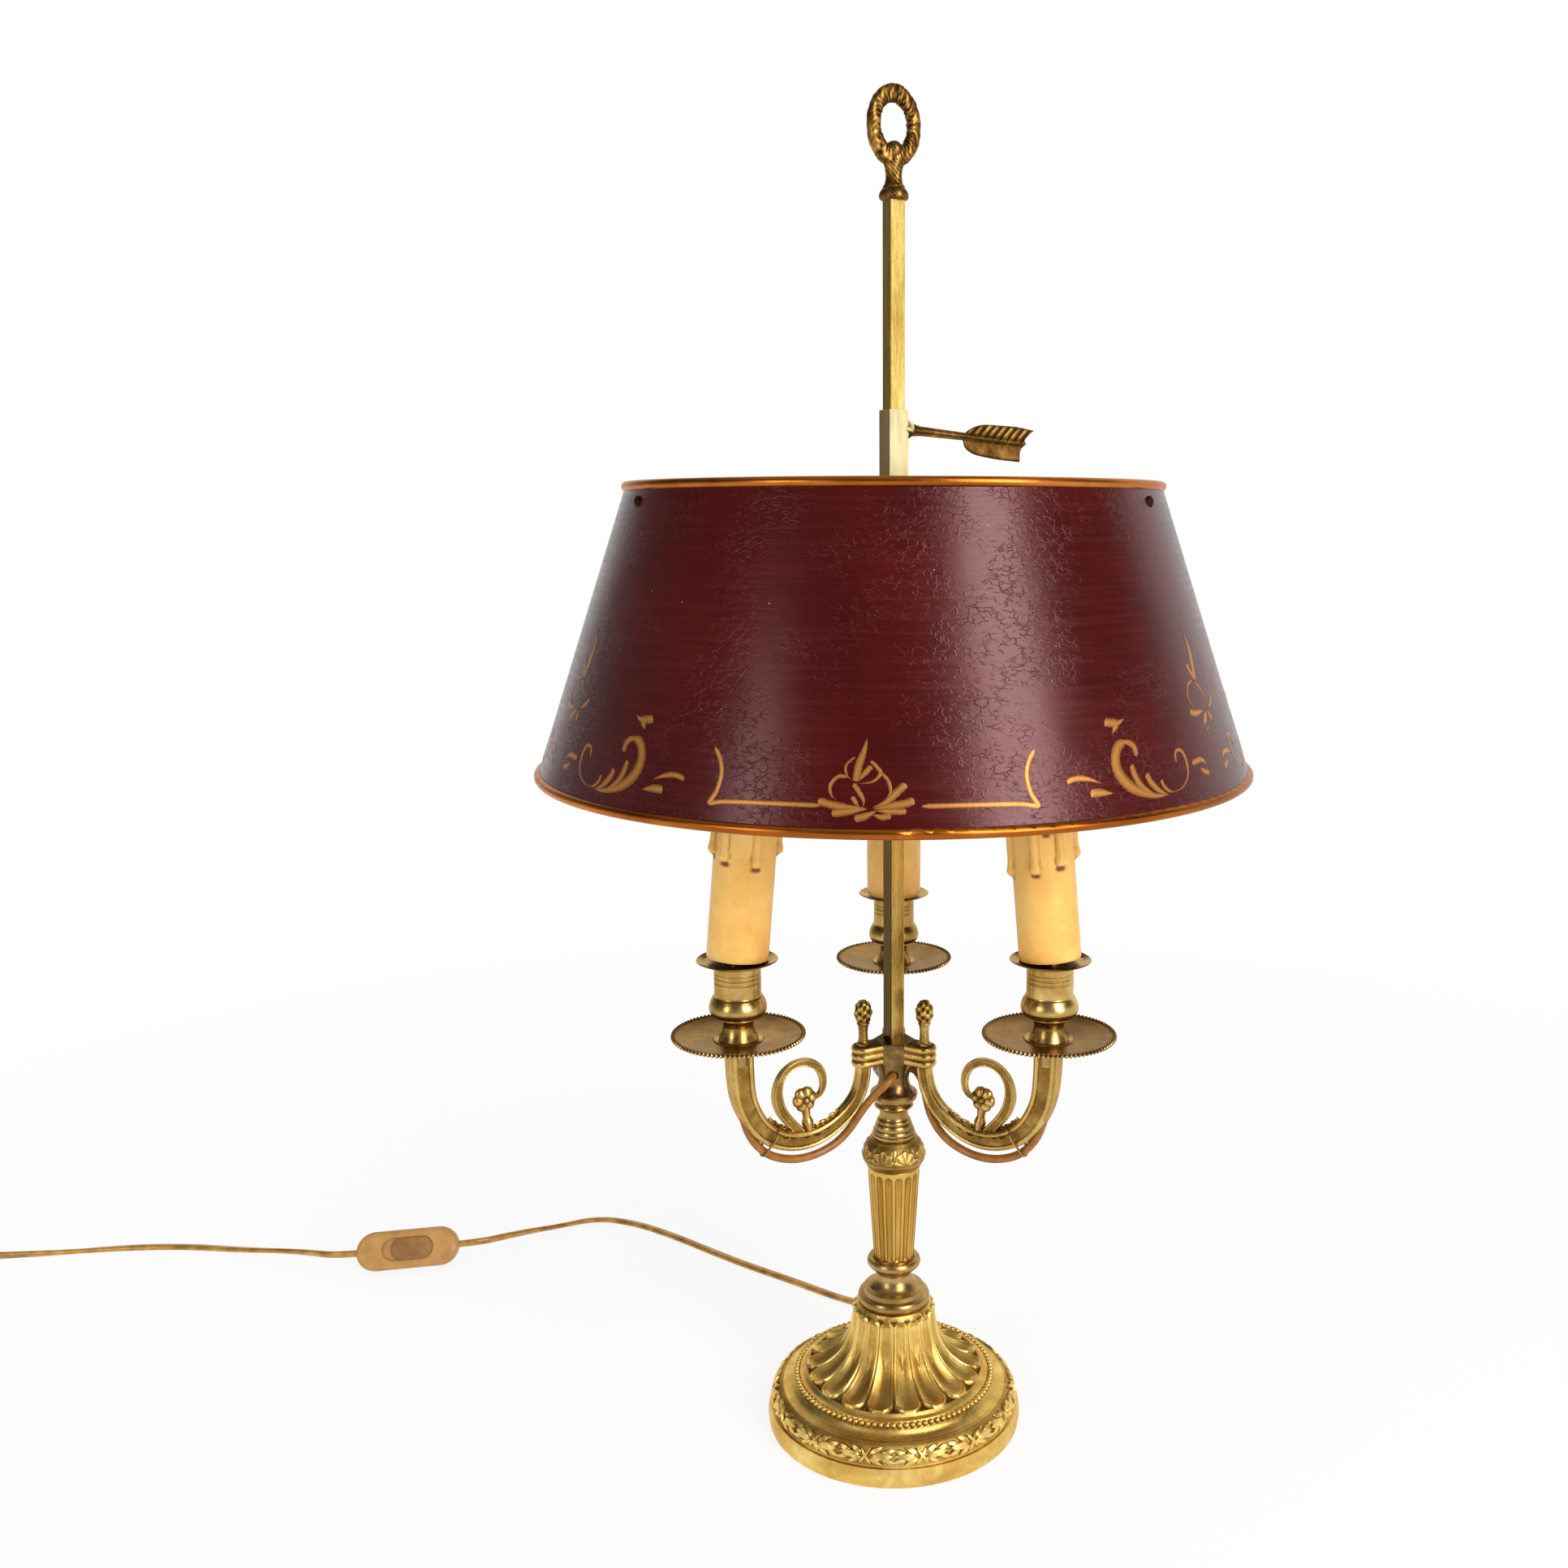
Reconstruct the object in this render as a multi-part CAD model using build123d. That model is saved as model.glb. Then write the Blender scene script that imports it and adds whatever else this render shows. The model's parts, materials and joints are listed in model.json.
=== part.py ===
from build123d import *
import math
import os

# Bouillotte lamp: a round cast base, a turned column, three scrolled arms with candle
# sleeves, a square rod with a ring on top, and a painted metal shade that slides on the
# rod and is locked by an arrow-shaped key.
# Origin: the middle of the underside, on the table.  +Z is up, the front is -Y.
# Millimetres and degrees.

# ------------------------------------------------------------------ driving dimensions

# base
BASE_RADIUS = 67.3
FOOT_LIFT = 0.5
PLINTH_HEIGHT = 10.4
BAND_TOP = 20.2
BAND_RADIUS = 65.0
BEAD_RING_RADIUS = 51.4
BEAD_RING_TOP = 26.2
DOME_RADIUS = 46.2
DOME_FOOT = 28.8
BASE_HEIGHT = 65.5
BASE_NECK_RADIUS = 20.8
RIM_WALL = 7.8
CAST_WALL = 4.4
BASE_CROWN = 7.5
FELT_THICKNESS = 2.0
FELT_LEDGE = 4.8
GLUE_GAP = 0.1

# column
TUBE_RADIUS = 5.0
TUBE_BORE_RADIUS = 3.4
THREAD_CLEARANCE = 0.05
NUT_ACROSS_FLATS = 15.0
NUT_HEIGHT = 6.0
NUT_FLANGE_RADIUS = 12.0
NUT_FLANGE_HEIGHT = 1.5
TUBE_TAIL = 3.0
SPOOL_HEIGHT = 26.0
SPOOL_RADIUS = 19.0
SPOOL_WAIST_RADIUS = 9.4
SPOOL_TOP_RADIUS = 14.1
SHAFT_LENGTH = 50.8
SHAFT_FOOT_RADIUS = 10.5
SHAFT_TOP_RADIUS = 13.7
FLUTE_COUNT = 16
FLUTE_RADIUS = 1.6
FLUTE_MARGIN = 4.0
CAP_HEIGHT = 15.7
CAP_RADIUS = 16.9
COLLAR_HEIGHT = 24.6
COLLAR_WAIST_RADIUS = 7.4
COLLAR_FLARE_RADIUS = 12.3
NECK_HEIGHT = 16.9
NECK_WAIST_RADIUS = 7.9
NECK_CAVITY_RADIUS = 6.2
NECK_THREAD_DEPTH = 6.6
SPIGOT_RADIUS = 7.4
SPIGOT_HEIGHT = 3.0
FIT_GAP = 0.05

# arm hub and square rod
HUB_HEIGHT = 11.0
HUB_ACROSS_FLATS = 19.2
ROD_SEAT_DEPTH = 6.0
ROD_SIDE = 8.0
ROD_TURN = 30.0
ROD_TOP = 621.2
TENON_RADIUS = 2.2
TENON_LENGTH = 3.4
TENON_RISE = 6.2

# arms
ARM_STEP_ANGLE = 120.0
RIGHT_ARM_ANGLE = -30.0
ARM_INNER_REACH = 18.0
CUP_REACH = 87.0
ARM_LOW_HEIGHT = 167.2
DRAWN_REACH = 69.0
DRAWN_RISE = 57.6
DRAWN_DROP = 35.3
DRAWN_WIRE_DROP = 33.8
DRAWN_WIRE_RISE = 65.0
ARM_INNER_RADIUS = 4.0
ARM_MIDDLE_RADIUS = 5.0
ARM_OUTER_RADIUS = 6.2
CUFF_RADIUS = 5.6
CUFF_RIB = 0.6
CUFF_RIB_HEIGHT = 2.6
BUD_RADIUS = 4.4
BUD_HEIGHT = 11.6
BUD_STEM_RADIUS = 2.8
BUD_STEM_HEIGHT = 12.4
SCROLL_ROOT_RADIUS = 3.4
SCROLL_TIP_RADIUS = 1.7
ROSETTE_RADIUS = 6.4
ROSETTE_THICKNESS = 5.0

# pan, cup, candle and bulb
PAN_SEAT = 224.8
PAN_RADIUS = 32.1
PAN_SHEET = 1.2
PAN_RISE = 3.4
CUP_HEIGHT = 38.5
CUP_FOOT_RADIUS = 9.5
CUP_WAIST_RADIUS = 7.4
CUP_BULGE_RADIUS = 14.0
CUP_NECK_RADIUS = 11.35
CUP_WALL = 1.5
BOBECHE_RADIUS = 19.7
BOBECHE_SHEET = 0.8
BOBECHE_RISE = 1.9
NIPPLE_RADIUS = 4.9
NIPPLE_BORE_RADIUS = 2.6
NIPPLE_DEPTH = 12.0
NIPPLE_REACH = 6.5
CANDLE_LEAN = 5.5
CANDLE_RADIUS = 15.0
CANDLE_WALL = 1.2
CANDLE_LENGTH = 100.0
CANDLE_LIFT = 1.9
HOLDER_LIFT = 1.0
HOLDER_FOOT_RADIUS = 9.0
HOLDER_STEM_RADIUS = 6.6
HOLDER_BARREL_RADIUS = 13.2
HOLDER_BARREL_LENGTH = 38.0
HOLDER_LENGTH = 98.0
BULB_CAP_RADIUS = 6.9
BULB_CAP_LENGTH = 20.0
BULB_RADIUS = 17.5
BULB_LENGTH = 76.0
BULB_WALL = 0.8
BULB_GAP = 0.1

# arm wires
WIRE_RADIUS = 2.1
WIRE_GAP = 0.3
WIRE_HOLE_RADIUS = 2.5
WIRE_HOLE_DROP = 5.9
JUNCTION_APOTHEM = 3.1
JUNCTION_HEIGHT = 7.0
TIE_WIRE = 0.8

# shade and its carrier
SHADE_TOP_RADIUS = 128.0
SHADE_BOTTOM_RADIUS = 173.0
SHADE_TOP_HEIGHT = 489.5
SHADE_BOTTOM_HEIGHT = 354.6
SHADE_SHEET = 0.7
RIM_RADIUS = 2.25
SLEEVE_SIDE = 10.2
SLEEVE_CLEARANCE = 0.15
SLEEVE_SKIRT = 0.5
SLEEVE_LENGTH = 48.0
SPIDER_DROP = 7.5
SPIDER_ROD_RADIUS = 2.5
SPIDER_COLLAR_SIDE = 15.0
SPIDER_COLLAR_HEIGHT = 7.0
SCREW_RADIUS = 1.5
SCREW_HEAD_RADIUS = 2.7
SCREW_HEAD_HEIGHT = 1.7
SCREW_DEPTH = 9.0
SCREW_CLEARANCE = 0.1

# arrow key
KEY_DROP = 8.4
KEY_TILT = 4.3
KEY_THREAD_RADIUS = 2.0
KEY_THREAD_CLEARANCE = 0.05
KEY_TIP_GAP = 0.35
KEY_BOSS_SINK = 0.6
KEY_BOSS_RADIUS = 5.3
KEY_BOSS_DEPTH = 5.6
KEY_BOSS_GAP = 0.2
KEY_SHANK_RADIUS = 2.3
KEY_SHANK_END = 76.0
KEY_VANE_START = 40.5
KEY_VANE_END = 81.5
KEY_VANE_UPPER = 7.6
KEY_VANE_LOWER = 9.2
KEY_VANE_NOTCH = 6.5
KEY_VANE_THICKNESS = 2.2

# ring finial
FINIAL_COLLAR_RADIUS = 7.0
FINIAL_COLLAR_HEIGHT = 5.6
FINIAL_NECK_RADIUS = 3.9
FINIAL_NECK_HEIGHT = 15.8
FINIAL_STUD_RADIUS = 2.0
FINIAL_STUD_LENGTH = 8.0
RING_WIDTH = 27.0
RING_HEIGHT = 38.0
RING_DEPTH = 6.2
RING_HOLE_WIDTH = 15.5
RING_HOLE_HEIGHT = 18.6
RING_BERRY_RADIUS = 4.2

# mains cord, switch and plug
CORD_DIAMETER = 5.0
FLOOR_GAP = 0.1
EXIT_HEIGHT = 7.0
BUSH_FLANGE_RADIUS = 4.9
BUSH_FLANGE_THICKNESS = 2.0
BUSH_BODY_RADIUS = 3.9
BUSH_CLEARANCE = 0.1
SWITCH_LENGTH = 63.0
SWITCH_WIDTH = 24.0
SWITCH_HEIGHT = 14.0
SWITCH_EDGE = 4.0
SWITCH_ROLL = 62.0
SWITCH_HEADING = 12.0
SWITCH_CENTRE = (-311.9, 159.3)
SWITCH_CORD_DEPTH = 3.0
CORD_STRAIGHT = 13.0
RECESS_DEPTH = 2.0
SLIDER_LENGTH = 24.8
SLIDER_WIDTH = 13.6
SLIDER_HEIGHT = 2.9
SLIDER_TRAVEL = 6.2
SLIDER_GAP = 0.25
COIL_CENTRE = (-614.0, 136.0)
COIL_MIDDLE_RADIUS = 27.5
COIL_BAND = 15.0
COIL_LAYERS = 2
PLUG_LENGTH = 35.0
PLUG_WIDTH = 35.0
PLUG_NOSE_WIDTH = 9.0
PLUG_THICKNESS = 13.7
PLUG_EDGE = 2.5
PIN_RADIUS = 2.0
PIN_LENGTH = 19.0
PIN_SPACING = 19.0
PIN_TIP = 1.0
PIN_ROOT = 6.0
PIN_ROOT_RADIUS = 1.5

# ------------------------------------------------------------------ heights of the stack

SPOOL_SEAT = BASE_HEIGHT
SHAFT_SEAT = SPOOL_SEAT + SPOOL_HEIGHT
CAP_SEAT = SHAFT_SEAT + SHAFT_LENGTH
COLLAR_SEAT = CAP_SEAT + CAP_HEIGHT
NECK_SEAT = COLLAR_SEAT + COLLAR_HEIGHT
HUB_SEAT = NECK_SEAT + NECK_HEIGHT
HUB_TOP = HUB_SEAT + HUB_HEIGHT
TUBE_TOP = NECK_SEAT + NECK_THREAD_DEPTH
CROWN_UNDERSIDE = BASE_HEIGHT - BASE_CROWN
TUBE_BOTTOM = CROWN_UNDERSIDE - NUT_FLANGE_HEIGHT - NUT_HEIGHT - TUBE_TAIL
ROD_SEAT = HUB_TOP - ROD_SEAT_DEPTH
WIRE_HOLE_HEIGHT = HUB_SEAT - WIRE_HOLE_DROP
CUP_SEAT = PAN_SEAT + PAN_SHEET
BOBECHE_SEAT = CUP_SEAT + CUP_HEIGHT
CANDLE_PIVOT = BOBECHE_SEAT + BOBECHE_SHEET
HOLDER_SEAT = CANDLE_PIVOT + HOLDER_LIFT
HOLDER_TOP = HOLDER_SEAT + HOLDER_LENGTH
SHADE_SLOPE = (SHADE_BOTTOM_RADIUS - SHADE_TOP_RADIUS) / (SHADE_TOP_HEIGHT - SHADE_BOTTOM_HEIGHT)
SCREW_HEIGHT = SHADE_TOP_HEIGHT - SPIDER_DROP
SLEEVE_LOW = SCREW_HEIGHT - SPIDER_COLLAR_HEIGHT / 2 - SLEEVE_SKIRT
SLEEVE_TOP = SLEEVE_LOW + SLEEVE_LENGTH
KEY_HEIGHT = SLEEVE_TOP - KEY_DROP
CORD_RADIUS = CORD_DIAMETER / 2
FLOOR_LINE = CORD_RADIUS + FLOOR_GAP
RECESS_LENGTH = SLIDER_LENGTH + SLIDER_TRAVEL + 2 * SLIDER_GAP
RECESS_WIDTH = SLIDER_WIDTH + 2 * SLIDER_GAP
COIL_OUTER_RADIUS = COIL_MIDDLE_RADIUS + COIL_BAND / 2
COIL_INNER_RADIUS = COIL_MIDDLE_RADIUS - COIL_BAND / 2
COIL_STRAND_RADIUS = COIL_OUTER_RADIUS - CORD_RADIUS
COIL_LAYER = CORD_DIAMETER + FLOOR_GAP
COIL_HEIGHT = FLOOR_GAP + COIL_LAYERS * COIL_LAYER
COIL_TOP_LINE = COIL_HEIGHT - CORD_RADIUS
BUSH_FACE = BASE_RADIUS + BUSH_FLANGE_THICKNESS
ARM_AZIMUTH = {
    "left": RIGHT_ARM_ANGLE + 2 * ARM_STEP_ANGLE,
    "right": RIGHT_ARM_ANGLE,
    "rear": RIGHT_ARM_ANGLE + ARM_STEP_ANGLE,
}

parts = {}


# ------------------------------------------------------------------ shared shapes


def profile(*runs):
    """A closed half outline: runs of (radius, height); two points make a line, more a curve."""
    edges = []
    for run in runs:
        edges += [Line(*run)] if len(run) == 2 else [Spline(*run)]
    first, last = runs[0][0], runs[-1][-1]
    if (Vector(*first) - Vector(*last)).length > 1e-6:
        edges.append(Line(last, first))
    return make_face(Plane.XZ * Wire(edges))


def turned(*runs):
    """The outline turned about the Z axis."""
    return revolve(profile(*runs), Axis.Z)


def bored(body, radius, low, high):
    """The body with a round hole along Z between two heights."""
    return body - Pos(0, 0, low) * Cylinder(radius, high - low, align=(Align.CENTER, Align.CENTER, Align.MIN))


def column_bore(body, low, height):
    """The body with the hole that the threaded tube passes through."""
    return bored(body, TUBE_RADIUS + THREAD_CLEARANCE, low, low + height)


def corner_radii(points):
    """The largest arc that each corner's two runs allow."""
    radii = []
    for before, here, after in zip(points, points[1:], points[2:]):
        run_in = Vector(*here) - Vector(*before)
        run_out = Vector(*after) - Vector(*here)
        half_turn = math.radians(run_in.get_angle(run_out)) / 2
        radii.append(0.45 * min(run_in.length, run_out.length) / math.tan(half_turn))
    return radii


def route(points):
    """Straight runs joined by tangent arcs."""
    return FilletPolyline(*[Vector(*p) for p in points], radius=corner_radii(points))


def tube(path, radius):
    """A round tube along the path."""
    start = Plane(origin=path @ 0, z_dir=path % 0)
    return sweep(start * Circle(radius), path=path)


def tapered(path, radii, side=(0, 1, 0)):
    """A round bar along a path that lies in one upright plane, through evenly spaced radii."""
    sections = []
    for index, radius in enumerate(radii):
        place = index / (len(radii) - 1)
        sections.append(Plane(origin=path @ place, x_dir=side, z_dir=path % place) * Circle(radius))
    return sweep(Sketch() + sections, path=path, multisection=True)


def around(shape, azimuth):
    """The shape turned about the lamp's axis from +X to an azimuth."""
    return Rot(0, 0, azimuth) * shape


def at_cup(shape):
    """The shape moved from the lamp's axis to the end of an arm along +X."""
    return Pos(CUP_REACH, 0, 0) * shape


def lean(shape):
    """The shape tipped inwards about the top of the candle cup."""
    pivot = Vector(CUP_REACH, 0, CANDLE_PIVOT)
    return Pos(pivot) * Rot(0, -CANDLE_LEAN, 0) * Pos(-pivot) * shape


def shade_cone(extra):
    """The solid cone inside the shade's outer face, its radius changed by extra."""
    top, bottom = SHADE_TOP_RADIUS + extra, SHADE_BOTTOM_RADIUS + extra
    return turned(
        [(0, SHADE_BOTTOM_HEIGHT), (bottom, SHADE_BOTTOM_HEIGHT)],
        [(bottom, SHADE_BOTTOM_HEIGHT), (top, SHADE_TOP_HEIGHT)],
        [(top, SHADE_TOP_HEIGHT), (0, SHADE_TOP_HEIGHT)],
    )


# ------------------------------------------------------------------ base


def base_casting():
    """Moulded dome of cast brass, hollow from below, with a ledge for the felt."""
    foot, ledge = BASE_RADIUS - 0.5, BASE_RADIUS - FELT_LEDGE
    step, rim = BAND_TOP - 0.3, BASE_RADIUS - RIM_WALL
    ring, crown = BEAD_RING_RADIUS, BASE_HEIGHT
    skin, inside = CAST_WALL, CROWN_UNDERSIDE
    body = turned(
        [(foot, FOOT_LIFT), (BASE_RADIUS, PLINTH_HEIGHT / 2), (BASE_RADIUS - 1, PLINTH_HEIGHT - 0.2)],
        [(BASE_RADIUS - 1, PLINTH_HEIGHT - 0.2), (BAND_RADIUS, PLINTH_HEIGHT)],
        [
            (BAND_RADIUS, PLINTH_HEIGHT),
            (BAND_RADIUS - 1.7, PLINTH_HEIGHT + 5.6),
            (BAND_RADIUS - 4.1, BAND_TOP - 1.0),
            (BAND_RADIUS - 6.2, BAND_TOP),
        ],
        [(BAND_RADIUS - 6.2, BAND_TOP), (BAND_RADIUS - 7.0, step)],
        [(BAND_RADIUS - 7.0, step), (ring + 3.1, BAND_TOP + 0.7), (ring + 1.0, BEAD_RING_TOP - 3.2)],
        [(ring + 1.0, BEAD_RING_TOP - 3.2), (ring + 0.5, BEAD_RING_TOP - 1.0), (ring - 1.2, BEAD_RING_TOP)],
        [(ring - 1.2, BEAD_RING_TOP), (ring - 3.0, BEAD_RING_TOP + 0.4)],
        [(ring - 3.0, BEAD_RING_TOP + 0.4), (DOME_RADIUS, DOME_FOOT)],
        [
            (DOME_RADIUS, DOME_FOOT),
            (DOME_RADIUS - 4.7, DOME_FOOT + 1.1),
            (DOME_RADIUS - 10.2, DOME_FOOT + 3.4),
            (BASE_NECK_RADIUS + 9.2, crown - 28.5),
            (BASE_NECK_RADIUS + 5.2, crown - 22.5),
            (BASE_NECK_RADIUS + 2.4, crown - 15.5),
            (BASE_NECK_RADIUS + 0.9, crown - 7.0),
            (BASE_NECK_RADIUS, crown - 2.0),
        ],
        [(BASE_NECK_RADIUS, crown - 2.0), (BASE_NECK_RADIUS - 1.8, crown)],
        [(BASE_NECK_RADIUS - 1.8, crown), (0, crown)],
        [(0, crown), (0, inside)],
        [(0, inside), (BASE_NECK_RADIUS - skin + 1.2, inside)],
        [
            (BASE_NECK_RADIUS - skin + 1.2, inside),
            (BASE_NECK_RADIUS - skin + 2.2, crown - 14.5),
            (BASE_NECK_RADIUS - skin + 4.9, crown - 22.5),
            (BASE_NECK_RADIUS - skin + 9.4, crown - 30.0),
            (DOME_RADIUS - 13.0, DOME_FOOT - 0.8),
        ],
        [(DOME_RADIUS - 13.0, DOME_FOOT - 0.8), (ring - 4.2, BEAD_RING_TOP - skin - 2.0)],
        [(ring - 4.2, BEAD_RING_TOP - skin - 2.0), (rim, PLINTH_HEIGHT)],
        [(rim, PLINTH_HEIGHT), (rim, FELT_THICKNESS)],
        [(rim, FELT_THICKNESS), (ledge, FELT_THICKNESS)],
        [(ledge, FELT_THICKNESS), (ledge, FOOT_LIFT)],
    )
    body = column_bore(body, inside, BASE_CROWN)
    cord_hole = Cylinder(BUSH_BODY_RADIUS + BUSH_CLEARANCE, RIM_WALL + 8)
    return body - Pos(0, rim + RIM_WALL / 2, EXIT_HEIGHT) * Rot(90, 0, 0) * cord_hole


def base_felt():
    """Felt pad that closes the underside and stands a little below the metal rim."""
    pad = Cylinder(BASE_RADIUS - FELT_LEDGE - GLUE_GAP, FELT_THICKNESS)
    return Pos(0, 0, FELT_THICKNESS / 2) * pad


def base_nut():
    """Flanged hexagon nut that clamps the column to the base."""
    seat = CROWN_UNDERSIDE - NUT_FLANGE_HEIGHT
    flange = Pos(0, 0, seat) * extrude(Circle(NUT_FLANGE_RADIUS), NUT_FLANGE_HEIGHT)
    corner = NUT_ACROSS_FLATS / math.sqrt(3)
    hexagon = Pos(0, 0, seat - NUT_HEIGHT) * extrude(RegularPolygon(corner, 6), NUT_HEIGHT)
    height = NUT_HEIGHT + NUT_FLANGE_HEIGHT
    return column_bore(flange + hexagon, seat - NUT_HEIGHT, height)


def threaded_tube():
    """Hollow threaded rod from the nut to the neck under the arms."""
    length = TUBE_TOP - TUBE_BOTTOM
    return Pos(0, 0, TUBE_BOTTOM) * extrude(Circle(TUBE_RADIUS) - Circle(TUBE_BORE_RADIUS), length)


# ------------------------------------------------------------------ turned column


def spool():
    """Spool between the base and the fluted shaft."""
    low, high = SPOOL_SEAT, SPOOL_SEAT + SPOOL_HEIGHT
    wide, waist, top = SPOOL_RADIUS, SPOOL_WAIST_RADIUS, SPOOL_TOP_RADIUS
    body = turned(
        [(0, low), (wide - 1.3, low)],
        [(wide - 1.3, low), (wide, low + 2.5), (wide - 0.8, low + 5.2)],
        [(wide - 0.8, low + 5.2), (wide - 2.6, low + 6.0)],
        [(wide - 2.6, low + 6.0), (wide - 3.1, low + 8.2)],
        [(wide - 3.1, low + 8.2), (waist + 3.8, low + 9.0)],
        [(waist + 3.8, low + 9.0), (waist + 0.8, low + 12.4), (waist, low + 15.6),
         (waist + 0.8, high - 7.8), (waist + 2.8, high - 6.0)],
        [(waist + 2.8, high - 6.0), (top - 0.8, high - 5.4)],
        [(top - 0.8, high - 5.4), (top, high - 3.2), (top - 1.0, high - 1.0)],
        [(top - 1.0, high - 1.0), (SHAFT_FOOT_RADIUS + 0.7, high - 0.8)],
        [(SHAFT_FOOT_RADIUS + 0.7, high - 0.8), (SHAFT_FOOT_RADIUS + 0.7, high)],
        [(SHAFT_FOOT_RADIUS + 0.7, high), (0, high)],
    )
    return column_bore(body, low, SPOOL_HEIGHT)


def fluted_shaft():
    """Shaft that widens upwards, with round-ended flutes."""
    low, high = SHAFT_SEAT, SHAFT_SEAT + SHAFT_LENGTH
    body = turned(
        [(0, low), (SHAFT_FOOT_RADIUS, low)],
        [(SHAFT_FOOT_RADIUS, low), (SHAFT_TOP_RADIUS, high)],
        [(SHAFT_TOP_RADIUS, high), (0, high)],
    )
    taper = math.degrees(math.atan2(SHAFT_TOP_RADIUS - SHAFT_FOOT_RADIUS, SHAFT_LENGTH))
    length = SHAFT_LENGTH - 2 * FLUTE_MARGIN
    middle = (SHAFT_FOOT_RADIUS + SHAFT_TOP_RADIUS) / 2
    groove = Cylinder(FLUTE_RADIUS, length) + Pos(0, 0, length / 2) * Sphere(FLUTE_RADIUS)
    groove += Pos(0, 0, -length / 2) * Sphere(FLUTE_RADIUS)
    groove = Pos(middle + FLUTE_RADIUS * 0.35, 0, (low + high) / 2) * Rot(0, taper, 0) * groove
    grooves = [around(groove, 360 * index / FLUTE_COUNT) for index in range(FLUTE_COUNT)]
    return column_bore(body - grooves, low, SHAFT_LENGTH)


def leaf_cap():
    """Rounded cap over the shaft, which carries a band of leaves."""
    low, high = CAP_SEAT, CAP_SEAT + CAP_HEIGHT
    body = turned(
        [(0, low), (SHAFT_TOP_RADIUS + 0.3, low)],
        [(SHAFT_TOP_RADIUS + 0.3, low), (SHAFT_TOP_RADIUS + 0.9, low + 0.8)],
        [(SHAFT_TOP_RADIUS + 0.9, low + 0.8), (CAP_RADIUS, low + 5.0), (CAP_RADIUS - 0.7, low + 8.4),
         (CAP_RADIUS - 2.2, high - 3.6), (CAP_RADIUS - 4.6, high - 0.4)],
        [(CAP_RADIUS - 4.6, high - 0.4), (CAP_RADIUS - 5.5, high)],
        [(CAP_RADIUS - 5.5, high), (0, high)],
    )
    return column_bore(body, low, CAP_HEIGHT)


def turned_collar():
    """Turned baluster between the leaf cap and the neck."""
    low, high = COLLAR_SEAT, COLLAR_SEAT + COLLAR_HEIGHT
    waist, flare = COLLAR_WAIST_RADIUS, COLLAR_FLARE_RADIUS
    body = turned(
        [(0, low), (waist + 3.9, low)],
        [(waist + 3.9, low), (waist + 3.8, low + 2.2), (waist + 2.8, low + 4.6)],
        [(waist + 2.8, low + 4.6), (waist + 2.0, low + 5.4)],
        [(waist + 2.0, low + 5.4), (waist + 1.9, low + 7.2), (waist + 1.4, low + 8.8)],
        [(waist + 1.4, low + 8.8), (waist + 0.5, low + 9.6)],
        [(waist + 0.5, low + 9.6), (waist, low + 12.4), (waist + 0.8, high - 10.2), (waist + 2.2, high - 8.2)],
        [(waist + 2.2, high - 8.2), (waist + 2.6, high - 6.6)],
        [(waist + 2.6, high - 6.6), (flare - 1.7, high - 4.6), (flare, high - 1.8)],
        [(flare, high - 1.8), (flare, high - 0.6)],
        [(flare, high - 0.6), (flare - 0.7, high)],
        [(flare - 0.7, high), (0, high)],
    )
    return column_bore(body, low, COLLAR_HEIGHT)


def wire_neck():
    """Hollow neck under the hub, where the arm wires come out through three holes."""
    low, high = NECK_SEAT, HUB_SEAT
    waist, spigot_top = NECK_WAIST_RADIUS, HUB_SEAT + SPIGOT_HEIGHT
    body = turned(
        [(0, low), (waist + 3.1, low)],
        [(waist + 3.1, low), (waist + 1.2, low + 2.2), (waist, low + 6.0), (waist + 0.2, high - 8.0),
         (waist + 0.9, high - 3.6), (waist + 1.1, high)],
        [(waist + 1.1, high), (SPIGOT_RADIUS, high)],
        [(SPIGOT_RADIUS, high), (SPIGOT_RADIUS, spigot_top)],
        [(SPIGOT_RADIUS, spigot_top), (0, spigot_top)],
    )
    body = column_bore(body, low, NECK_THREAD_DEPTH)
    body = bored(body, NECK_CAVITY_RADIUS, TUBE_TOP, spigot_top)
    hole = Pos(0, 0, WIRE_HOLE_HEIGHT) * Rot(0, 90, 0) * Cylinder(
        WIRE_HOLE_RADIUS, 2 * waist, align=(Align.CENTER, Align.CENTER, Align.MIN)
    )
    return body - [around(hole, azimuth + 60) for azimuth in ARM_AZIMUTH.values()]


def junction_block():
    """Three-sided connector block in the neck, where the mains lead meets the arm wires."""
    corner = 2 * JUNCTION_APOTHEM
    block = extrude(Rot(0, 0, 90) * RegularPolygon(corner, 3), JUNCTION_HEIGHT)
    block = fillet(block.edges().filter_by(Axis.Z), 0.4)
    return Pos(0, 0, WIRE_HOLE_HEIGHT - JUNCTION_HEIGHT / 2) * block


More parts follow.
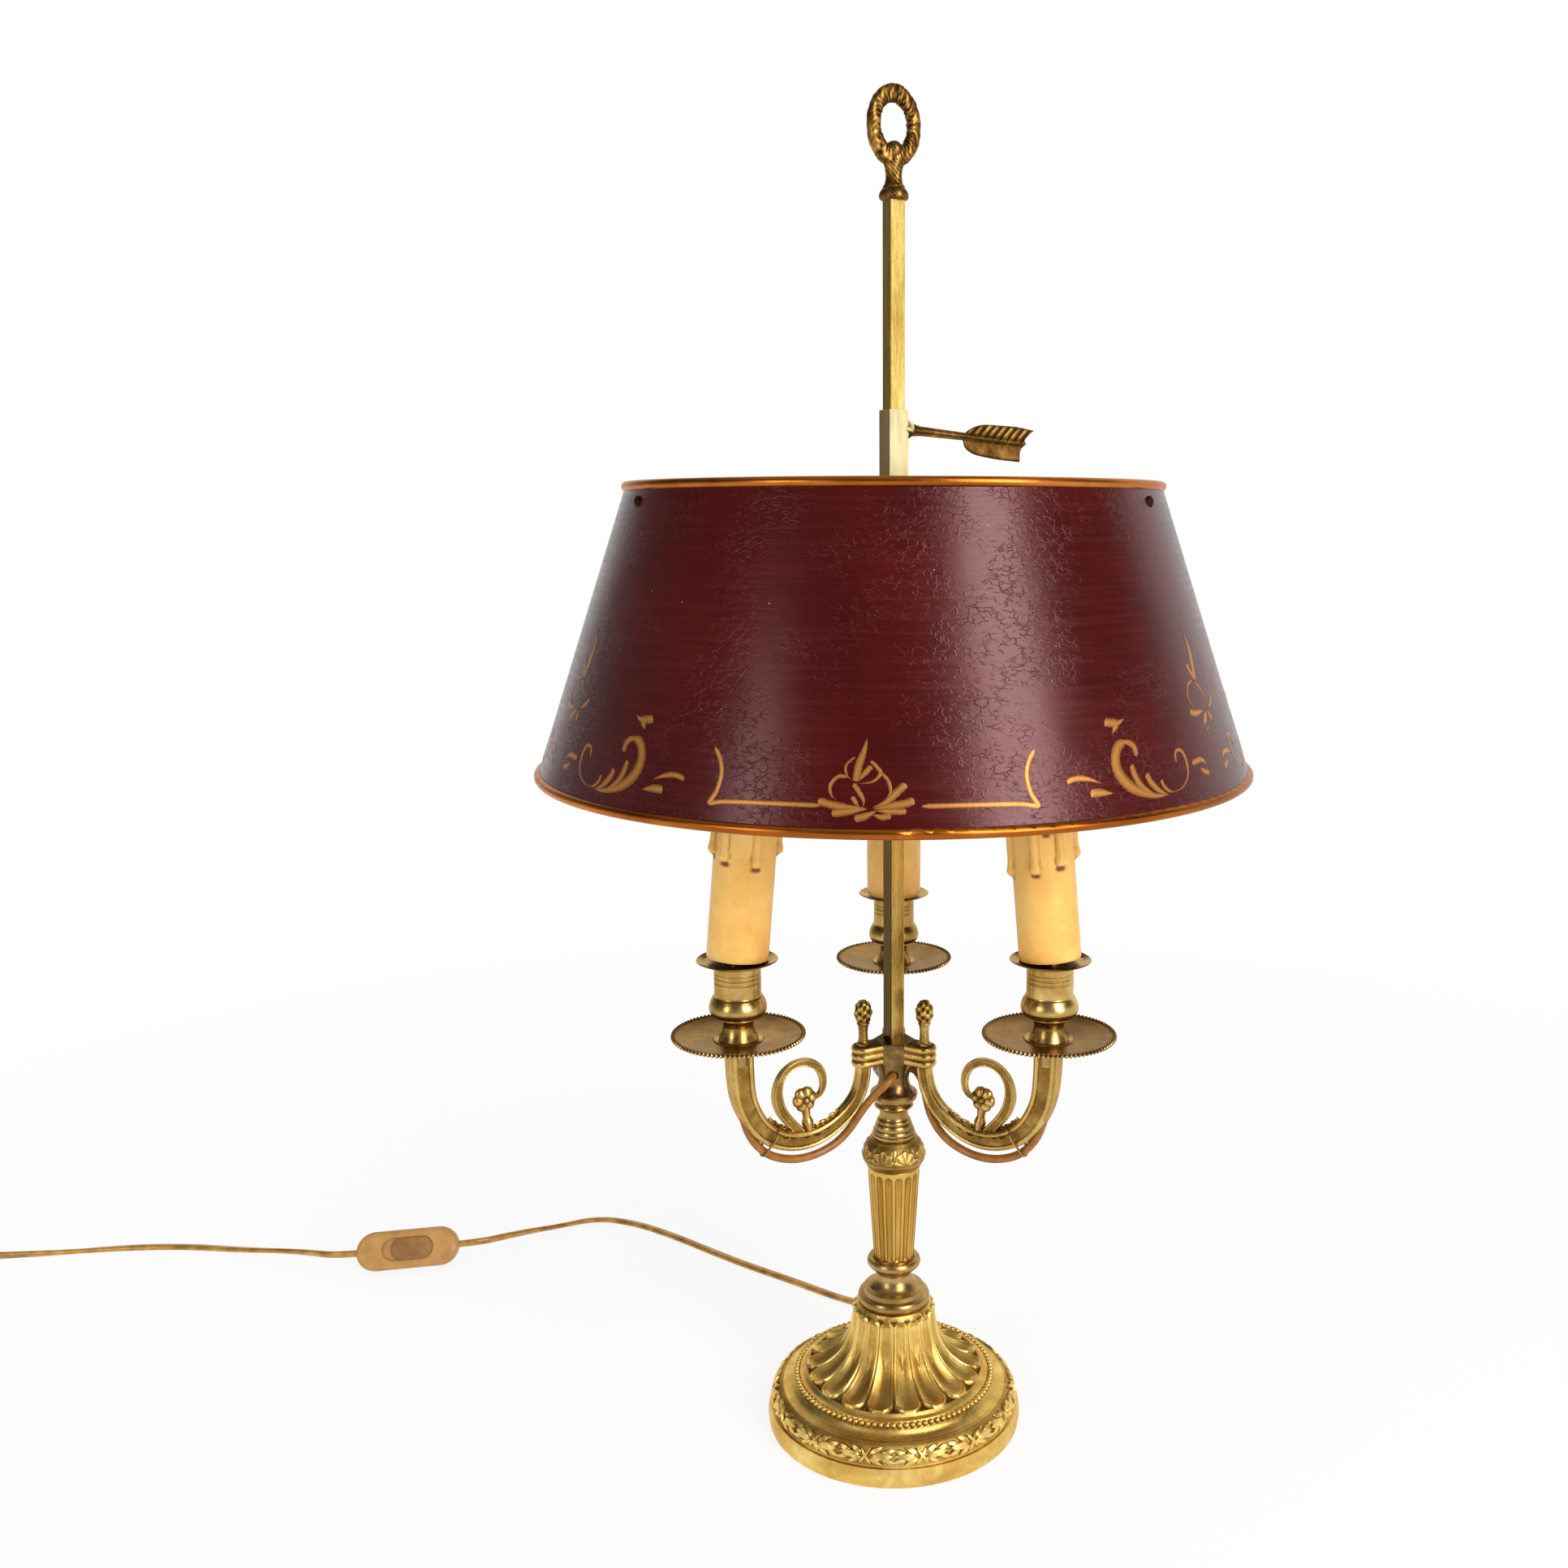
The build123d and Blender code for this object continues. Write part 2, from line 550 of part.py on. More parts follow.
def arm_hub():
    """Hexagonal hub on the neck, with sockets for the rod and the three arm tenons."""
    hexagon = RegularPolygon(HUB_ACROSS_FLATS / math.sqrt(3), 6)
    body = Pos(0, 0, HUB_SEAT) * extrude(hexagon, HUB_HEIGHT)
    body = chamfer(body.faces().sort_by(Axis.Z)[-1].edges(), 0.5)
    body = bored(body, SPIGOT_RADIUS + FIT_GAP, HUB_SEAT, HUB_SEAT + SPIGOT_HEIGHT + FIT_GAP)
    socket_side = ROD_SIDE + 2 * FIT_GAP
    socket = Pos(0, 0, ROD_SEAT) * extrude(Rectangle(socket_side, socket_side), ROD_SEAT_DEPTH + 1)
    body -= around(socket, ROD_TURN)
    flat = HUB_ACROSS_FLATS / 2
    tenon_hole = Pos(flat - TENON_LENGTH, 0, HUB_SEAT + TENON_RISE) * Rot(0, 90, 0) * Cylinder(
        TENON_RADIUS + FIT_GAP, TENON_LENGTH + 1, align=(Align.CENTER, Align.CENTER, Align.MIN)
    )
    return body - [around(tenon_hole, azimuth) for azimuth in ARM_AZIMUTH.values()]


# ------------------------------------------------------------------ arms, made along +X


def arm_point(along, up):
    """Point drawn on an arm of DRAWN_REACH and DRAWN_RISE, brought to the real reach and rise."""
    reach, rise = CUP_REACH - ARM_INNER_REACH, PAN_SEAT - ARM_LOW_HEIGHT
    return (ARM_INNER_REACH + along * reach / DRAWN_REACH, 0, ARM_LOW_HEIGHT + up * rise / DRAWN_RISE)


def arm_path():
    """Centre line of an arm, from its cuff down, outwards and up to the drip pan."""
    top = HUB_SEAT + 3
    fall = (top - ARM_LOW_HEIGHT) / DRAWN_DROP
    shoulder = arm_point(8.3, 0)[0]
    rising = [arm_point(42.5, 0.2), arm_point(57.5, 8.3), arm_point(66.5, 23.3), arm_point(69.0, 38.8)]
    return route(
        [
            (ARM_INNER_REACH, 0, top),
            (ARM_INNER_REACH, 0, top - 12.0 * fall),
            (shoulder, 0, ARM_LOW_HEIGHT + 9.4 * fall),
            arm_point(25.5, 0),
            *rising,
            (CUP_REACH, 0, PAN_SEAT),
        ]
    )


def scroll_path():
    """Centre line of the scroll that springs from the arm and curls back inwards."""
    return route(
        [
            arm_point(36.5, 3.8),
            arm_point(42.3, 10.3),
            arm_point(47.4, 17.5),
            arm_point(49.4, 26.0),
            arm_point(47.4, 34.2),
            arm_point(41.6, 39.6),
            arm_point(33.3, 40.8),
            arm_point(26.4, 37.4),
            arm_point(23.2, 31.0),
            arm_point(23.4, 24.4),
            arm_point(27.2, 19.6),
        ]
    )


def wire_path():
    """Centre line of an arm wire: out of the neck, under the arm, and up its outer end."""
    inner = ARM_INNER_REACH
    under = ARM_LOW_HEIGHT - ARM_MIDDLE_RADIUS - WIRE_RADIUS - WIRE_GAP
    fall = (WIRE_HOLE_HEIGHT - under) / DRAWN_WIRE_DROP
    rise = (PAN_SEAT - under) / DRAWN_WIRE_RISE
    exit_x, exit_y = math.cos(math.radians(60)), math.sin(math.radians(60))
    start, turn = JUNCTION_APOTHEM, NECK_WAIST_RADIUS + 3.1
    return route(
        [
            (start * exit_x, start * exit_y, WIRE_HOLE_HEIGHT),
            (turn * exit_x, turn * exit_y, WIRE_HOLE_HEIGHT),
            (inner - 6.0, 8.5, under + 29.0 * fall),
            (inner - 1.0, 4.0, under + 21.5 * fall),
            (inner + 2.5, 1.0, under + 15.5 * fall),
            (arm_point(8.0, 0)[0], 0, under + 9.0 * fall),
            (arm_point(16.0, 0)[0], 0, under + 2.4 * fall),
            (arm_point(29.0, 0)[0], 0, under - 1.2),
            (arm_point(42.5, 0)[0], 0, under),
            (arm_point(55.4, 0)[0], 0, under + 5.6 * rise),
            (arm_point(64.8, 0)[0], 0, under + 17.2 * rise),
            (CUP_REACH, 0, under + 33.7 * rise),
            (CUP_REACH, 0, BOBECHE_SEAT),
        ]
    )


def cuff():
    """Ribbed cuff that grips the arm and runs back to the hub's flat."""
    flat, reach = HUB_ACROSS_FLATS / 2, ARM_INNER_REACH
    outline = Pos((flat + reach) / 2, 0) * Rectangle(reach - flat, 2 * CUFF_RADIUS)
    body = extrude(outline + Pos(reach, 0) * Circle(CUFF_RADIUS), HUB_HEIGHT)
    ribs_start = flat + 1.5
    rib_outline = Pos((ribs_start + reach) / 2, 0) * Rectangle(
        reach - ribs_start, 2 * (CUFF_RADIUS + CUFF_RIB)
    )
    rib_outline += Pos(reach, 0) * Circle(CUFF_RADIUS + CUFF_RIB)
    rib = extrude(rib_outline, CUFF_RIB_HEIGHT)
    spacing = (HUB_HEIGHT - CUFF_RIB_HEIGHT) / 2
    for index in range(3):
        body += Pos(0, 0, index * spacing) * rib
    return Pos(0, 0, HUB_SEAT) * body


def bud():
    """Bud on a short stem above the cuff."""
    foot = HUB_TOP
    neck = foot + BUD_STEM_HEIGHT
    tip = neck + BUD_HEIGHT
    stem = BUD_STEM_RADIUS
    return Pos(ARM_INNER_REACH, 0, 0) * turned(
        [(0, foot - 1), (stem, foot - 1)],
        [(stem, foot - 1), (stem, neck)],
        [(stem, neck), (BUD_RADIUS, neck + 4.6), (BUD_RADIUS - 0.9, tip - 2.6), (0, tip)],
        [(0, tip), (0, foot - 1)],
    )


def rosette():
    """Flower at the heart of the scroll, on a leafy stem."""
    place = arm_point(33.7, 20.8)
    half = ROSETTE_THICKNESS / 2
    disc = Pos(*place) * Rot(90, 0, 0) * Cylinder(ROSETTE_RADIUS, ROSETTE_THICKNESS)
    disc = chamfer(disc.edges().filter_by(GeomType.CIRCLE), half * 0.6)
    stem = tapered(Line((place[0] - 2.0, 0, ARM_LOW_HEIGHT + 2.0), place), [3.6, 2.4, 2.0])
    tip = Pos(*arm_point(27.2, 19.6)) * Sphere(SCROLL_TIP_RADIUS)
    return disc + stem + tip


def arm():
    """One cast arm with its cuff, bud, scroll and rosette."""
    body = tapered(
        arm_path(),
        [ARM_INNER_RADIUS, ARM_INNER_RADIUS, ARM_INNER_RADIUS + 0.5, ARM_MIDDLE_RADIUS,
         ARM_MIDDLE_RADIUS + 0.4, ARM_OUTER_RADIUS - 0.5, ARM_OUTER_RADIUS, ARM_OUTER_RADIUS],
    )
    curl = tapered(
        scroll_path(),
        [SCROLL_ROOT_RADIUS, SCROLL_ROOT_RADIUS - 0.2, 2.8, 2.6, 2.4, 2.2, 2.0, SCROLL_TIP_RADIUS],
    )
    tenon = Pos(HUB_ACROSS_FLATS / 2 - TENON_LENGTH, 0, HUB_SEAT + TENON_RISE) * Rot(0, 90, 0) * Cylinder(
        TENON_RADIUS, TENON_LENGTH + 2, align=(Align.CENTER, Align.CENTER, Align.MIN)
    )
    body = body + curl + rosette() + cuff() + bud() + tenon
    body -= tube(wire_path(), WIRE_RADIUS + WIRE_GAP)
    return body - at_cup(
        Pos(0, 0, PAN_SEAT - NIPPLE_DEPTH / 2) * Cylinder(NIPPLE_RADIUS + THREAD_CLEARANCE, NIPPLE_DEPTH)
    )


def wire_tie():
    """Loop of thin brass wire that holds the arm wire against the arm."""
    start, end = Vector(*arm_point(42.5, 0.2)), Vector(*arm_point(57.5, 8.3))
    heading = (end - start).normalized()
    middle = start + heading * 11.0
    plane = Plane(origin=middle, x_dir=(0, 1, 0), z_dir=heading)
    drop = 8.0
    arm_circle = ARM_MIDDLE_RADIUS + 0.6 + 0.15
    wire_circle = WIRE_RADIUS + 0.45
    side = 1 if plane.y_dir.Z < 0 else -1

    def hull(extra):
        """Outline round the arm and the wire together."""
        big = Circle(arm_circle + extra)
        small = Pos(0, side * drop) * Circle(wire_circle + extra)
        return make_hull(big.edges() + small.edges())

    return extrude(plane * (hull(TIE_WIRE) - hull(0)), TIE_WIRE)


# ------------------------------------------------------------------ pan, cup and candle


def drip_pan():
    """Dished drip pan at the top of an arm."""
    low, rise, sheet, edge = PAN_SEAT, PAN_RISE, PAN_SHEET, PAN_RADIUS
    shape = turned(
        [(0, low), (CUP_FOOT_RADIUS + 2, low)],
        [(CUP_FOOT_RADIUS + 2, low), (edge * 0.75, low + rise * 0.4), (edge - 0.6, low + rise - 0.4)],
        [(edge - 0.6, low + rise - 0.4), (edge, low + rise)],
        [(edge, low + rise), (edge - 0.4, low + rise + 0.6)],
        [(edge - 0.4, low + rise + 0.6), (edge * 0.74, low + sheet + rise * 0.4), (CUP_FOOT_RADIUS + 1, low + sheet)],
        [(CUP_FOOT_RADIUS + 1, low + sheet), (0, low + sheet)],
    )
    return at_cup(bored(shape, NIPPLE_RADIUS + THREAD_CLEARANCE, low, low + rise + sheet))


def candle_cup():
    """Turned candle cup, hollow above its bulge."""
    low, high = CUP_SEAT, CUP_SEAT + CUP_HEIGHT
    foot, waist, bulge, neck = CUP_FOOT_RADIUS, CUP_WAIST_RADIUS, CUP_BULGE_RADIUS, CUP_NECK_RADIUS
    shape = turned(
        [(0, low), (foot, low)],
        [(foot, low), (foot, low + 1.0)],
        [(foot, low + 1.0), (waist + 0.6, low + 4.0), (waist, low + 7.4), (waist + 1.2, low + 10.6)],
        [(waist + 1.2, low + 10.6), (bulge - 2.0, low + 12.2), (bulge, low + 16.8), (neck + 0.7, low + 22.0)],
        [(neck + 0.7, low + 22.0), (neck, low + 23.0)],
        [(neck, low + 23.0), (neck, high)],
        [(neck, high), (0, high)],
    )
    shape = bored(shape, NIPPLE_RADIUS + THREAD_CLEARANCE, low, high)
    return at_cup(bored(shape, neck - CUP_WALL, low + 17, high))


def bobeche():
    """Small wax dish on top of the candle cup."""
    low, rise, sheet, edge = BOBECHE_SEAT, BOBECHE_RISE, BOBECHE_SHEET, BOBECHE_RADIUS
    flat = CANDLE_RADIUS + 1.2
    shape = turned(
        [(0, low), (flat, low)],
        [(flat, low), (edge - 1.5, low + rise * 0.5), (edge, low + rise - 0.3)],
        [(edge, low + rise - 0.3), (edge - 0.5, low + rise)],
        [(edge - 0.5, low + rise), (edge - 2.0, low + rise * 0.5 + sheet * 0.5), (flat, low + sheet)],
        [(flat, low + sheet), (0, low + sheet)],
    )
    return at_cup(bored(shape, NIPPLE_RADIUS + THREAD_CLEARANCE, low, low + rise))


def holder_nipple():
    """Hollow threaded nipple that clamps arm, pan, cup and dish together."""
    low, high = PAN_SEAT - NIPPLE_DEPTH, BOBECHE_SEAT + NIPPLE_REACH
    ring = Circle(NIPPLE_RADIUS) - Circle(NIPPLE_BORE_RADIUS)
    return at_cup(Pos(0, 0, low) * extrude(ring, high - low))


def candle_sleeve():
    """Tube that looks like a candle and hides the lamp holder."""
    ring = Circle(CANDLE_RADIUS) - Circle(CANDLE_RADIUS - CANDLE_WALL)
    return lean(at_cup(Pos(0, 0, CANDLE_PIVOT + CANDLE_LIFT) * extrude(ring, CANDLE_LENGTH)))


def lamp_holder():
    """Tall lamp holder: a threaded foot, a stem and a barrel for the bulb's cap."""
    low, high = HOLDER_SEAT, HOLDER_TOP
    foot, stem, barrel = HOLDER_FOOT_RADIUS, HOLDER_STEM_RADIUS, HOLDER_BARREL_RADIUS
    shoulder = high - HOLDER_BARREL_LENGTH
    shape = turned(
        [(0, low), (foot, low)],
        [(foot, low), (foot, low + 8)],
        [(foot, low + 8), (stem, low + 10)],
        [(stem, low + 10), (stem, shoulder - 6)],
        [(stem, shoulder - 6), (barrel, shoulder)],
        [(barrel, shoulder), (barrel, high)],
        [(barrel, high), (0, high)],
    )
    shape = bored(shape, NIPPLE_RADIUS + 0.6, low, BOBECHE_SEAT + NIPPLE_REACH + 0.8)
    socket_floor = high - BULB_CAP_LENGTH - BULB_GAP
    return lean(at_cup(bored(shape, BULB_CAP_RADIUS + BULB_GAP, socket_floor, high)))


def bulb_cap():
    """Screw cap of a candle bulb."""
    low, high = HOLDER_TOP - BULB_CAP_LENGTH, HOLDER_TOP + 1
    shape = turned(
        [(0, low), (BULB_CAP_RADIUS - 3.0, low)],
        [(BULB_CAP_RADIUS - 3.0, low), (BULB_CAP_RADIUS, low + 3.5)],
        [(BULB_CAP_RADIUS, low + 3.5), (BULB_CAP_RADIUS, high)],
        [(BULB_CAP_RADIUS, high), (0, high)],
    )
    return lean(at_cup(shape))


def bulb_glass():
    """Candle-shaped bulb, a thin shell that is open where its cap holds it."""
    low, tip = HOLDER_TOP + 1, HOLDER_TOP + 1 + BULB_LENGTH
    neck, wall = BULB_CAP_RADIUS - 0.3, BULB_WALL
    shape = turned(
        [(neck, low), (BULB_RADIUS - 2.4, low + 13), (BULB_RADIUS, low + 25), (BULB_RADIUS - 4.5, low + 46),
         (BULB_RADIUS - 11.5, tip - 9), (0, tip)],
        [(0, tip), (0, tip - 2.5)],
        [(0, tip - 2.5), (BULB_RADIUS - 12.6, tip - 11), (BULB_RADIUS - 4.5 - wall, low + 45),
         (BULB_RADIUS - wall, low + 25), (BULB_RADIUS - 2.4 - wall, low + 13.4), (neck - wall, low)],
        [(neck - wall, low), (neck, low)],
    )
    return lean(at_cup(shape))


# ------------------------------------------------------------------ rod, ring and shade


def square_rod():
    """Square rod on which the shade slides."""
    length = ROD_TOP - ROD_SEAT
    rod = Pos(0, 0, ROD_SEAT) * extrude(Rectangle(ROD_SIDE, ROD_SIDE), length)
    rod = chamfer(rod.edges().filter_by(Axis.Z), 0.4)
    rod = bored(rod, FINIAL_STUD_RADIUS + FIT_GAP, ROD_TOP - FINIAL_STUD_LENGTH - 0.5, ROD_TOP)
    return around(rod, ROD_TURN)


def ring_finial():
    """Wreath-shaped lifting ring, screwed into the top of the rod."""
    low, collar = ROD_TOP, FINIAL_COLLAR_RADIUS
    belt, neck = low + FINIAL_COLLAR_HEIGHT, FINIAL_NECK_RADIUS
    neck_top = low + FINIAL_NECK_HEIGHT
    foot = turned(
        [(0, low - FINIAL_STUD_LENGTH), (FINIAL_STUD_RADIUS, low - FINIAL_STUD_LENGTH)],
        [(FINIAL_STUD_RADIUS, low - FINIAL_STUD_LENGTH), (FINIAL_STUD_RADIUS, low)],
        [(FINIAL_STUD_RADIUS, low), (collar - 1.8, low)],
        [(collar - 1.8, low), (collar, low + 2.0), (collar - 1.8, belt)],
        [(collar - 1.8, belt), (neck + 0.6, belt + 1.6), (neck, belt + 4.4), (neck + 0.7, neck_top)],
        [(neck + 0.7, neck_top), (0, neck_top)],
        [(0, neck_top), (0, low - FINIAL_STUD_LENGTH)],
    )
    centre = neck_top - 1.5 + RING_HEIGHT / 2
    oval = Ellipse(RING_WIDTH / 2, RING_HEIGHT / 2) - Ellipse(RING_HOLE_WIDTH / 2, RING_HOLE_HEIGHT / 2)
    ring = extrude(Plane.XZ * oval, RING_DEPTH / 2, both=True)
    ring = fillet(ring.edges(), RING_DEPTH * 0.28)
    ring = Pos(0, 0, centre) * ring
    berry = Pos(0, 0, centre - RING_HOLE_HEIGHT / 2 - 1.5) * Sphere(RING_BERRY_RADIUS)
    return around(foot + ring + berry, ROD_TURN)


def key_frame():
    """Plane on the rod's axis whose normal is the arrow key's axis."""
    turn, tilt = math.radians(ROD_TURN), math.radians(KEY_TILT)
    outward = (math.cos(turn) * math.cos(tilt), math.sin(turn) * math.cos(tilt), -math.sin(tilt))
    sideways = (-math.sin(turn), math.cos(turn), 0)
    return Plane(origin=(0, 0, KEY_HEIGHT), x_dir=sideways, z_dir=outward)


def shade_sleeve():
    """Square sleeve that slides on the rod, with the threaded boss for the key."""
    low = SLEEVE_LOW
    bore_side = ROD_SIDE + 2 * SLEEVE_CLEARANCE
    tube_body = Pos(0, 0, low) * extrude(Rectangle(SLEEVE_SIDE, SLEEVE_SIDE), SLEEVE_LENGTH)
    tube_body = around(tube_body, ROD_TURN)
    start = SLEEVE_SIDE / 2 - KEY_BOSS_SINK
    boss = turned(
        [(0, start), (KEY_BOSS_RADIUS, start)],
        [(KEY_BOSS_RADIUS, start), (KEY_BOSS_RADIUS, start + 1.4)],
        [
            (KEY_BOSS_RADIUS, start + 1.4),
            (KEY_BOSS_RADIUS - 0.9, start + 3.6),
            (KEY_BOSS_RADIUS - 2.4, start + KEY_BOSS_DEPTH),
        ],
        [(KEY_BOSS_RADIUS - 2.4, start + KEY_BOSS_DEPTH), (0, start + KEY_BOSS_DEPTH)],
    )
    frame = key_frame()
    body = tube_body + frame.location * boss
    bore = Pos(0, 0, low - 1) * extrude(Rectangle(bore_side, bore_side), SLEEVE_LENGTH + 2)
    body -= around(bore, ROD_TURN)
    thread = Cylinder(
        KEY_THREAD_RADIUS + KEY_THREAD_CLEARANCE, 20, align=(Align.CENTER, Align.CENTER, Align.MIN)
    )
    return body - frame.location * thread


def arrow_key():
    """Locking key shaped as the feathered end of an arrow."""
    face = SLEEVE_SIDE / 2 - KEY_BOSS_SINK + KEY_BOSS_DEPTH + KEY_BOSS_GAP
    tip = ROD_SIDE / 2 + KEY_TIP_GAP
    thread, shank = KEY_THREAD_RADIUS, KEY_SHANK_RADIUS
    stem = turned(
        [(0, tip), (thread, tip)],
        [(thread, tip), (thread, face)],
        [(thread, face), (shank + 0.6, face)],
        [(shank + 0.6, face), (shank, face + 2.4)],
        [(shank, face + 2.4), (shank - 0.4, KEY_SHANK_END - 1)],
        [(shank - 0.4, KEY_SHANK_END - 1), (shank - 1.4, KEY_SHANK_END)],
        [(shank - 1.4, KEY_SHANK_END), (0, KEY_SHANK_END)],
        [(0, KEY_SHANK_END), (0, tip)],
    )
    start, end, upper, lower = KEY_VANE_START, KEY_VANE_END, KEY_VANE_UPPER, -KEY_VANE_LOWER
    heel, notch = end - 7.4, end - KEY_VANE_NOTCH
    vane = make_face(
        Wire(
            [
                Line((start, 0), (start + 2.0, 2.0)),
                Spline((start + 2.0, 2.0), (start + 6.4, upper - 2.4), (start + 12, upper - 1.2),
                       (end - 10, upper), (end, upper - 0.5)),
                Line((end, upper - 0.5), (notch, 1.2)),
                Line((notch, 1.2), (notch - 1.5, -3.2)),
                Line((notch - 1.5, -3.2), (heel, lower)),
                Spline((heel, lower), (heel - 11, lower), (start + 8.4, lower + 1.0), (start + 1.9, lower + 3.2),
                       (start - 0.6, lower + 6.4)),
                Line((start - 0.6, lower + 6.4), (start, 0)),
            ]
        )
    )
    blade = Rot(0, 0, 90) * extrude(Plane.ZX * vane, KEY_VANE_THICKNESS / 2, both=True)
    return key_frame().location * (stem + blade)


def shade_spider():
    """Three-armed carrier: a square collar on the sleeve and rods out to the shade."""
    collar = Rectangle(SPIDER_COLLAR_SIDE, SPIDER_COLLAR_SIDE) - Rectangle(SLEEVE_SIDE, SLEEVE_SIDE)
    low = SCREW_HEIGHT - SPIDER_COLLAR_HEIGHT / 2
    body = around(Pos(0, 0, low) * extrude(collar, SPIDER_COLLAR_HEIGHT), ROD_TURN)
    core = Rectangle(SLEEVE_SIDE, SLEEVE_SIDE)
    core = around(Pos(0, 0, low - 1) * extrude(core, SPIDER_COLLAR_HEIGHT + 2), ROD_TURN)
    reach = SHADE_BOTTOM_RADIUS
    rod = Pos(0, 0, SCREW_HEIGHT) * Rot(0, 90, 0) * Cylinder(
        SPIDER_ROD_RADIUS, reach, align=(Align.CENTER, Align.CENTER, Align.MIN)
    )
    hole = Pos(SHADE_TOP_RADIUS - SCREW_DEPTH, 0, SCREW_HEIGHT) * Rot(0, 90, 0) * Cylinder(
        SCREW_RADIUS + SCREW_CLEARANCE / 2, reach, align=(Align.CENTER, Align.CENTER, Align.MIN)
    )
    for azimuth in ARM_AZIMUTH.values():
        body += around(rod, azimuth) - core
    body -= [around(hole, azimuth) for azimuth in ARM_AZIMUTH.values()]
    return body & shade_cone(-SHADE_SHEET - GLUE_GAP / 2)


def sheet_section():
    """Section of the conical sheet, to the right of the Z axis."""
    top, bottom = SHADE_TOP_RADIUS, SHADE_BOTTOM_RADIUS
    corners = [
        (bottom, SHADE_BOTTOM_HEIGHT),
        (top, SHADE_TOP_HEIGHT),
        (top - SHADE_SHEET, SHADE_TOP_HEIGHT),
        (bottom - SHADE_SHEET, SHADE_BOTTOM_HEIGHT),
    ]
    return make_face(Polyline(*corners, close=True))


def shade_shell():
    """Conical painted sheet with three screw holes near its top edge."""
    sheet = revolve(Plane.XZ * sheet_section(), Axis.Z)
    hole = Pos(0, 0, SCREW_HEIGHT) * Rot(0, 90, 0) * Cylinder(
        SCREW_RADIUS + SCREW_CLEARANCE, SHADE_BOTTOM_RADIUS, align=(Align.CENTER, Align.CENTER, Align.MIN)
    )
    return sheet - [around(hole, azimuth) for azimuth in ARM_AZIMUTH.values()]


def shade_rim(radius, height):
    """Rolled wire rim that wraps one edge of the sheet."""
    bead = Pos(radius - SHADE_SHEET / 2, height) * Circle(RIM_RADIUS) - sheet_section()
    return revolve(Plane.XZ * bead, Axis.Z)


def shade_screw():
    """Dome-headed screw through the shade into the spider."""
    head_base = SHADE_TOP_RADIUS + SPIDER_DROP * SHADE_SLOPE
    tip = SHADE_TOP_RADIUS - SCREW_DEPTH + 0.5
    dome = turned(
        [(0, head_base - 1.2), (SCREW_HEAD_RADIUS, head_base - 1.2)],
        [(SCREW_HEAD_RADIUS, head_base - 1.2), (SCREW_HEAD_RADIUS, head_base + 0.4)],
        [(SCREW_HEAD_RADIUS, head_base + 0.4), (SCREW_HEAD_RADIUS - 1.0, head_base + SCREW_HEAD_HEIGHT - 0.4),
         (0, head_base + SCREW_HEAD_HEIGHT)],
        [(0, head_base + SCREW_HEAD_HEIGHT), (0, head_base - 1.2)],
    )
    along = Pos(0, 0, SCREW_HEIGHT) * Rot(0, 90, 0)
    shank = Pos(0, 0, tip) * extrude(Circle(SCREW_RADIUS), head_base + 0.5 - tip)
    return (along * dome - shade_cone(0)) + along * shank


# ------------------------------------------------------------------ cord, switch and plug


def bushing():
    """Bushing in the back of the base, where the cord leaves."""
    rim = BASE_RADIUS - RIM_WALL
    flange = Pos(0, BASE_RADIUS, EXIT_HEIGHT) * Rot(-90, 0, 0) * extrude(
        Circle(BUSH_FLANGE_RADIUS), BUSH_FLANGE_THICKNESS
    )
    body = Pos(0, rim - 2, EXIT_HEIGHT) * Rot(-90, 0, 0) * extrude(
        Circle(BUSH_BODY_RADIUS), RIM_WALL + 2.5
    )
    bore = Pos(0, rim - 3, EXIT_HEIGHT) * Rot(-90, 0, 0) * extrude(
        Circle(CORD_RADIUS + BUSH_CLEARANCE), RIM_WALL + BUSH_FLANGE_THICKNESS + 5
    )
    return flange + body - bore


def switch_axis():
    """Direction of the switch, towards the lamp."""
    heading = math.radians(SWITCH_HEADING)
    return Vector(math.cos(heading), math.sin(heading), 0)


def switch_lift():
    """Height of the switch's middle when its rolled edge touches the table."""
    roll = math.radians(SWITCH_ROLL)
    side, down = SWITCH_WIDTH / 2 - SWITCH_EDGE, SWITCH_HEIGHT / 2 - SWITCH_EDGE
    return side * math.sin(roll) + down * math.cos(roll) + SWITCH_EDGE


def on_switch(shape):
    """The shape moved from the switch's own frame to where the switch lies."""
    return Pos(SWITCH_CENTRE[0], SWITCH_CENTRE[1], switch_lift()) * Rot(0, 0, SWITCH_HEADING) * Rot(
        SWITCH_ROLL, 0, 0
    ) * shape


def switch_end(side, reach):
    """Point on the switch's axis at a distance from its middle."""
    middle = Vector(SWITCH_CENTRE[0], SWITCH_CENTRE[1], switch_lift())
    return middle + switch_axis() * side * reach


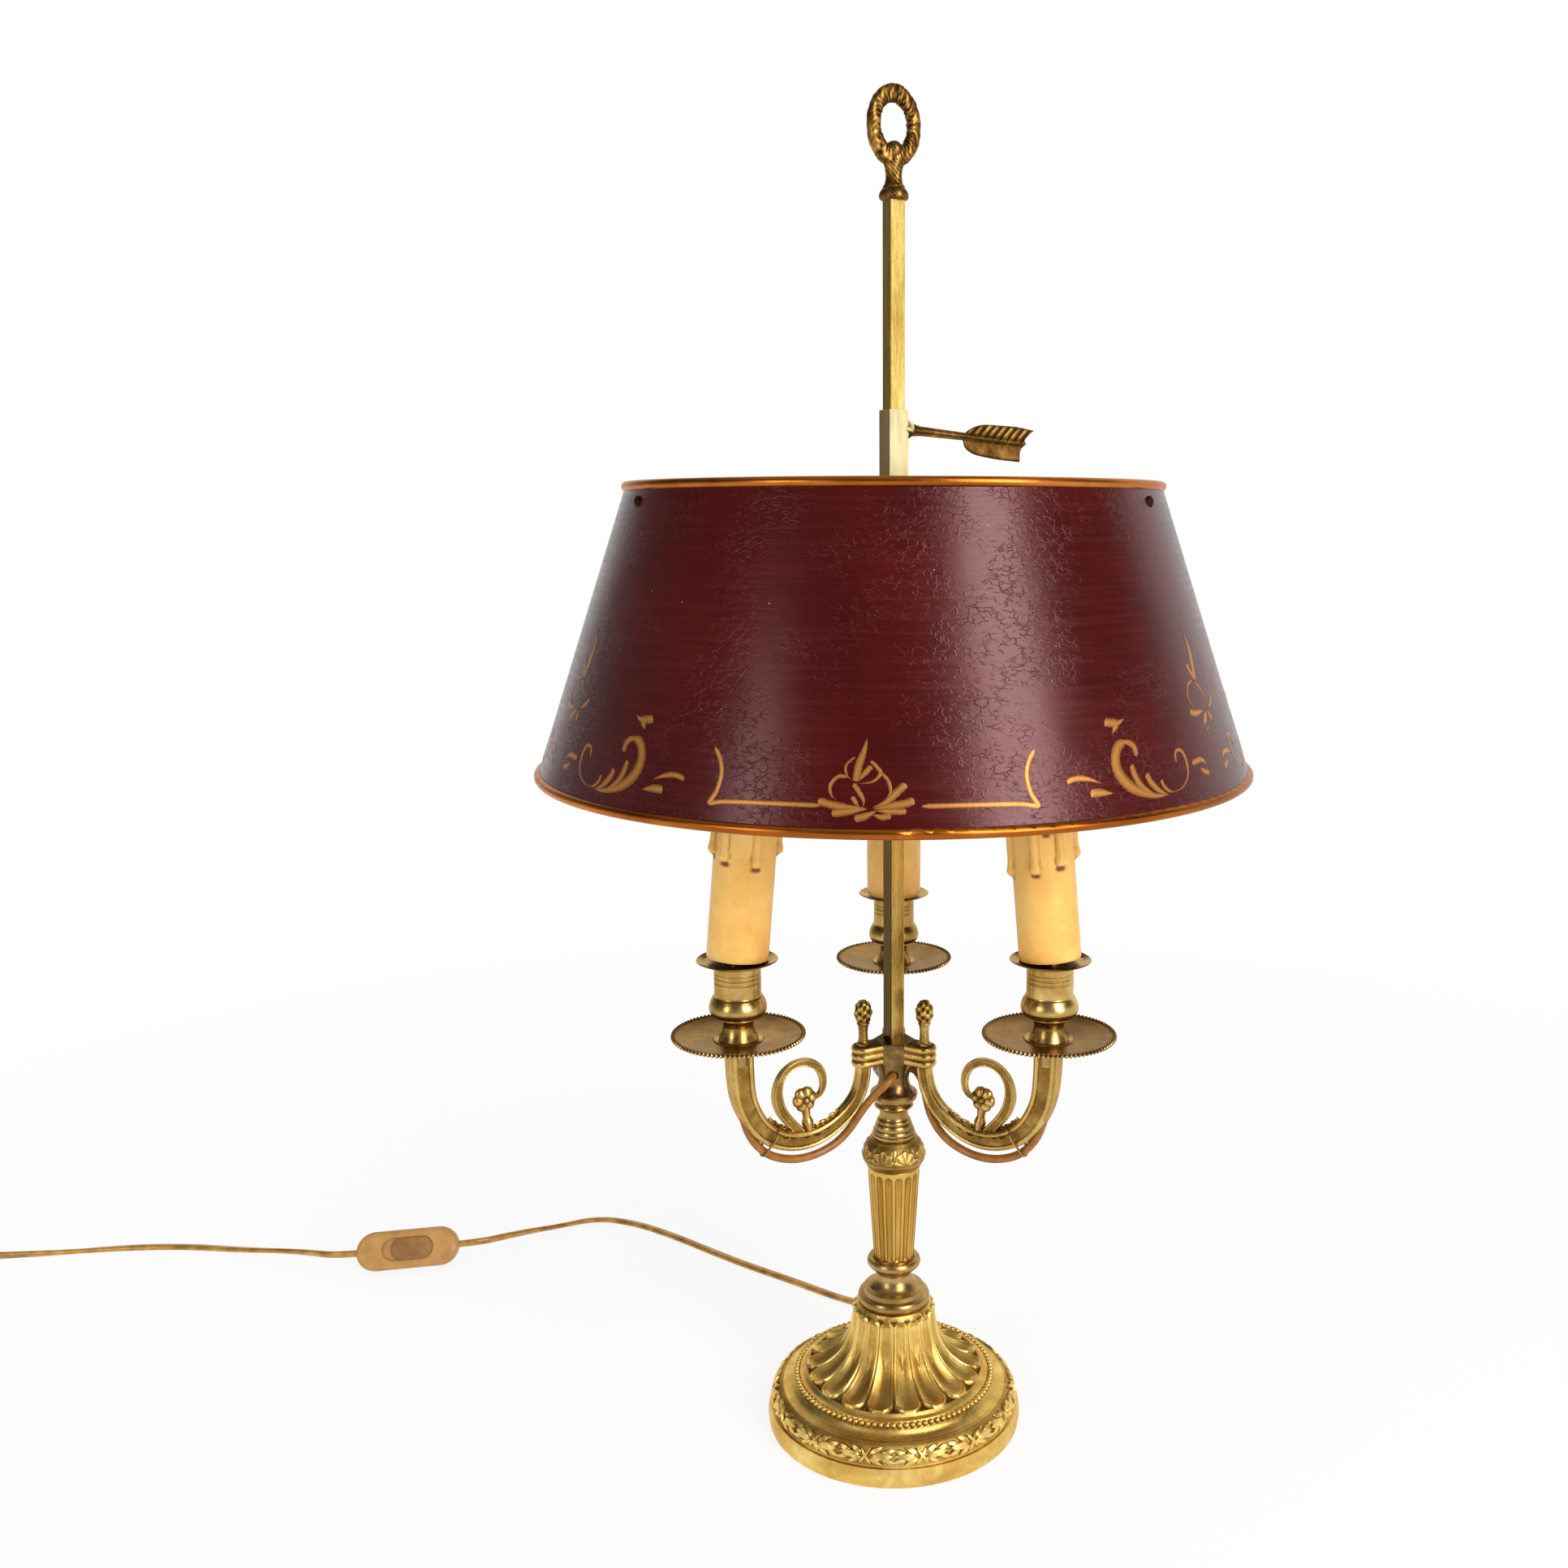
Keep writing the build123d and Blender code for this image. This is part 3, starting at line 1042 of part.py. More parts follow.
CORD_SEAT = SWITCH_LENGTH / 2 - SWITCH_CORD_DEPTH
LEAD_END = switch_end(1, CORD_SEAT)
LEAD_ENTRY = switch_end(1, SWITCH_LENGTH / 2 + CORD_STRAIGHT)
TAIL_START = switch_end(-1, CORD_SEAT)
TAIL_EXIT = switch_end(-1, SWITCH_LENGTH / 2 + CORD_STRAIGHT)
LEAD_POINTS = [
    (0.0, BUSH_FACE, EXIT_HEIGHT),
    (0.0, 85.0, EXIT_HEIGHT),
    (-8.0, 101.5, 3.6),
    (-31.0, 114.5, FLOOR_LINE),
    (-62.0, 136.5, FLOOR_LINE),
    (-103.0, 163.5, FLOOR_LINE),
    (-147.5, 198.5, FLOOR_LINE),
    (-176.0, 216.5, FLOOR_LINE),
    (-203.0, 224.3, FLOOR_LINE),
    (-227.5, 207.8, 4.0),
    (-242.0, 194.6, 7.0),
    (-254.8, 180.6, 10.4),
    (LEAD_ENTRY.X, LEAD_ENTRY.Y, LEAD_ENTRY.Z),
    (LEAD_END.X, LEAD_END.Y, LEAD_END.Z),
]
TAIL_POINTS = [
    (TAIL_START.X, TAIL_START.Y, TAIL_START.Z),
    (TAIL_EXIT.X, TAIL_EXIT.Y, TAIL_EXIT.Z),
    (-376.5, 159.2, 9.9),
    (-399.0, 169.0, 6.0),
    (-429.0, 178.0, FLOOR_LINE),
    (-464.0, 183.0, FLOOR_LINE),
    (-503.0, 182.0, FLOOR_LINE),
    (-545.0, 174.0, FLOOR_LINE),
    (-588.0, COIL_CENTRE[1] + COIL_STRAND_RADIUS, FLOOR_LINE),
    (COIL_CENTRE[0], COIL_CENTRE[1] + COIL_STRAND_RADIUS, FLOOR_LINE),
]
END_POINTS = [
    (COIL_CENTRE[0] - COIL_STRAND_RADIUS, COIL_CENTRE[1], COIL_TOP_LINE),
    (COIL_CENTRE[0] - COIL_STRAND_RADIUS, 110.0, COIL_TOP_LINE),
    (-639.0, 97.0, PLUG_THICKNESS / 2),
    (-639.0, 80.0, PLUG_THICKNESS / 2),
]
INNER_POINTS = [
    (0, BUSH_FACE, EXIT_HEIGHT),
    (0, 22.0, EXIT_HEIGHT),
    (0, 0, TUBE_BOTTOM - 17.0),
    (0, 0, WIRE_HOLE_HEIGHT - JUNCTION_HEIGHT / 2),
]


def cord(name, points, radius):
    """Plain tube of one stretch of cord; prints its corner radii, length and volume."""
    path = route(points)
    solid = tube(path, radius)
    radii = " ".join(f"{value:.0f}" for value in corner_radii(points))
    ratio = solid.volume / (math.pi * radius**2 * path.length)
    print(f"{name}: length {path.length:.1f} radii {radii} volume ratio {ratio:.4f}")
    return solid


def cord_coil():
    """Outer shape of the wound-up rest of the cord, notched where the cord joins it."""
    ring = extrude(Circle(COIL_OUTER_RADIUS) - Circle(COIL_INNER_RADIUS), COIL_HEIGHT)
    ring = Pos(COIL_CENTRE[0], COIL_CENTRE[1], 0) * ring
    half, reach = CORD_RADIUS + FLOOR_GAP, 2 * COIL_OUTER_RADIUS
    arriving = Pos(COIL_CENTRE[0], COIL_CENTRE[1] + COIL_STRAND_RADIUS - half, 0) * Box(
        reach, COIL_BAND, FLOOR_LINE + half, align=(Align.MIN, Align.MIN, Align.MIN)
    )
    leaving = Pos(COIL_CENTRE[0] - COIL_STRAND_RADIUS + half, COIL_CENTRE[1], COIL_TOP_LINE - half) * Box(
        COIL_BAND, reach, COIL_HEIGHT, align=(Align.MAX, Align.MAX, Align.MIN)
    )
    return ring - arriving - leaving


def switch_outline(length, width):
    """Rounded outline of the switch and of its recess."""
    return SlotOverall(length, width)


def switch_body():
    """Whole body of the switch in its own frame, before it is split into halves."""
    body = extrude(switch_outline(SWITCH_LENGTH, SWITCH_WIDTH), SWITCH_HEIGHT)
    ends = body.faces().sort_by(Axis.Z)
    body = fillet(ends[0].edges() + ends[-1].edges(), SWITCH_EDGE)
    body = Pos(0, 0, -SWITCH_HEIGHT / 2) * body
    for side in (-1, 1):
        entry = Rot(0, 90, 0) * Cylinder(CORD_RADIUS + 0.1, 2 * SWITCH_CORD_DEPTH)
        body -= Pos(side * SWITCH_LENGTH / 2, 0, 0) * entry
    return body


def switch_half(top):
    """Top or bottom half of the switch; the top has the recess for the slider."""
    size = SWITCH_LENGTH + 2
    align = Align.MIN if top else Align.MAX
    half = switch_body() & Box(size, size, size, align=(Align.CENTER, Align.CENTER, align))
    if top:
        floor = SWITCH_HEIGHT / 2 - RECESS_DEPTH
        half -= Pos(0, 0, floor) * extrude(switch_outline(RECESS_LENGTH, RECESS_WIDTH), RECESS_DEPTH + 1)
    return on_switch(half)


def switch_slider():
    """Sliding knob of the switch, at the lamp's end of its recess."""
    knob = extrude(switch_outline(SLIDER_LENGTH, SLIDER_WIDTH), SLIDER_HEIGHT)
    knob = chamfer(knob.faces().sort_by(Axis.Z)[-1].edges(), 0.5)
    place = (RECESS_LENGTH - SLIDER_LENGTH) / 2 - SLIDER_GAP
    floor = SWITCH_HEIGHT / 2 - RECESS_DEPTH + SLIDER_GAP
    return on_switch(Pos(place, 0, floor) * knob)


def on_plug(shape):
    """The shape moved from the plug's own frame, cord entry at the origin, to the table."""
    place = END_POINTS[-1]
    return Pos(place[0], place[1], 0) * Rot(0, 0, -90) * shape


def plug_body():
    """Flat two-pin plug body that narrows to the cord."""
    nose, half, long = PLUG_NOSE_WIDTH / 2, PLUG_WIDTH / 2, PLUG_LENGTH
    outline = Polyline(
        (0, -nose), (8, -nose - 1.5), (long - 13, -half), (long, -half),
        (long, half), (long - 13, half), (8, nose + 1.5), (0, nose), close=True,
    )
    body = extrude(make_face(outline), PLUG_THICKNESS)
    sides = body.faces().sort_by(Axis.Z)
    body = fillet(sides[0].edges() + sides[-1].edges(), PLUG_EDGE)
    for side in (-1, 1):
        seat = Pos(long - PIN_ROOT, side * PIN_SPACING / 2, PLUG_THICKNESS / 2) * Rot(0, 90, 0) * Cylinder(
            PIN_ROOT_RADIUS + FIT_GAP, PIN_ROOT + 1, align=(Align.CENTER, Align.CENTER, Align.MIN)
        )
        body -= seat
    return on_plug(body)


def plug_pins():
    """The two round contact pins."""
    pins = []
    for side in (-1, 1):
        pin = extrude(Circle(PIN_RADIUS), PIN_LENGTH)
        pin = chamfer(pin.edges().filter_by(GeomType.CIRCLE).sort_by(Axis.Z)[-1], PIN_TIP)
        pin += extrude(Circle(PIN_ROOT_RADIUS), -PIN_ROOT)
        place = Pos(PLUG_LENGTH, side * PIN_SPACING / 2, PLUG_THICKNESS / 2)
        pins.append(on_plug(place * Rot(0, 90, 0) * pin))
    return Compound(children=pins)


# ------------------------------------------------------------------ assembly

parts["base_casting"] = base_casting()
parts["base_felt"] = base_felt()
parts["base_nut"] = base_nut()
parts["threaded_tube"] = threaded_tube()
parts["spool"] = spool()
parts["fluted_shaft"] = fluted_shaft()
parts["leaf_cap"] = leaf_cap()
parts["turned_collar"] = turned_collar()
parts["wire_neck"] = wire_neck()
parts["junction_block"] = junction_block()
parts["arm_hub"] = arm_hub()

ONE_OF_EACH_ARM = {
    "arm": arm(),
    "drip_pan": drip_pan(),
    "candle_cup": candle_cup(),
    "bobeche": bobeche(),
    "candle_sleeve": candle_sleeve(),
    "lamp_holder": lamp_holder(),
    "bulb_cap": bulb_cap(),
    "bulb_glass": bulb_glass(),
    "arm_wire": tube(wire_path(), WIRE_RADIUS),
}
for place, azimuth in ARM_AZIMUTH.items():
    for name, shape in ONE_OF_EACH_ARM.items():
        parts[f"{name}_{place}"] = around(shape, azimuth)

SHARED_BY_ARMS = {
    "holder_nipples": holder_nipple(),
    "wire_ties": wire_tie(),
    "shade_screws": shade_screw(),
}
for name, shape in SHARED_BY_ARMS.items():
    parts[name] = Compound(children=[around(shape, azimuth) for azimuth in ARM_AZIMUTH.values()])

parts["square_rod"] = square_rod()
parts["ring_finial"] = ring_finial()
parts["shade_sleeve"] = shade_sleeve()
parts["arrow_key"] = arrow_key()
parts["shade_spider"] = shade_spider()
parts["shade_shell"] = shade_shell()
parts["top_rim"] = shade_rim(SHADE_TOP_RADIUS, SHADE_TOP_HEIGHT)
parts["bottom_rim"] = shade_rim(SHADE_BOTTOM_RADIUS, SHADE_BOTTOM_HEIGHT)

parts["cord_bushing"] = bushing()
parts["inner_cable"] = cord("inner_cable", INNER_POINTS, CORD_RADIUS)
parts["cord_lead"] = cord("cord_lead", LEAD_POINTS, CORD_RADIUS)
parts["cord_tail"] = cord("cord_tail", TAIL_POINTS, CORD_RADIUS)
parts["cord_coil"] = cord_coil()
parts["cord_end"] = cord("cord_end", END_POINTS, CORD_RADIUS)
parts["switch_top"] = switch_half(True)
parts["switch_bottom"] = switch_half(False)
parts["switch_slider"] = switch_slider()
parts["plug_body"] = plug_body()
parts["plug_pins"] = plug_pins()

os.makedirs("parts", exist_ok=True)
for name, shape in parts.items():
    export_step(shape, f"parts/{name}.step")
print(len(parts), "sub-parts")
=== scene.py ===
# %% [markdown]
# # A bouillotte lamp in brass, lacquer and wax
#
# The lamp is an assembly: a cast base, a turned and fluted column, three cast arms with
# candle cups, a square rod, and a painted metal shade that slides on the rod. The parts
# whose shape is plain stay as they are and get a finish. The parts that are carved, beaded
# or dripped get a richer mesh that stands in for the plain one.

# %% load the machined parts
import json
import math

import bmesh
import bpy
from mathutils import Matrix, Vector

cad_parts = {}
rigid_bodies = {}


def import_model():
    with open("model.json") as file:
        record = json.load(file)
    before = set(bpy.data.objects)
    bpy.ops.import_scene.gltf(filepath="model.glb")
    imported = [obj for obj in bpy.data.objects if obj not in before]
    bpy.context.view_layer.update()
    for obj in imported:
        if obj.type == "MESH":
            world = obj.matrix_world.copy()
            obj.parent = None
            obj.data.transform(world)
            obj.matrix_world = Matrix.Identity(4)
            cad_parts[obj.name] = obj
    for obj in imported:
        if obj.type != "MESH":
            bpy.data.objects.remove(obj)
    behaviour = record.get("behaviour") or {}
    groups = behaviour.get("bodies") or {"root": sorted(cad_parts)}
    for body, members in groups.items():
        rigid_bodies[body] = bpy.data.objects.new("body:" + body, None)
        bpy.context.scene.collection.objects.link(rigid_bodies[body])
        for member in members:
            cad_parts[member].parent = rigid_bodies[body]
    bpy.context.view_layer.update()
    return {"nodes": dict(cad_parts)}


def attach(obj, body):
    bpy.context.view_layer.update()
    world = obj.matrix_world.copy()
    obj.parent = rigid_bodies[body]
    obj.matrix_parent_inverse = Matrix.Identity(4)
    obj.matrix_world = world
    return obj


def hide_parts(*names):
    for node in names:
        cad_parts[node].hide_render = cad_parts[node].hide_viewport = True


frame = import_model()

nodes = frame["nodes"]
print("machined parts:", len(nodes))

# %% [markdown]
# ## Small tools
#
# Sizes are easier to read in millimetres, and Blender's unit is the metre, so one factor
# turns one into the other. Every operator acts on whatever is selected, so each tool first
# clears the selection and then picks its own object. A finished piece keeps its object at
# the origin and its place in its mesh, so that patterns in object coordinates stay put.

# %% units, selection and finishing
MM = 0.001


def mm(*values):
    """Millimetres to metres, as a vector when three are given."""
    return Vector(values) * MM if len(values) == 3 else values[0] * MM


def pick(*objects):
    """Leaves object mode and selects only these objects; the first is the active one."""
    if bpy.context.object and bpy.context.object.mode != "OBJECT":
        bpy.ops.object.mode_set(mode="OBJECT")
    bpy.ops.object.select_all(action="DESELECT")
    for item in objects:
        item.select_set(True)
    bpy.context.view_layer.objects.active = objects[0]


def linked(name, data):
    """A new object in the scene that shows the data."""
    made = bpy.data.objects.new(name, data)
    bpy.context.scene.collection.objects.link(made)
    return made


def fresh(operator, **settings):
    """A new primitive, made with nothing else selected."""
    bpy.ops.object.select_all(action="DESELECT")
    operator(**settings)
    return bpy.context.object


def settle(piece):
    """Moves the object's own place and turn into its mesh."""
    pick(piece)
    bpy.ops.object.transform_apply(location=True, rotation=True, scale=True)
    return piece


def apply_modifier(piece, kind, **settings):
    """Adds a modifier with its settings and applies it to the mesh."""
    pick(piece)
    modifier = piece.modifiers.new(kind.title(), kind)
    for key, value in settings.items():
        setattr(modifier, key, value)
    bpy.ops.object.modifier_apply(modifier=modifier.name)
    return piece


def join(name, *pieces):
    """Joins pieces into the first one and names it."""
    pick(*pieces)
    if len(pieces) > 1:
        bpy.ops.object.join()
    made = bpy.context.object
    made.name = made.data.name = name
    return made


def twin(piece, name):
    """A copy with a mesh of its own."""
    copy = linked(name, piece.data.copy())
    copy.data.name = name
    return copy


def spun_about(piece, azimuth, name):
    """A copy turned about the lamp's axis, with the turn in its mesh."""
    copy = twin(piece, name)
    copy.data.transform(Matrix.Rotation(math.radians(azimuth), 4, "Z"))
    return copy


# %% [markdown]
# ## Camera
#
# The lamp is seen from the front at about the height of its shade, a little from above, with
# an ordinary short lens. The sideways shift keeps the lamp right of the middle, so that the
# cord and its switch have room on the left.

# %% camera
EYE = (0.0, -0.7435, 0.4754)
LOOK_DOWN = 79.97
LENS = 34.64
SIDE_SHIFT = -0.0700

camera_data = bpy.data.cameras.new("camera")
camera_data.sensor_width = 36.0
camera_data.lens = LENS
camera_data.shift_x = SIDE_SHIFT
camera = linked("camera", camera_data)
camera.location = EYE
camera.rotation_euler = (math.radians(LOOK_DOWN), 0, 0)
bpy.context.scene.camera = camera
print("camera", EYE, "lens", LENS)

# %% [markdown]
# ## The flat twin cord
#
# A lamp cord is two cores side by side in one sheath, about 5 mm wide and 3 mm thick. It is
# stiff across its width and soft across its thickness, so it lies flat on a table, and stands
# on edge where it is wound. A NURBS curve with few control points gives the slow, even bends
# of a real cord. A small closed curve is its cross-section, and each control point's tilt
# turns the section about the line.

# %% cross-section of the cord
CORD_WIDTH = 5.0
CORD_THICKNESS = 3.1
GROOVE = 0.75


def closed_outline(name, points, scale):
    """A closed flat curve through the points, used as a cross-section."""
    data = bpy.data.curves.new(name, "CURVE")
    data.dimensions = "2D"
    spline = data.splines.new("POLY")
    spline.points.add(len(points) - 1)
    for place, (x, y) in zip(spline.points, points):
        place.co = (x * scale, y * scale, 0, 1)
    spline.use_cyclic_u = True
    made = linked(name, data)
    made.hide_render = True
    return made


core_radius = CORD_THICKNESS / 2
core_offset = CORD_WIDTH / 2 - core_radius
twin_outline = []
for step in range(24):
    angle = 2 * math.pi * (step + 0.5) / 24
    side = 1 if math.cos(angle) > 0 else -1
    x = side * core_offset + core_radius * math.cos(angle)
    y = core_radius * math.sin(angle)
    if abs(x) < core_offset * 0.6:
        y = math.copysign(core_radius * GROOVE, y)
    twin_outline.append((x, y))
# drawn one unit to half the cord's width: the radius of the cord's points gives the real size
cord_section = closed_outline("cord_section", twin_outline, 2 / CORD_WIDTH)

# %% [markdown]
# ## Where the cord lies
#
# The cord leaves the back of the base, drops to the table, runs in slow bends to the in-line
# switch and on past it. What is left of its 1.8 m is wound into a neat coil of two layers,
# with the plug beside it. The route's points are the ones of the machined cord, in metres.
# Each point carries a tilt: none where the cord lies flat, a right angle where it is wound,
# and the switch's own lean where the switch holds it.

# %% routes
SWITCH_LEAN = 62.0
TABLE_FLAT = 0.0018
lead_route = [
    ((0.0, 0.0693, 0.007), 0),
    ((0.0, 0.085, 0.007), 0),
    ((-0.008, 0.1015, 0.0036), 0),
    ((-0.031, 0.1145, TABLE_FLAT), 0),
    ((-0.062, 0.1365, TABLE_FLAT), 0),
    ((-0.103, 0.1635, TABLE_FLAT), 0),
    ((-0.1475, 0.1985, TABLE_FLAT), 0),
    ((-0.176, 0.2165, TABLE_FLAT), 0),
    ((-0.203, 0.2243, TABLE_FLAT), 10),
    ((-0.2275, 0.2078, 0.0036), 25),
    ((-0.242, 0.1946, 0.007), 45),
    ((-0.2548, 0.1806, 0.0104), 60),
    ((-0.2684, 0.16855, 0.01247), SWITCH_LEAN),
    ((-0.2840, 0.1652, 0.01247), SWITCH_LEAN),
]
COIL_MIDDLE = (-0.614, 0.136)
COIL_OUTER = 0.0325
COIL_INNER = 0.0225
LAYER_LOW = 0.0026
LAYER_HIGH = 0.0077
TURNS = 6.25
POINTS_PER_TURN = 14
ON_EDGE = 90
tail_route = [
    ((-0.3398, 0.1534, 0.01247), SWITCH_LEAN),
    ((-0.3554, 0.15005, 0.01247), SWITCH_LEAN),
    ((-0.3765, 0.1592, 0.0099), 50),
    ((-0.399, 0.169, 0.006), 30),
    ((-0.429, 0.178, 0.0022), 10),
    ((-0.464, 0.183, TABLE_FLAT), 0),
    ((-0.503, 0.182, TABLE_FLAT), 0),
    ((-0.545, 0.174, 0.0021), 35),
    ((-0.588, 0.1685, LAYER_LOW), 75),
]
coil_points = round(TURNS * POINTS_PER_TURN)
for index in range(coil_points + 1):
    share = index / coil_points
    angle = math.radians(90) + share * TURNS * 2 * math.pi
    inward = 1 - abs(2 * share - 1)
    reach = COIL_OUTER - (COIL_OUTER - COIL_INNER) * inward
    climb = min(max((share - 0.42) / 0.16, 0), 1)
    height = LAYER_LOW + (LAYER_HIGH - LAYER_LOW) * climb
    place = (
        COIL_MIDDLE[0] + reach * math.cos(angle),
        COIL_MIDDLE[1] + reach * math.sin(angle),
        height,
    )
    tail_route.append((place, ON_EDGE))
tail_route += [
    ((-0.6465, 0.110, LAYER_HIGH), ON_EDGE),
    ((-0.639, 0.097, 0.00685), 45),
    ((-0.639, 0.080, 0.00685), 0),
]


def nurbs_line(name, places, resolution):
    """Curve data with one smooth NURBS line, and its control points."""
    data = bpy.data.curves.new(name, "CURVE")
    data.dimensions = "3D"
    data.resolution_u = resolution
    spline = data.splines.new("NURBS")
    spline.points.add(len(places) - 1)
    for control, place in zip(spline.points, places):
        control.co = (*place, 1)
    spline.order_u = 3
    spline.use_endpoint_u = True
    return data, spline.points


def laid_cord(name, route, section):
    """A cord along the route, its section turned by each point's tilt."""
    data, controls = nurbs_line(name, [place for place, tilt in route], 6)
    data.twist_mode = "Z_UP"
    for control, (place, tilt) in zip(controls, route):
        control.tilt = math.radians(tilt)
        control.radius = mm(CORD_WIDTH / 2)
    data.bevel_mode = "OBJECT"
    data.bevel_object = section
    data.use_fill_caps = True
    return linked(name, data)


cord_to_switch = laid_cord("cord_to_switch", lead_route, cord_section)
cord_to_plug = laid_cord("cord_to_plug", tail_route, cord_section)

# %% [markdown]
# ## Strain reliefs
#
# Where a cord leaves a hard edge it would break in time, so a tapered rubber sleeve shares
# the bend out. A cone is pulled out of a cylinder in edit mode, with a few rings cut round
# it, as the moulded ribs of a real sleeve.


# %% tapered sleeves
def strain_relief(name, base, direction, length, wide, narrow):
    """A ribbed tapered sleeve from a point along a direction."""
    rings = 8
    piece = fresh(
        bpy.ops.mesh.primitive_circle_add, vertices=28, radius=mm(wide), fill_type="NGON"
    )
    bpy.ops.object.mode_set(mode="EDIT")
    for ring in range(rings):
        share = (ring + 1) / rings
        radius = wide + (narrow - wide) * share
        last = wide + (narrow - wide) * ring / rings
        for step, factor in ((0.55, 1.0), (0.45, 0.9 if ring < rings - 1 else 1.0)):
            bpy.ops.mesh.extrude_region_move(
                TRANSFORM_OT_translate={"value": (0, 0, mm(length / rings * step))}
            )
            scale = radius * factor / last
            bpy.ops.transform.resize(value=(scale, scale, 1))
            last = radius * factor
    bpy.ops.object.mode_set(mode="OBJECT")
    turn = Vector((0, 0, 1)).rotation_difference(Vector(direction)).to_matrix().to_4x4()
    piece.matrix_world = Matrix.Translation(base) @ turn
    piece.name = piece.data.name = name
    settle(piece)
    apply_modifier(piece, "BEVEL", width=mm(0.25), segments=2, limit_method="ANGLE")
    return piece


base_relief = strain_relief("base_strain_relief", (0, 0.0690, 0.007), (0, 1, 0), 21, 4.4, 3.1)
plug_relief = strain_relief(
    "plug_strain_relief", (-0.639, 0.0795, 0.00685), (0, 1, 0), 20, 4.4, 3.1
)

for cord in (cord_to_switch, cord_to_plug):
    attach(cord, "frame")
for relief in (base_relief, plug_relief):
    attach(relief, "frame")
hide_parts("cord_lead")
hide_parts("cord_tail", "cord_coil", "cord_end")

# %% [markdown]
# ## Outlines, lathes and lofts
#
# Most of the lamp was turned on a lathe or cast round one. An outline is drawn as straight
# and flowing runs of (radius, height), and the Spin operator sweeps it about the lamp's axis.
# Bars that bend and change their thickness are lofted instead: rings of points are set
# square to a centre line and joined by faces, which an edit-mode extrude can't taper evenly.


# %% outline, lathe and loft tools
def flowing(points, spacing):
    """Even samples of a smooth line through the points."""
    line = [Vector(point) for point in points]
    line = [2 * line[0] - line[1], *line, 2 * line[-1] - line[-2]]
    samples = []
    for before, here, there, after in zip(line, line[1:], line[2:], line[3:]):
        steps = max(1, math.ceil((there - here).length / spacing))
        for step in range(steps):
            t = step / steps
            samples.append(
                0.5
                * (
                    2 * here
                    + (there - before) * t
                    + (2 * before - 5 * here + 4 * there - after) * t * t
                    + (3 * here - before - 3 * there + after) * t**3
                )
            )
    return samples + [line[-2]]


def outline(*runs, spacing=0.8):
    """Joins runs of (radius, height) in mm, each carried on from the end of the last one.

    One more point makes a straight line, and several make a flowing curve."""
    samples = []
    for run in runs:
        if samples and Vector(run[0]) != samples[-1]:
            run = [samples[-1], *run]
        part = flowing(run, spacing)
        samples += part if not samples else part[1:]
    return samples


def heading_at(line, index):
    """The way a line runs at one of its points."""
    return (line[min(index + 1, len(line) - 1)] - line[max(index - 1, 0)]).normalized()


def empty_piece(name):
    """A new mesh object in the scene."""
    return linked(name, bpy.data.meshes.new(name))


def travel_along(line):
    """How far each point of a line is from its start, measured along the line."""
    way = [0.0]
    for here, there in zip(line, line[1:]):
        way.append(way[-1] + (there - here).length)
    return way


def keep_values(piece, name, values):
    """Keeps a 0 to 1 value on each vertex, for a material to read."""
    kept = piece.data.attributes.new(name, "FLOAT", "POINT")
    kept.data.foreach_set("value", [min(max(value, 0.0), 1.0) for value in values])


def bridge(net, low, high):
    """Joins two rows of vertices with a strip of faces."""
    for index in range(len(low) - 1):
        net.faces.new((low[index], low[index + 1], high[index + 1], high[index]))


def write_net(net, piece):
    """Turns the net's faces outward and writes it into the piece's mesh."""
    bmesh.ops.recalc_face_normals(net, faces=net.faces)
    net.to_mesh(piece.data)
    net.free()


def lathe(name, line, steps, closed=False):
    """Spins an outline in mm about the lamp's axis and closes its poles."""
    piece = empty_piece(name)
    points = [(radius * MM, 0, height * MM) for radius, height in line]
    edges = [(index, index + 1) for index in range(len(points) - 1)]
    if closed:
        edges.append((len(points) - 1, 0))
    piece.data.from_pydata(points, edges, [])
    pick(piece)
    bpy.ops.object.mode_set(mode="EDIT")
    bpy.ops.mesh.select_all(action="SELECT")
    bpy.ops.mesh.spin(steps=steps, angle=2 * math.pi, center=(0, 0, 0), axis=(0, 0, 1))
    bpy.ops.mesh.select_all(action="SELECT")
    bpy.ops.mesh.remove_doubles(threshold=2e-6)
    bpy.ops.mesh.normals_make_consistent(inside=False)
    bpy.ops.object.mode_set(mode="OBJECT")
    return piece


def lofted(name, rings, ends=True, round_trip=False):
    """Joins rings of as many points each into one skin; the ends are closed if asked."""
    piece = empty_piece(name)
    net = bmesh.new()
    rows = [[net.verts.new(point) for point in ring] for ring in rings]
    pairs = list(zip(rows, rows[1:]))
    if round_trip:
        pairs.append((rows[-1], rows[0]))
    for low, high in pairs:
        bridge(net, low + low[:1], high + high[:1])
    if ends and not round_trip:
        net.faces.new(rows[0])
        net.faces.new(rows[-1])
    write_net(net, piece)
    return piece


def smooth(piece, degrees=35):
    """Smooth shading that keeps edges sharper than the angle."""
    pick(piece)
    bpy.ops.object.shade_smooth_by_angle(angle=math.radians(degrees))
    return piece


def step_up(low, high, value):
    """0 below low, 1 above high, and a soft rise between."""
    share = min(max((value - low) / (high - low), 0.0), 1.0)
    return share * share * (3 - 2 * share)


def turn_of(place):
    """Radius and angle of a place about the lamp's axis."""
    return math.hypot(place.x, place.y), math.atan2(place.y, place.x)


def within(turn, count):
    """Where an angle falls in one of 'count' equal sectors, from 0 to 1."""
    return (math.degrees(turn) / (360 / count)) % 1


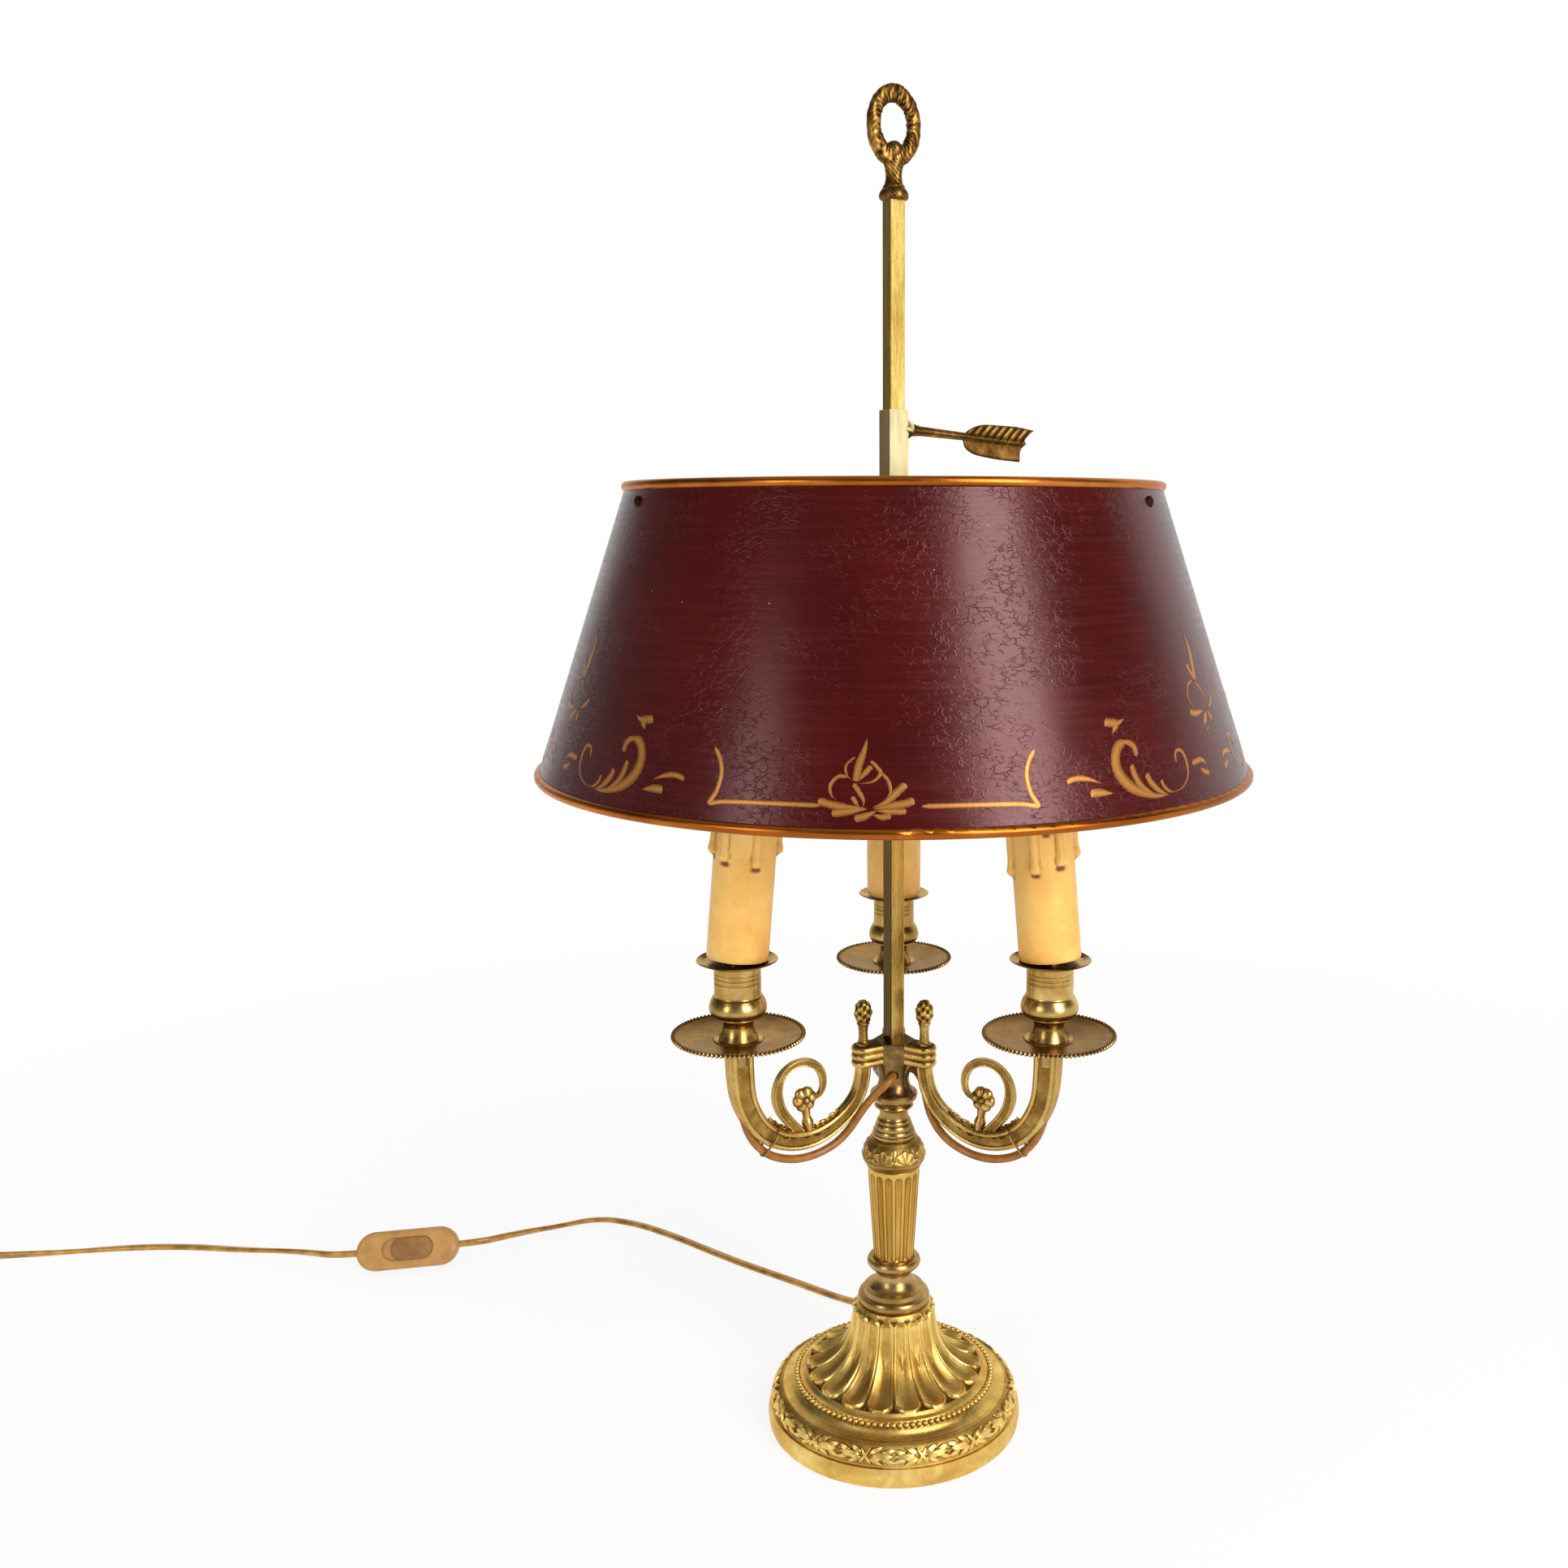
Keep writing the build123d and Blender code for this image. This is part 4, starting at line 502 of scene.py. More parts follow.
def carve(piece, depth):
    """Moves each vertex out by depth(place, normal) mm and keeps a 0 to 1 'relief' value."""
    mesh = piece.data
    normals = [vertex.normal.copy() for vertex in mesh.vertices]
    tones = []
    for vertex, normal in zip(mesh.vertices, normals):
        move, tone = depth(vertex.co / MM, normal)
        vertex.co += normal * move * MM
        tones.append(tone)
    # brass finishes that read this value as relief paint shade where it is low and a highlight
    # where it is high
    keep_values(piece, "relief", tones)
    mesh.update()
    return piece


# %% [markdown]
# ## Cast base
#
# The base is one hollow casting: a plain foot, a rounded band, a hollow moulding, a ring of
# beads and a dome with eighteen tongues. It is spun as one closed outline, so it has a real
# wall, and then the tongues are pressed into the dome by moving vertices, as a carver cuts
# them: each tongue is hollow, has a raised lip, and holds a slim husk in its upper half. A
# small pointed leaf fills the place between two tongue ends.

# %% base outline and tongues
BAND = [(65.0, 10.4), (63.3, 16.0), (60.9, 19.2), (58.8, 20.2)]
DOME = [
    (46.2, 28.8), (41.5, 29.9), (36.0, 32.2), (30.0, 37.0), (26.0, 43.0),
    (23.2, 50.0), (21.7, 58.5), (20.8, 63.5),
]
base_line = outline(
    [(66.8, 0.5), (67.3, 5.2), (66.3, 10.2)], [(65.0, 10.4)], BAND, [(58.0, 19.9)],
    [(54.5, 20.9), (52.4, 23.0)], [(51.7, 23.4), (50.6, 25.4), (50.2, 26.2)], [(48.4, 26.6)],
    [(46.2, 28.8)], spacing=0.95,
)
base_line += outline(DOME, spacing=0.62)[1:]
base_line += outline(
    [(20.8, 63.5), (19.0, 65.5)], [(5.1, 65.5)], [(5.1, 58.0)], [(17.6, 58.0)],
    [(18.6, 51.0), (21.3, 43.0), (25.8, 35.5), (33.2, 28.0)],
    [(47.2, 19.8), (59.5, 10.4), (59.5, 2.0)], [(62.5, 2.0)], [(62.5, 0.5)], spacing=3.5,
)[1:]
TONGUES = 18
BASE_STEPS = TONGUES * 26
cast_base = lathe("cast_base", base_line, BASE_STEPS, closed=True)

dome_run = outline(DOME, spacing=0.4)
dome_travel = travel_along(dome_run)
DOME_HEIGHTS = (28.7, 63.6)
DOME_RADII = (20.5, 46.3)
TONGUE_FOOT = 6.2
TONGUE_HEAD = 4.2
LEAF_REACH = 7
HUSK_START = 21


def along_dome(radius, height):
    """How far up the dome's face a point is, in mm from the dome's foot."""
    place = Vector((radius, height))
    near = min(range(len(dome_run)), key=lambda index: (dome_run[index] - place).length)
    return dome_travel[near]


travel_at = {}


def tongue(place, normal):
    """Depth and tone of the base at a place."""
    radius, angle = turn_of(place)
    outside = normal.x * place.x + normal.y * place.y > -0.2 * radius and normal.z > -0.3
    on_dome = (
        DOME_HEIGHTS[0] <= place.z <= DOME_HEIGHTS[1]
        and DOME_RADII[0] <= radius <= DOME_RADII[1]
    )
    if not (outside and on_dome):
        # off the dome, the band under the laurel gets a low tone: painted shade behind the leaves
        low_band = 10.5 < place.z < 20.0 and radius > 58
        return 0.0, 0.45 if low_band else 0.75
    key = round(place.z, 3)
    if key not in travel_at:
        travel_at[key] = along_dome(radius, place.z)
    travel = travel_at[key]
    pitch = 2 * math.pi * radius / TONGUES
    turn = (math.degrees(angle) / (360 / TONGUES) + 0.5) % 1 - 0.5
    aside = abs(turn) * pitch
    half = pitch * 0.405
    foot, head = TONGUE_FOOT, TONGUE_HEAD
    left = dome_travel[-1] - travel
    if travel < foot:
        edge = half - math.hypot(aside, (foot - travel) * half / foot)
    elif left < head:
        edge = half - math.hypot(aside, (head - left) * half / (head - 0.9))
    else:
        edge = half - aside
    lip = math.exp(-((edge + 0.15) / (0.34 + 0.011 * pitch)) ** 2 / 2)
    hollow = step_up(0.15, half * 0.85, edge)
    ground = step_up(0.3, 1.5, -edge)
    fade = step_up(0, 0.8, left)
    move = (0.62 * lip - (0.22 + 0.085 * pitch) * hollow - 0.85 * ground) * fade
    move += 0.45 * lip * step_up(LEAF_REACH, 0, travel)
    between = pitch / 2 - aside
    if travel < LEAF_REACH:
        leaf = max(0.0, 1 - between / (0.45 + 0.22 * travel)) * step_up(6.8, 3.5, travel)
        move += 1.3 * leaf * step_up(0.2, 1.5, travel)
    husk_width = 0.15 * pitch * step_up(HUSK_START, 33, travel) + 0.02
    if travel > HUSK_START:
        husk = math.sqrt(max(0.0, 1 - (aside / (husk_width * 2.1)) ** 2))
        move += 0.95 * husk * step_up(HUSK_START, 25, travel) * fade
    # the tone rises on each tongue's lip and husk and falls in its hollow and the ground between:
    # painted highlight and painted shade
    tone = 0.66 + 0.5 * lip * step_up(0.4, 0, ground) - 0.46 * ground - 0.28 * hollow
    tone += 0.25 * (travel > HUSK_START) * max(0.0, 1 - aside / (husk_width * 2 + 0.01))
    return move - 0.35, tone


carve(cast_base, tongue)
smooth(cast_base, 50)
print("cast base faces", len(cast_base.data.polygons))

# %% [markdown]
# ## Ring of beads
#
# A hundred small beads stand round the foot of the dome. One low icosphere is enough for
# each, because a bead is only 3 mm wide. It is shaped once and copied round the ring.

# %% bead ring
BEADS = 100
BEAD_PLACE = (51.9, 25.1)
BEAD_RADIUS = 1.55
bead = fresh(bpy.ops.mesh.primitive_ico_sphere_add, subdivisions=2, radius=mm(BEAD_RADIUS))
bead.data.transform(Matrix.Diagonal((1.0, 0.98, 1.0, 1.0)))
bead.data.transform(Matrix.Translation(mm(BEAD_PLACE[0], 0, BEAD_PLACE[1])))
bead_ring = join(
    "bead_ring", *[spun_about(bead, 360 * index / BEADS, f"bead_{index}") for index in range(BEADS)]
)
bpy.data.objects.remove(bead)
# the tone follows each bead's normal: a painted highlight on top and painted shade underneath
carve(bead_ring, lambda place, normal: (0, 0.25 + 0.75 * step_up(-0.3, 0.7, normal.z)))
smooth(bead_ring, 80)

# %% [markdown]
# ## Laurel band
#
# The rounded band of the foot carries a laurel garland with crossed ribbons. One leaf is made
# from a small grid: its outline is pinched to a point, and its middle is lifted to a rib. A
# ribbon is a plain bowed strap. Both are copied flat and then wrapped onto the band's face.

# %% leaves and ribbons
BAND_RADIUS = 62.5
band_run = outline(BAND, spacing=0.3)
band_travel = travel_along(band_run)


def on_band(flat):
    """Wraps a flat point (along, up, out) in mm onto the band's face."""
    along, up, out = flat
    up = min(max(up, 0.0), band_travel[-1])
    index = max(i for i, travel in enumerate(band_travel) if travel <= up)
    index = min(index, len(band_run) - 2)
    share = (up - band_travel[index]) / (band_travel[index + 1] - band_travel[index])
    here = band_run[index].lerp(band_run[index + 1], share)
    slope = (band_run[index + 1] - band_run[index]).normalized()
    radius, height = here.x + slope.y * out, here.y - slope.x * out
    angle = along / BAND_RADIUS
    return mm(radius * math.cos(angle), radius * math.sin(angle), height)


def leaf(length, width, lift):
    """A pointed leaf lying along X, as a small mesh in mm."""
    piece = fresh(bpy.ops.mesh.primitive_grid_add, x_subdivisions=9, y_subdivisions=4, size=1)
    for vertex in piece.data.vertices:
        share, aside = vertex.co.x + 0.5, vertex.co.y * 2
        breadth = math.sin(math.pi * share**0.8) ** 0.75 * (1 - 0.25 * share)
        rib = 1 - 0.55 * abs(aside) - 0.3 * abs(math.cos(math.pi * aside))
        vertex.co = (
            (share - 0.5) * length,
            aside * breadth * width / 2,
            lift * (0.12 + rib * math.sin(math.pi * share) ** 0.5) if abs(aside) < 0.99 else -0.25,
        )
    return piece


def placed(piece, along, up, turn, flip=1):
    """A flat copy turned in its plane and moved along and up the band."""
    copy = twin(piece, "sprig")
    copy.data.transform(
        Matrix.Translation((along, up, 0))
        @ Matrix.Rotation(math.radians(turn), 4, "Z")
        @ Matrix.Diagonal((1, flip, 1, 1))
    )
    return copy


laurel = leaf(11.4, 5.6, 2.0)
small_laurel = leaf(8.0, 3.9, 1.7)
ribbon = leaf(10.6, 2.7, 1.9)
sprigs = []
BINDINGS = 14
binding_step = 2 * math.pi * BAND_RADIUS / BINDINGS
for index in range(BINDINGS):
    middle = index * binding_step
    for side in (-1, 1):
        heading = 0 if side > 0 else 180
        sprigs += [
            placed(laurel, middle + side * 8.2, 5.3, heading + 4 * side),
            placed(small_laurel, middle + side * 5.4, 7.9, heading + 24 * side),
            placed(small_laurel, middle + side * 5.4, 2.9, heading - 24 * side),
            placed(small_laurel, middle + side * 11.4, 7.3, heading + 16 * side),
            placed(small_laurel, middle + side * 11.4, 3.4, heading - 16 * side),
        ]
    sprigs += [placed(ribbon, middle, 5.4, 52), placed(ribbon, middle, 5.4, 128)]
laurel_band = join("laurel_band", *sprigs)
for spare in (laurel, small_laurel, ribbon):
    bpy.data.objects.remove(spare)
# the tone follows each leaf's height: painted shade at the leaf edges and a painted highlight on
# the ribs
tones = [max(vertex.co.z / 1.3, 0.1) for vertex in laurel_band.data.vertices]
for vertex in laurel_band.data.vertices:
    vertex.co = on_band(vertex.co)
keep_values(laurel_band, "relief", tones)
apply_modifier(laurel_band, "SOLIDIFY", thickness=mm(0.5), offset=-1)
smooth(laurel_band, 60)
print("laurel band faces", len(laurel_band.data.polygons))

for piece in (cast_base, bead_ring, laurel_band):
    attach(piece, "frame")
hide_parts("base_casting")

# %% [markdown]
# ## Leaf cap, fluted shaft and ringed collar
#
# The rounded cap over the shaft carries a row of palmettes, each a fan of leaves that rises
# from its lower moulding. The shaft below it has sixteen wide flutes, open below and
# arched above, and the collar over the cap is turned into steps and rings. All three are
# spun; the fans and the flutes are then pressed in by the angle round the axis.

# %% leaf cap
CAP_FACE = [(14.6, 143.1), (16.5, 147.0), (16.0, 150.7), (14.6, 154.4), (12.3, 157.6)]
cap_line = outline([(5.1, 142.3), (14.0, 142.3)], [(14.6, 143.1)], spacing=2.0)
cap_line += outline(CAP_FACE, spacing=0.35)[1:]
cap_line += outline(
    [(12.3, 157.6), (11.4, 158.0)], [(5.1, 158.0)], [(5.1, 142.3)], spacing=2.5,
)[1:]
PALMETTES = 8
CAP_HEIGHTS = (143.4, 157.5)
CAP_RADIUS = 15.8
FAN_FOOT = 147.2
FAN_RADIUS = 8.3
FAN_RAYS = 10
leaf_crown = lathe("leaf_crown", cap_line[:-1], PALMETTES * 36, closed=True)


def palmette(place, normal):
    """Depth and tone of the leaf cap at a place."""
    radius, angle = turn_of(place)
    if not CAP_HEIGHTS[0] < place.z < CAP_HEIGHTS[1] or radius < 11.5:
        return 0.0, 0.7
    pitch = math.tau * CAP_RADIUS / PALMETTES
    across = (within(angle, PALMETTES) - 0.5) * pitch
    up = (place.z - FAN_FOOT) * 1.15
    reach = math.hypot(across, up)
    spread = math.atan2(across, max(up, 0.01))
    wave = math.cos(spread * FAN_RAYS)
    lobes = FAN_RADIUS - 1.6 * abs(spread) ** 1.5 + 0.5 * wave
    inside = step_up(lobes + 0.3, lobes - 0.5, reach) * step_up(-0.2, 0.5, up)
    fan = inside * (0.25 + 0.75 * (0.5 + 0.5 * wave)) * step_up(0.4, 2.6, reach)
    lip = inside * math.exp(-(((reach - lobes + 0.5) / 0.5) ** 2))
    aside = pitch / 2 - abs(across)
    dart = step_up(1.7, 0.3, aside) * step_up(1.0, 3.5, up) * step_up(10.4, 8.0, up)
    moulding = math.exp(-(((place.z - 145.6) / 1.2) ** 2))
    low, high = CAP_HEIGHTS
    fade = step_up(low, low + 1.0, place.z) * step_up(high, high - 1.1, place.z)
    move = (0.4 * fan + 0.2 * lip + 0.25 * dart + 0.35 * moulding - 0.3) * fade
    # high tone on the fan, its lip, the darts and the moulding: painted highlights, with painted
    # shade around them
    return move, 0.42 + 0.45 * fan + 0.3 * lip + 0.3 * dart + 0.45 * moulding


carve(leaf_crown, palmette)
smooth(leaf_crown, 60)

# %% fluted shaft
FLUTES = 16
FLUTE_HEIGHTS = (91.6, 141.8)
FLUTE_ARCH = 139.6
FLUTE_DEPTH = 0.95
shaft_line = outline([(5.1, 91.5), (10.3, 91.5)], [(10.5, 91.8)], spacing=2.5)
shaft_line += outline([(10.5, 91.8), (13.7, 142.0)], spacing=0.7)[1:]
shaft_line += outline(
    [(13.7, 142.0), (13.4, 142.3)], [(5.1, 142.3)], [(5.1, 91.5)], spacing=3.5,
)[1:]
reeded_shaft = lathe("reeded_shaft", shaft_line[:-1], FLUTES * 18, closed=True)


def flute(place, normal):
    """Hollow flutes with arched tops between narrow flat ribs."""
    radius, angle = turn_of(place)
    if radius < 10.2 or not FLUTE_HEIGHTS[0] < place.z < FLUTE_HEIGHTS[1]:
        return 0.0, 0.6
    pitch = math.tau * radius / FLUTES
    turn = within(angle, FLUTES) - 0.5
    half = pitch * 0.37
    past = max(place.z - FLUTE_ARCH + half, 0.0)
    inward = half - math.hypot(turn * pitch, past)
    hollow = math.sqrt(step_up(0.0, half, inward)) if inward > 0 else 0.0
    line = math.exp(-(((inward - 0.25) / 0.3) ** 2))
    arch = step_up(131.0, 139.0, place.z) * hollow
    # low tone in the flutes, along a dark line at their edges and under the arch: painted shade
    return -FLUTE_DEPTH * hollow, 0.92 - 0.32 * hollow - 0.55 * line - 0.22 * arch


carve(reeded_shaft, flute)
smooth(reeded_shaft, 60)

# %% ringed collar
collar_line = outline(
    [(5.1, 158.0), (11.1, 158.0)], [(11.4, 158.8), (11.2, 160.0)], [(10.7, 160.3)],
    [(10.9, 161.2), (10.4, 162.4)], [(9.8, 162.6)], [(9.8, 164.0), (9.3, 165.2)], [(8.5, 165.5)],
    [(8.9, 166.4), (8.6, 167.5)], [(7.7, 168.6), (7.35, 170.8), (7.7, 172.8), (8.6, 174.0)],
    [(9.7, 174.3)], [(10.2, 175.0), (9.9, 175.8)], [(9.4, 176.1)],
    [(10.2, 177.4), (11.7, 178.8), (12.3, 180.4)], [(12.3, 181.8)], [(11.6, 182.6)],
    [(5.1, 182.6)], [(5.1, 158.0)], spacing=0.45,
)
ringed_collar = lathe("ringed_collar", collar_line[:-1], 128, closed=True)
smooth(ringed_collar, 30)

for piece, node, slot_name in (
    (leaf_crown, "leaf_cap", "base_brass"),
    (reeded_shaft, "fluted_shaft", "column_brass"),
    (ringed_collar, "turned_collar", "column_brass"),
):
    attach(piece, "frame")
    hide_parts(node)

# %% [markdown]
# ## Cast arms
#
# Each arm is one casting: a ribbed cuff against the hub, a bar that swings down and out under
# the drip pan, a scroll with a flower at its heart, an acanthus leaf where the scroll parts
# from the bar, and a carved bud on the cuff. The bar's sides have a sunk, stippled panel
# between two raised edges. A NURBS line gives the bar its bends, and a lofted section that
# grows towards the pan gives it its body. One arm is made along +X and copied round.


# %% bars along a centre line
def centre_line(points, resolution=10):
    """Points of a smooth NURBS line through the upright plane of an arm, in mm."""
    places = [(reach, 0, height) for reach, height in points]
    data, controls = nurbs_line("line", places, resolution)
    carrier = bpy.data.objects.new("line", data)
    mesh = bpy.data.meshes.new_from_object(carrier)
    line = [vertex.co.copy() for vertex in mesh.vertices]
    bpy.data.meshes.remove(mesh)
    bpy.data.objects.remove(carrier)
    bpy.data.curves.remove(data)
    return line


def travelled(line):
    """Share of the way along the line at each of its points."""
    way = travel_along(line)
    return [value / way[-1] for value in way]


def at_share(values, share):
    """Value at a share of the way through an evenly spaced list."""
    place = share * (len(values) - 1)
    index = min(int(place), len(values) - 2)
    return values[index] + (values[index + 1] - values[index]) * (place - index)


def bar(name, line, section, radii, width=1.0):
    """A bar along a line in the XZ plane, its section (side, up) scaled by the radii.

    The 'relief' value is low on the sunk faces of the section and high on its edges."""
    rings, tones = [], []
    reach = [max(abs(x) for x, y in section), max(abs(y) for x, y in section)]
    for index, share in enumerate(travelled(line)):
        along = heading_at(line, index)
        side = Vector((0, 1, 0))
        up = along.cross(side).normalized()
        radius = at_share(radii, share)
        rings.append([
            (line[index] + side * (x * radius * width) + up * (y * radius)) * MM
            for x, y in section
        ])
        for x, y in section:
            edge = max(abs(x) / reach[0], abs(y) / reach[1])
            # low tone on the sunk panel and high on the edges: painted shade and a painted
            # highlight
            tones.append(0.44 + 0.54 * step_up(0.84, 0.99, edge))
    made = lofted(name, rings)
    keep_values(made, "relief", tones)
    return made


PANEL_HALF = [
    (0.25, 0.92), (0.50, 1.00), (0.76, 0.92), (0.88, 0.72), (0.82, 0.52),
    (0.68, 0.44), (0.66, 0.15), (0.66, -0.15), (0.68, -0.44), (0.82, -0.52),
    (0.88, -0.72), (0.76, -0.92), (0.50, -1.00), (0.25, -0.94),
]
mirrored = [(-x, y) for x, y in reversed(PANEL_HALF)]
PANELLED = mirrored[-1:] + PANEL_HALF + mirrored[:-1]
ROUND = [(math.cos(math.pi * k / 8), math.sin(math.pi * k / 8)) for k in range(16)]

# %% the bar and the scroll
arm_line = centre_line(
    [
        (18, 202.5), (18, 190.5), (26.3, 176.6), (43.5, 167.2), (60.5, 167.4),
        (75.5, 175.5), (84.5, 190.5), (87, 206), (87, 225),
    ]
)
ARM_RADII = [3.5, 3.5, 4.0, 4.8, 5.3, 5.7, 6.1, 6.3]
arm_bar = bar("arm_bar", arm_line, PANELLED, ARM_RADII)
scroll_line = centre_line(
    [
        (54.5, 171.0), (60.3, 177.5), (65.4, 184.7), (67.4, 193.2), (65.4, 201.4), (59.6, 206.8),
        (51.3, 208.0), (44.4, 204.6), (41.2, 198.2), (41.4, 191.6), (44.6, 187.6), (47.6, 187.2),
    ]
)
SCROLL_RADII = [2.7, 2.6, 2.7, 2.6, 2.1, 1.8, 1.9, 2.2, 1.9, 1.4, 0.9]
scroll_bar = bar("scroll_bar", scroll_line, PANELLED, SCROLL_RADII, width=1.15)

# %% cuff against the hub
HUB_FLAT = 9.6
CUFF_MIDDLE = 18.0
CUFF_LOW = 199.5
CUFF_HEIGHT = 11.0
CUFF_RADIUS = 5.15
RIB_HEIGHT = 1.05
CUFF_ROWS = 34


def rib_at(share):
    """Swell of the cuff's three ribs, from 0 in a groove to 1 on a rib."""
    return abs(math.sin(share * 3 * math.pi)) ** 0.7


def cuff_ring(height, radius):
    """Outline of the cuff at a height: straight sides from the hub and a round front."""
    ring = [Vector((HUB_FLAT, -radius, height)) * MM]
    for step in range(15):
        angle = math.radians(-90 + 180 * step / 14)
        ring.append(
            Vector((CUFF_MIDDLE + radius * math.cos(angle), radius * math.sin(angle), height)) * MM
        )
    ring.append(Vector((HUB_FLAT, radius, height)) * MM)
    return ring


cuff_rings = []
for row in range(CUFF_ROWS + 1):
    share = row / CUFF_ROWS
    edge = 0.5 if row in (0, CUFF_ROWS) else 0.0
    radius = CUFF_RADIUS + RIB_HEIGHT * rib_at(share) - edge
    cuff_rings.append(cuff_ring(CUFF_LOW + CUFF_HEIGHT * share, radius))
cuff = lofted("cuff", cuff_rings)
cuff_shares = [(vertex.co.z / MM - CUFF_LOW) / CUFF_HEIGHT for vertex in cuff.data.vertices]
# high tone on the ribs and low in the grooves: painted highlight and painted shade
keep_values(cuff, "relief", [0.2 + 0.7 * rib_at(share) for share in cuff_shares])

# %% bud on the cuff
bud_line = outline(
    [(0, 209.8), (3.3, 209.8)], [(3.4, 211.4), (2.5, 212.4)], [(2.3, 217.5), (2.7, 221.0)],
    [(3.3, 221.9), (2.8, 222.8)],
    [(4.1, 225.4), (4.4, 228.0), (3.6, 231.4), (1.9, 233.7), (0, 234.5)], spacing=0.4,
)
bud = lathe("bud", bud_line, 36)
BUD_LOW = 222.8
SCALE_ROW = 2.3
SCALES_ROUND = 5


def carved_bud(place, normal):
    """Scales of the bud, like a half-open cone."""
    angle = turn_of(place)[1]
    if place.z < BUD_LOW:
        return 0.12 * math.sin(place.z * 5.1 + 3 * angle), 0.55
    row = (place.z - BUD_LOW) / SCALE_ROW + 0.25 * math.sin(3 * angle)
    turn = angle * SCALES_ROUND / math.tau + 0.5 * (int(row) % 2)
    scale = math.cos(math.tau * turn) * math.sin(math.pi * (row % 1)) ** 0.6
    fade = step_up(234.6, 233.0, place.z)
    # the tone follows each scale's swell: painted highlight on the scales, painted shade between
    return 0.5 * scale * fade, 0.5 + 0.5 * scale


carve(bud, carved_bud)
bud.data.transform(Matrix.Translation(mm(CUFF_MIDDLE, 0, 0)))

# %% flower at the heart of the scroll
flower = fresh(
    bpy.ops.mesh.primitive_uv_sphere_add, segments=60, ring_count=30, radius=mm(1)
)
flower.data.transform(Matrix.Diagonal((6.3, 6.3, 2.9, 1)))


def petals(place, normal):
    """Six rolled petals round a small eye."""
    radius, turn = turn_of(place)
    petal = abs(math.cos(3 * turn + 0.4)) ** 0.5
    eye = math.exp(-((radius / 1.5) ** 2) * 1.4)
    ring = math.exp(-(((radius - 2.1) / 0.5) ** 2))
    rim = step_up(2.4, 5.4, radius)
    move = 0.95 * eye - 0.55 * ring + (0.95 * petal - 0.75) * step_up(1.8, 3.2, radius)
    # high tone on the petals and the eye: painted highlights, with painted shade in the ring
    # between
    return move + 0.2 * rim * petal, 0.15 + 0.8 * petal * step_up(1.8, 3.2, radius) + 0.6 * eye


carve(flower, petals)
flower.data.transform(
    Matrix.Translation(mm(51.7, 0, 188.0)) @ Matrix.Rotation(math.radians(90), 4, "X")
)
stem_line = centre_line([(49.4, 169.5), (50.2, 176.0), (51.2, 182.0), (51.7, 188.0)], 8)
stem = bar("stem", stem_line, ROUND, [3.4, 2.7, 3.1, 2.0, 2.3, 1.8, 2.6])

# %% acanthus leaf over the bar


def acanthus(start, end, lift):
    """A veined leaf that lies over the bar between two shares of its length."""
    ways, rings, tones = travelled(arm_line), [], []
    rows, columns = 46, 16
    for row in range(rows + 1):
        share = row / rows
        way = start + (end - start) * share
        low = max(i for i, w in enumerate(ways) if w <= way)
        low = min(low, len(ways) - 2)
        between = (way - ways[low]) / (ways[low + 1] - ways[low])
        middle = arm_line[low].lerp(arm_line[low + 1], between)
        along = (arm_line[low + 1] - arm_line[low]).normalized()
        side = Vector((0, 1, 0))
        up = side.cross(along)
        up = up if up.z > 0 else -up
        lobe = 0.72 + 0.28 * abs(math.sin(share * 5 * math.pi))
        half = math.radians(78) * max(math.sin(math.pi * (share * 0.92 + 0.06)), 0.03) ** 0.6 * lobe
        ring = []
        for column in range(columns + 1):
            aside = 2 * column / columns - 1
            angle = aside * half
            vein = 0.5 + 0.5 * math.cos((abs(aside) * 3.2 - share * 5) * math.tau)
            rib = math.exp(-((aside / 0.12) ** 2))
            out = at_share(ARM_RADII, way) + lift * share**2
            out = out + 0.9 * vein * (1 - aside**2) + 0.8 * rib
            out += 0.35 * math.sin(share * 31) * (1 - rib) - 0.4 * abs(aside) ** 3
            # the tone follows the veins and the midrib: painted highlights on them, painted shade
            # between
            tones.append(0.1 + 0.75 * vein * (1 - aside**2) + 0.6 * rib)
            ring.append(
                (middle + side * (math.sin(angle) * out * 0.9) + up * (math.cos(angle) * out)) * MM
            )
        rings.append(ring)
    piece = empty_piece("acanthus")
    net = bmesh.new()
    grid = [[net.verts.new(point) for point in ring] for ring in rings]
    for low_row, high_row in zip(grid, grid[1:]):
        bridge(net, low_row, high_row)
    write_net(net, piece)
    keep_values(piece, "relief", tones)
    if sum(face.normal.z for face in piece.data.polygons) < 0:
        piece.data.flip_normals()
    return apply_modifier(piece, "SOLIDIFY", thickness=mm(0.9), offset=-1)


leaf_inner = acanthus(0.50, 0.24, 0.4)
leaf_outer = acanthus(0.42, 0.62, 0.5)

# %% join, tone and copy the arms
arm_casting = join(
    "arm_casting", arm_bar, scroll_bar, cuff, flower, stem, leaf_inner, leaf_outer, bud
)
smooth(arm_casting, 40)
ARM_TURNS = {"left": 210, "right": -30, "rear": 90}
for place, azimuth in ARM_TURNS.items():
    piece = spun_about(arm_casting, azimuth, f"cast_arm_{place}")
    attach(piece, "frame")
    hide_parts(f"arm_{place}")
bpy.data.objects.remove(arm_casting)

# %% [markdown]
# ## Arm wires
#
# A thin round wire leaves the neck under the hub, hangs along the outside of each arm's
# bend and goes into the arm below the pan. It is a real cable, so it is one smooth curve
# with the machined wire's own route points.

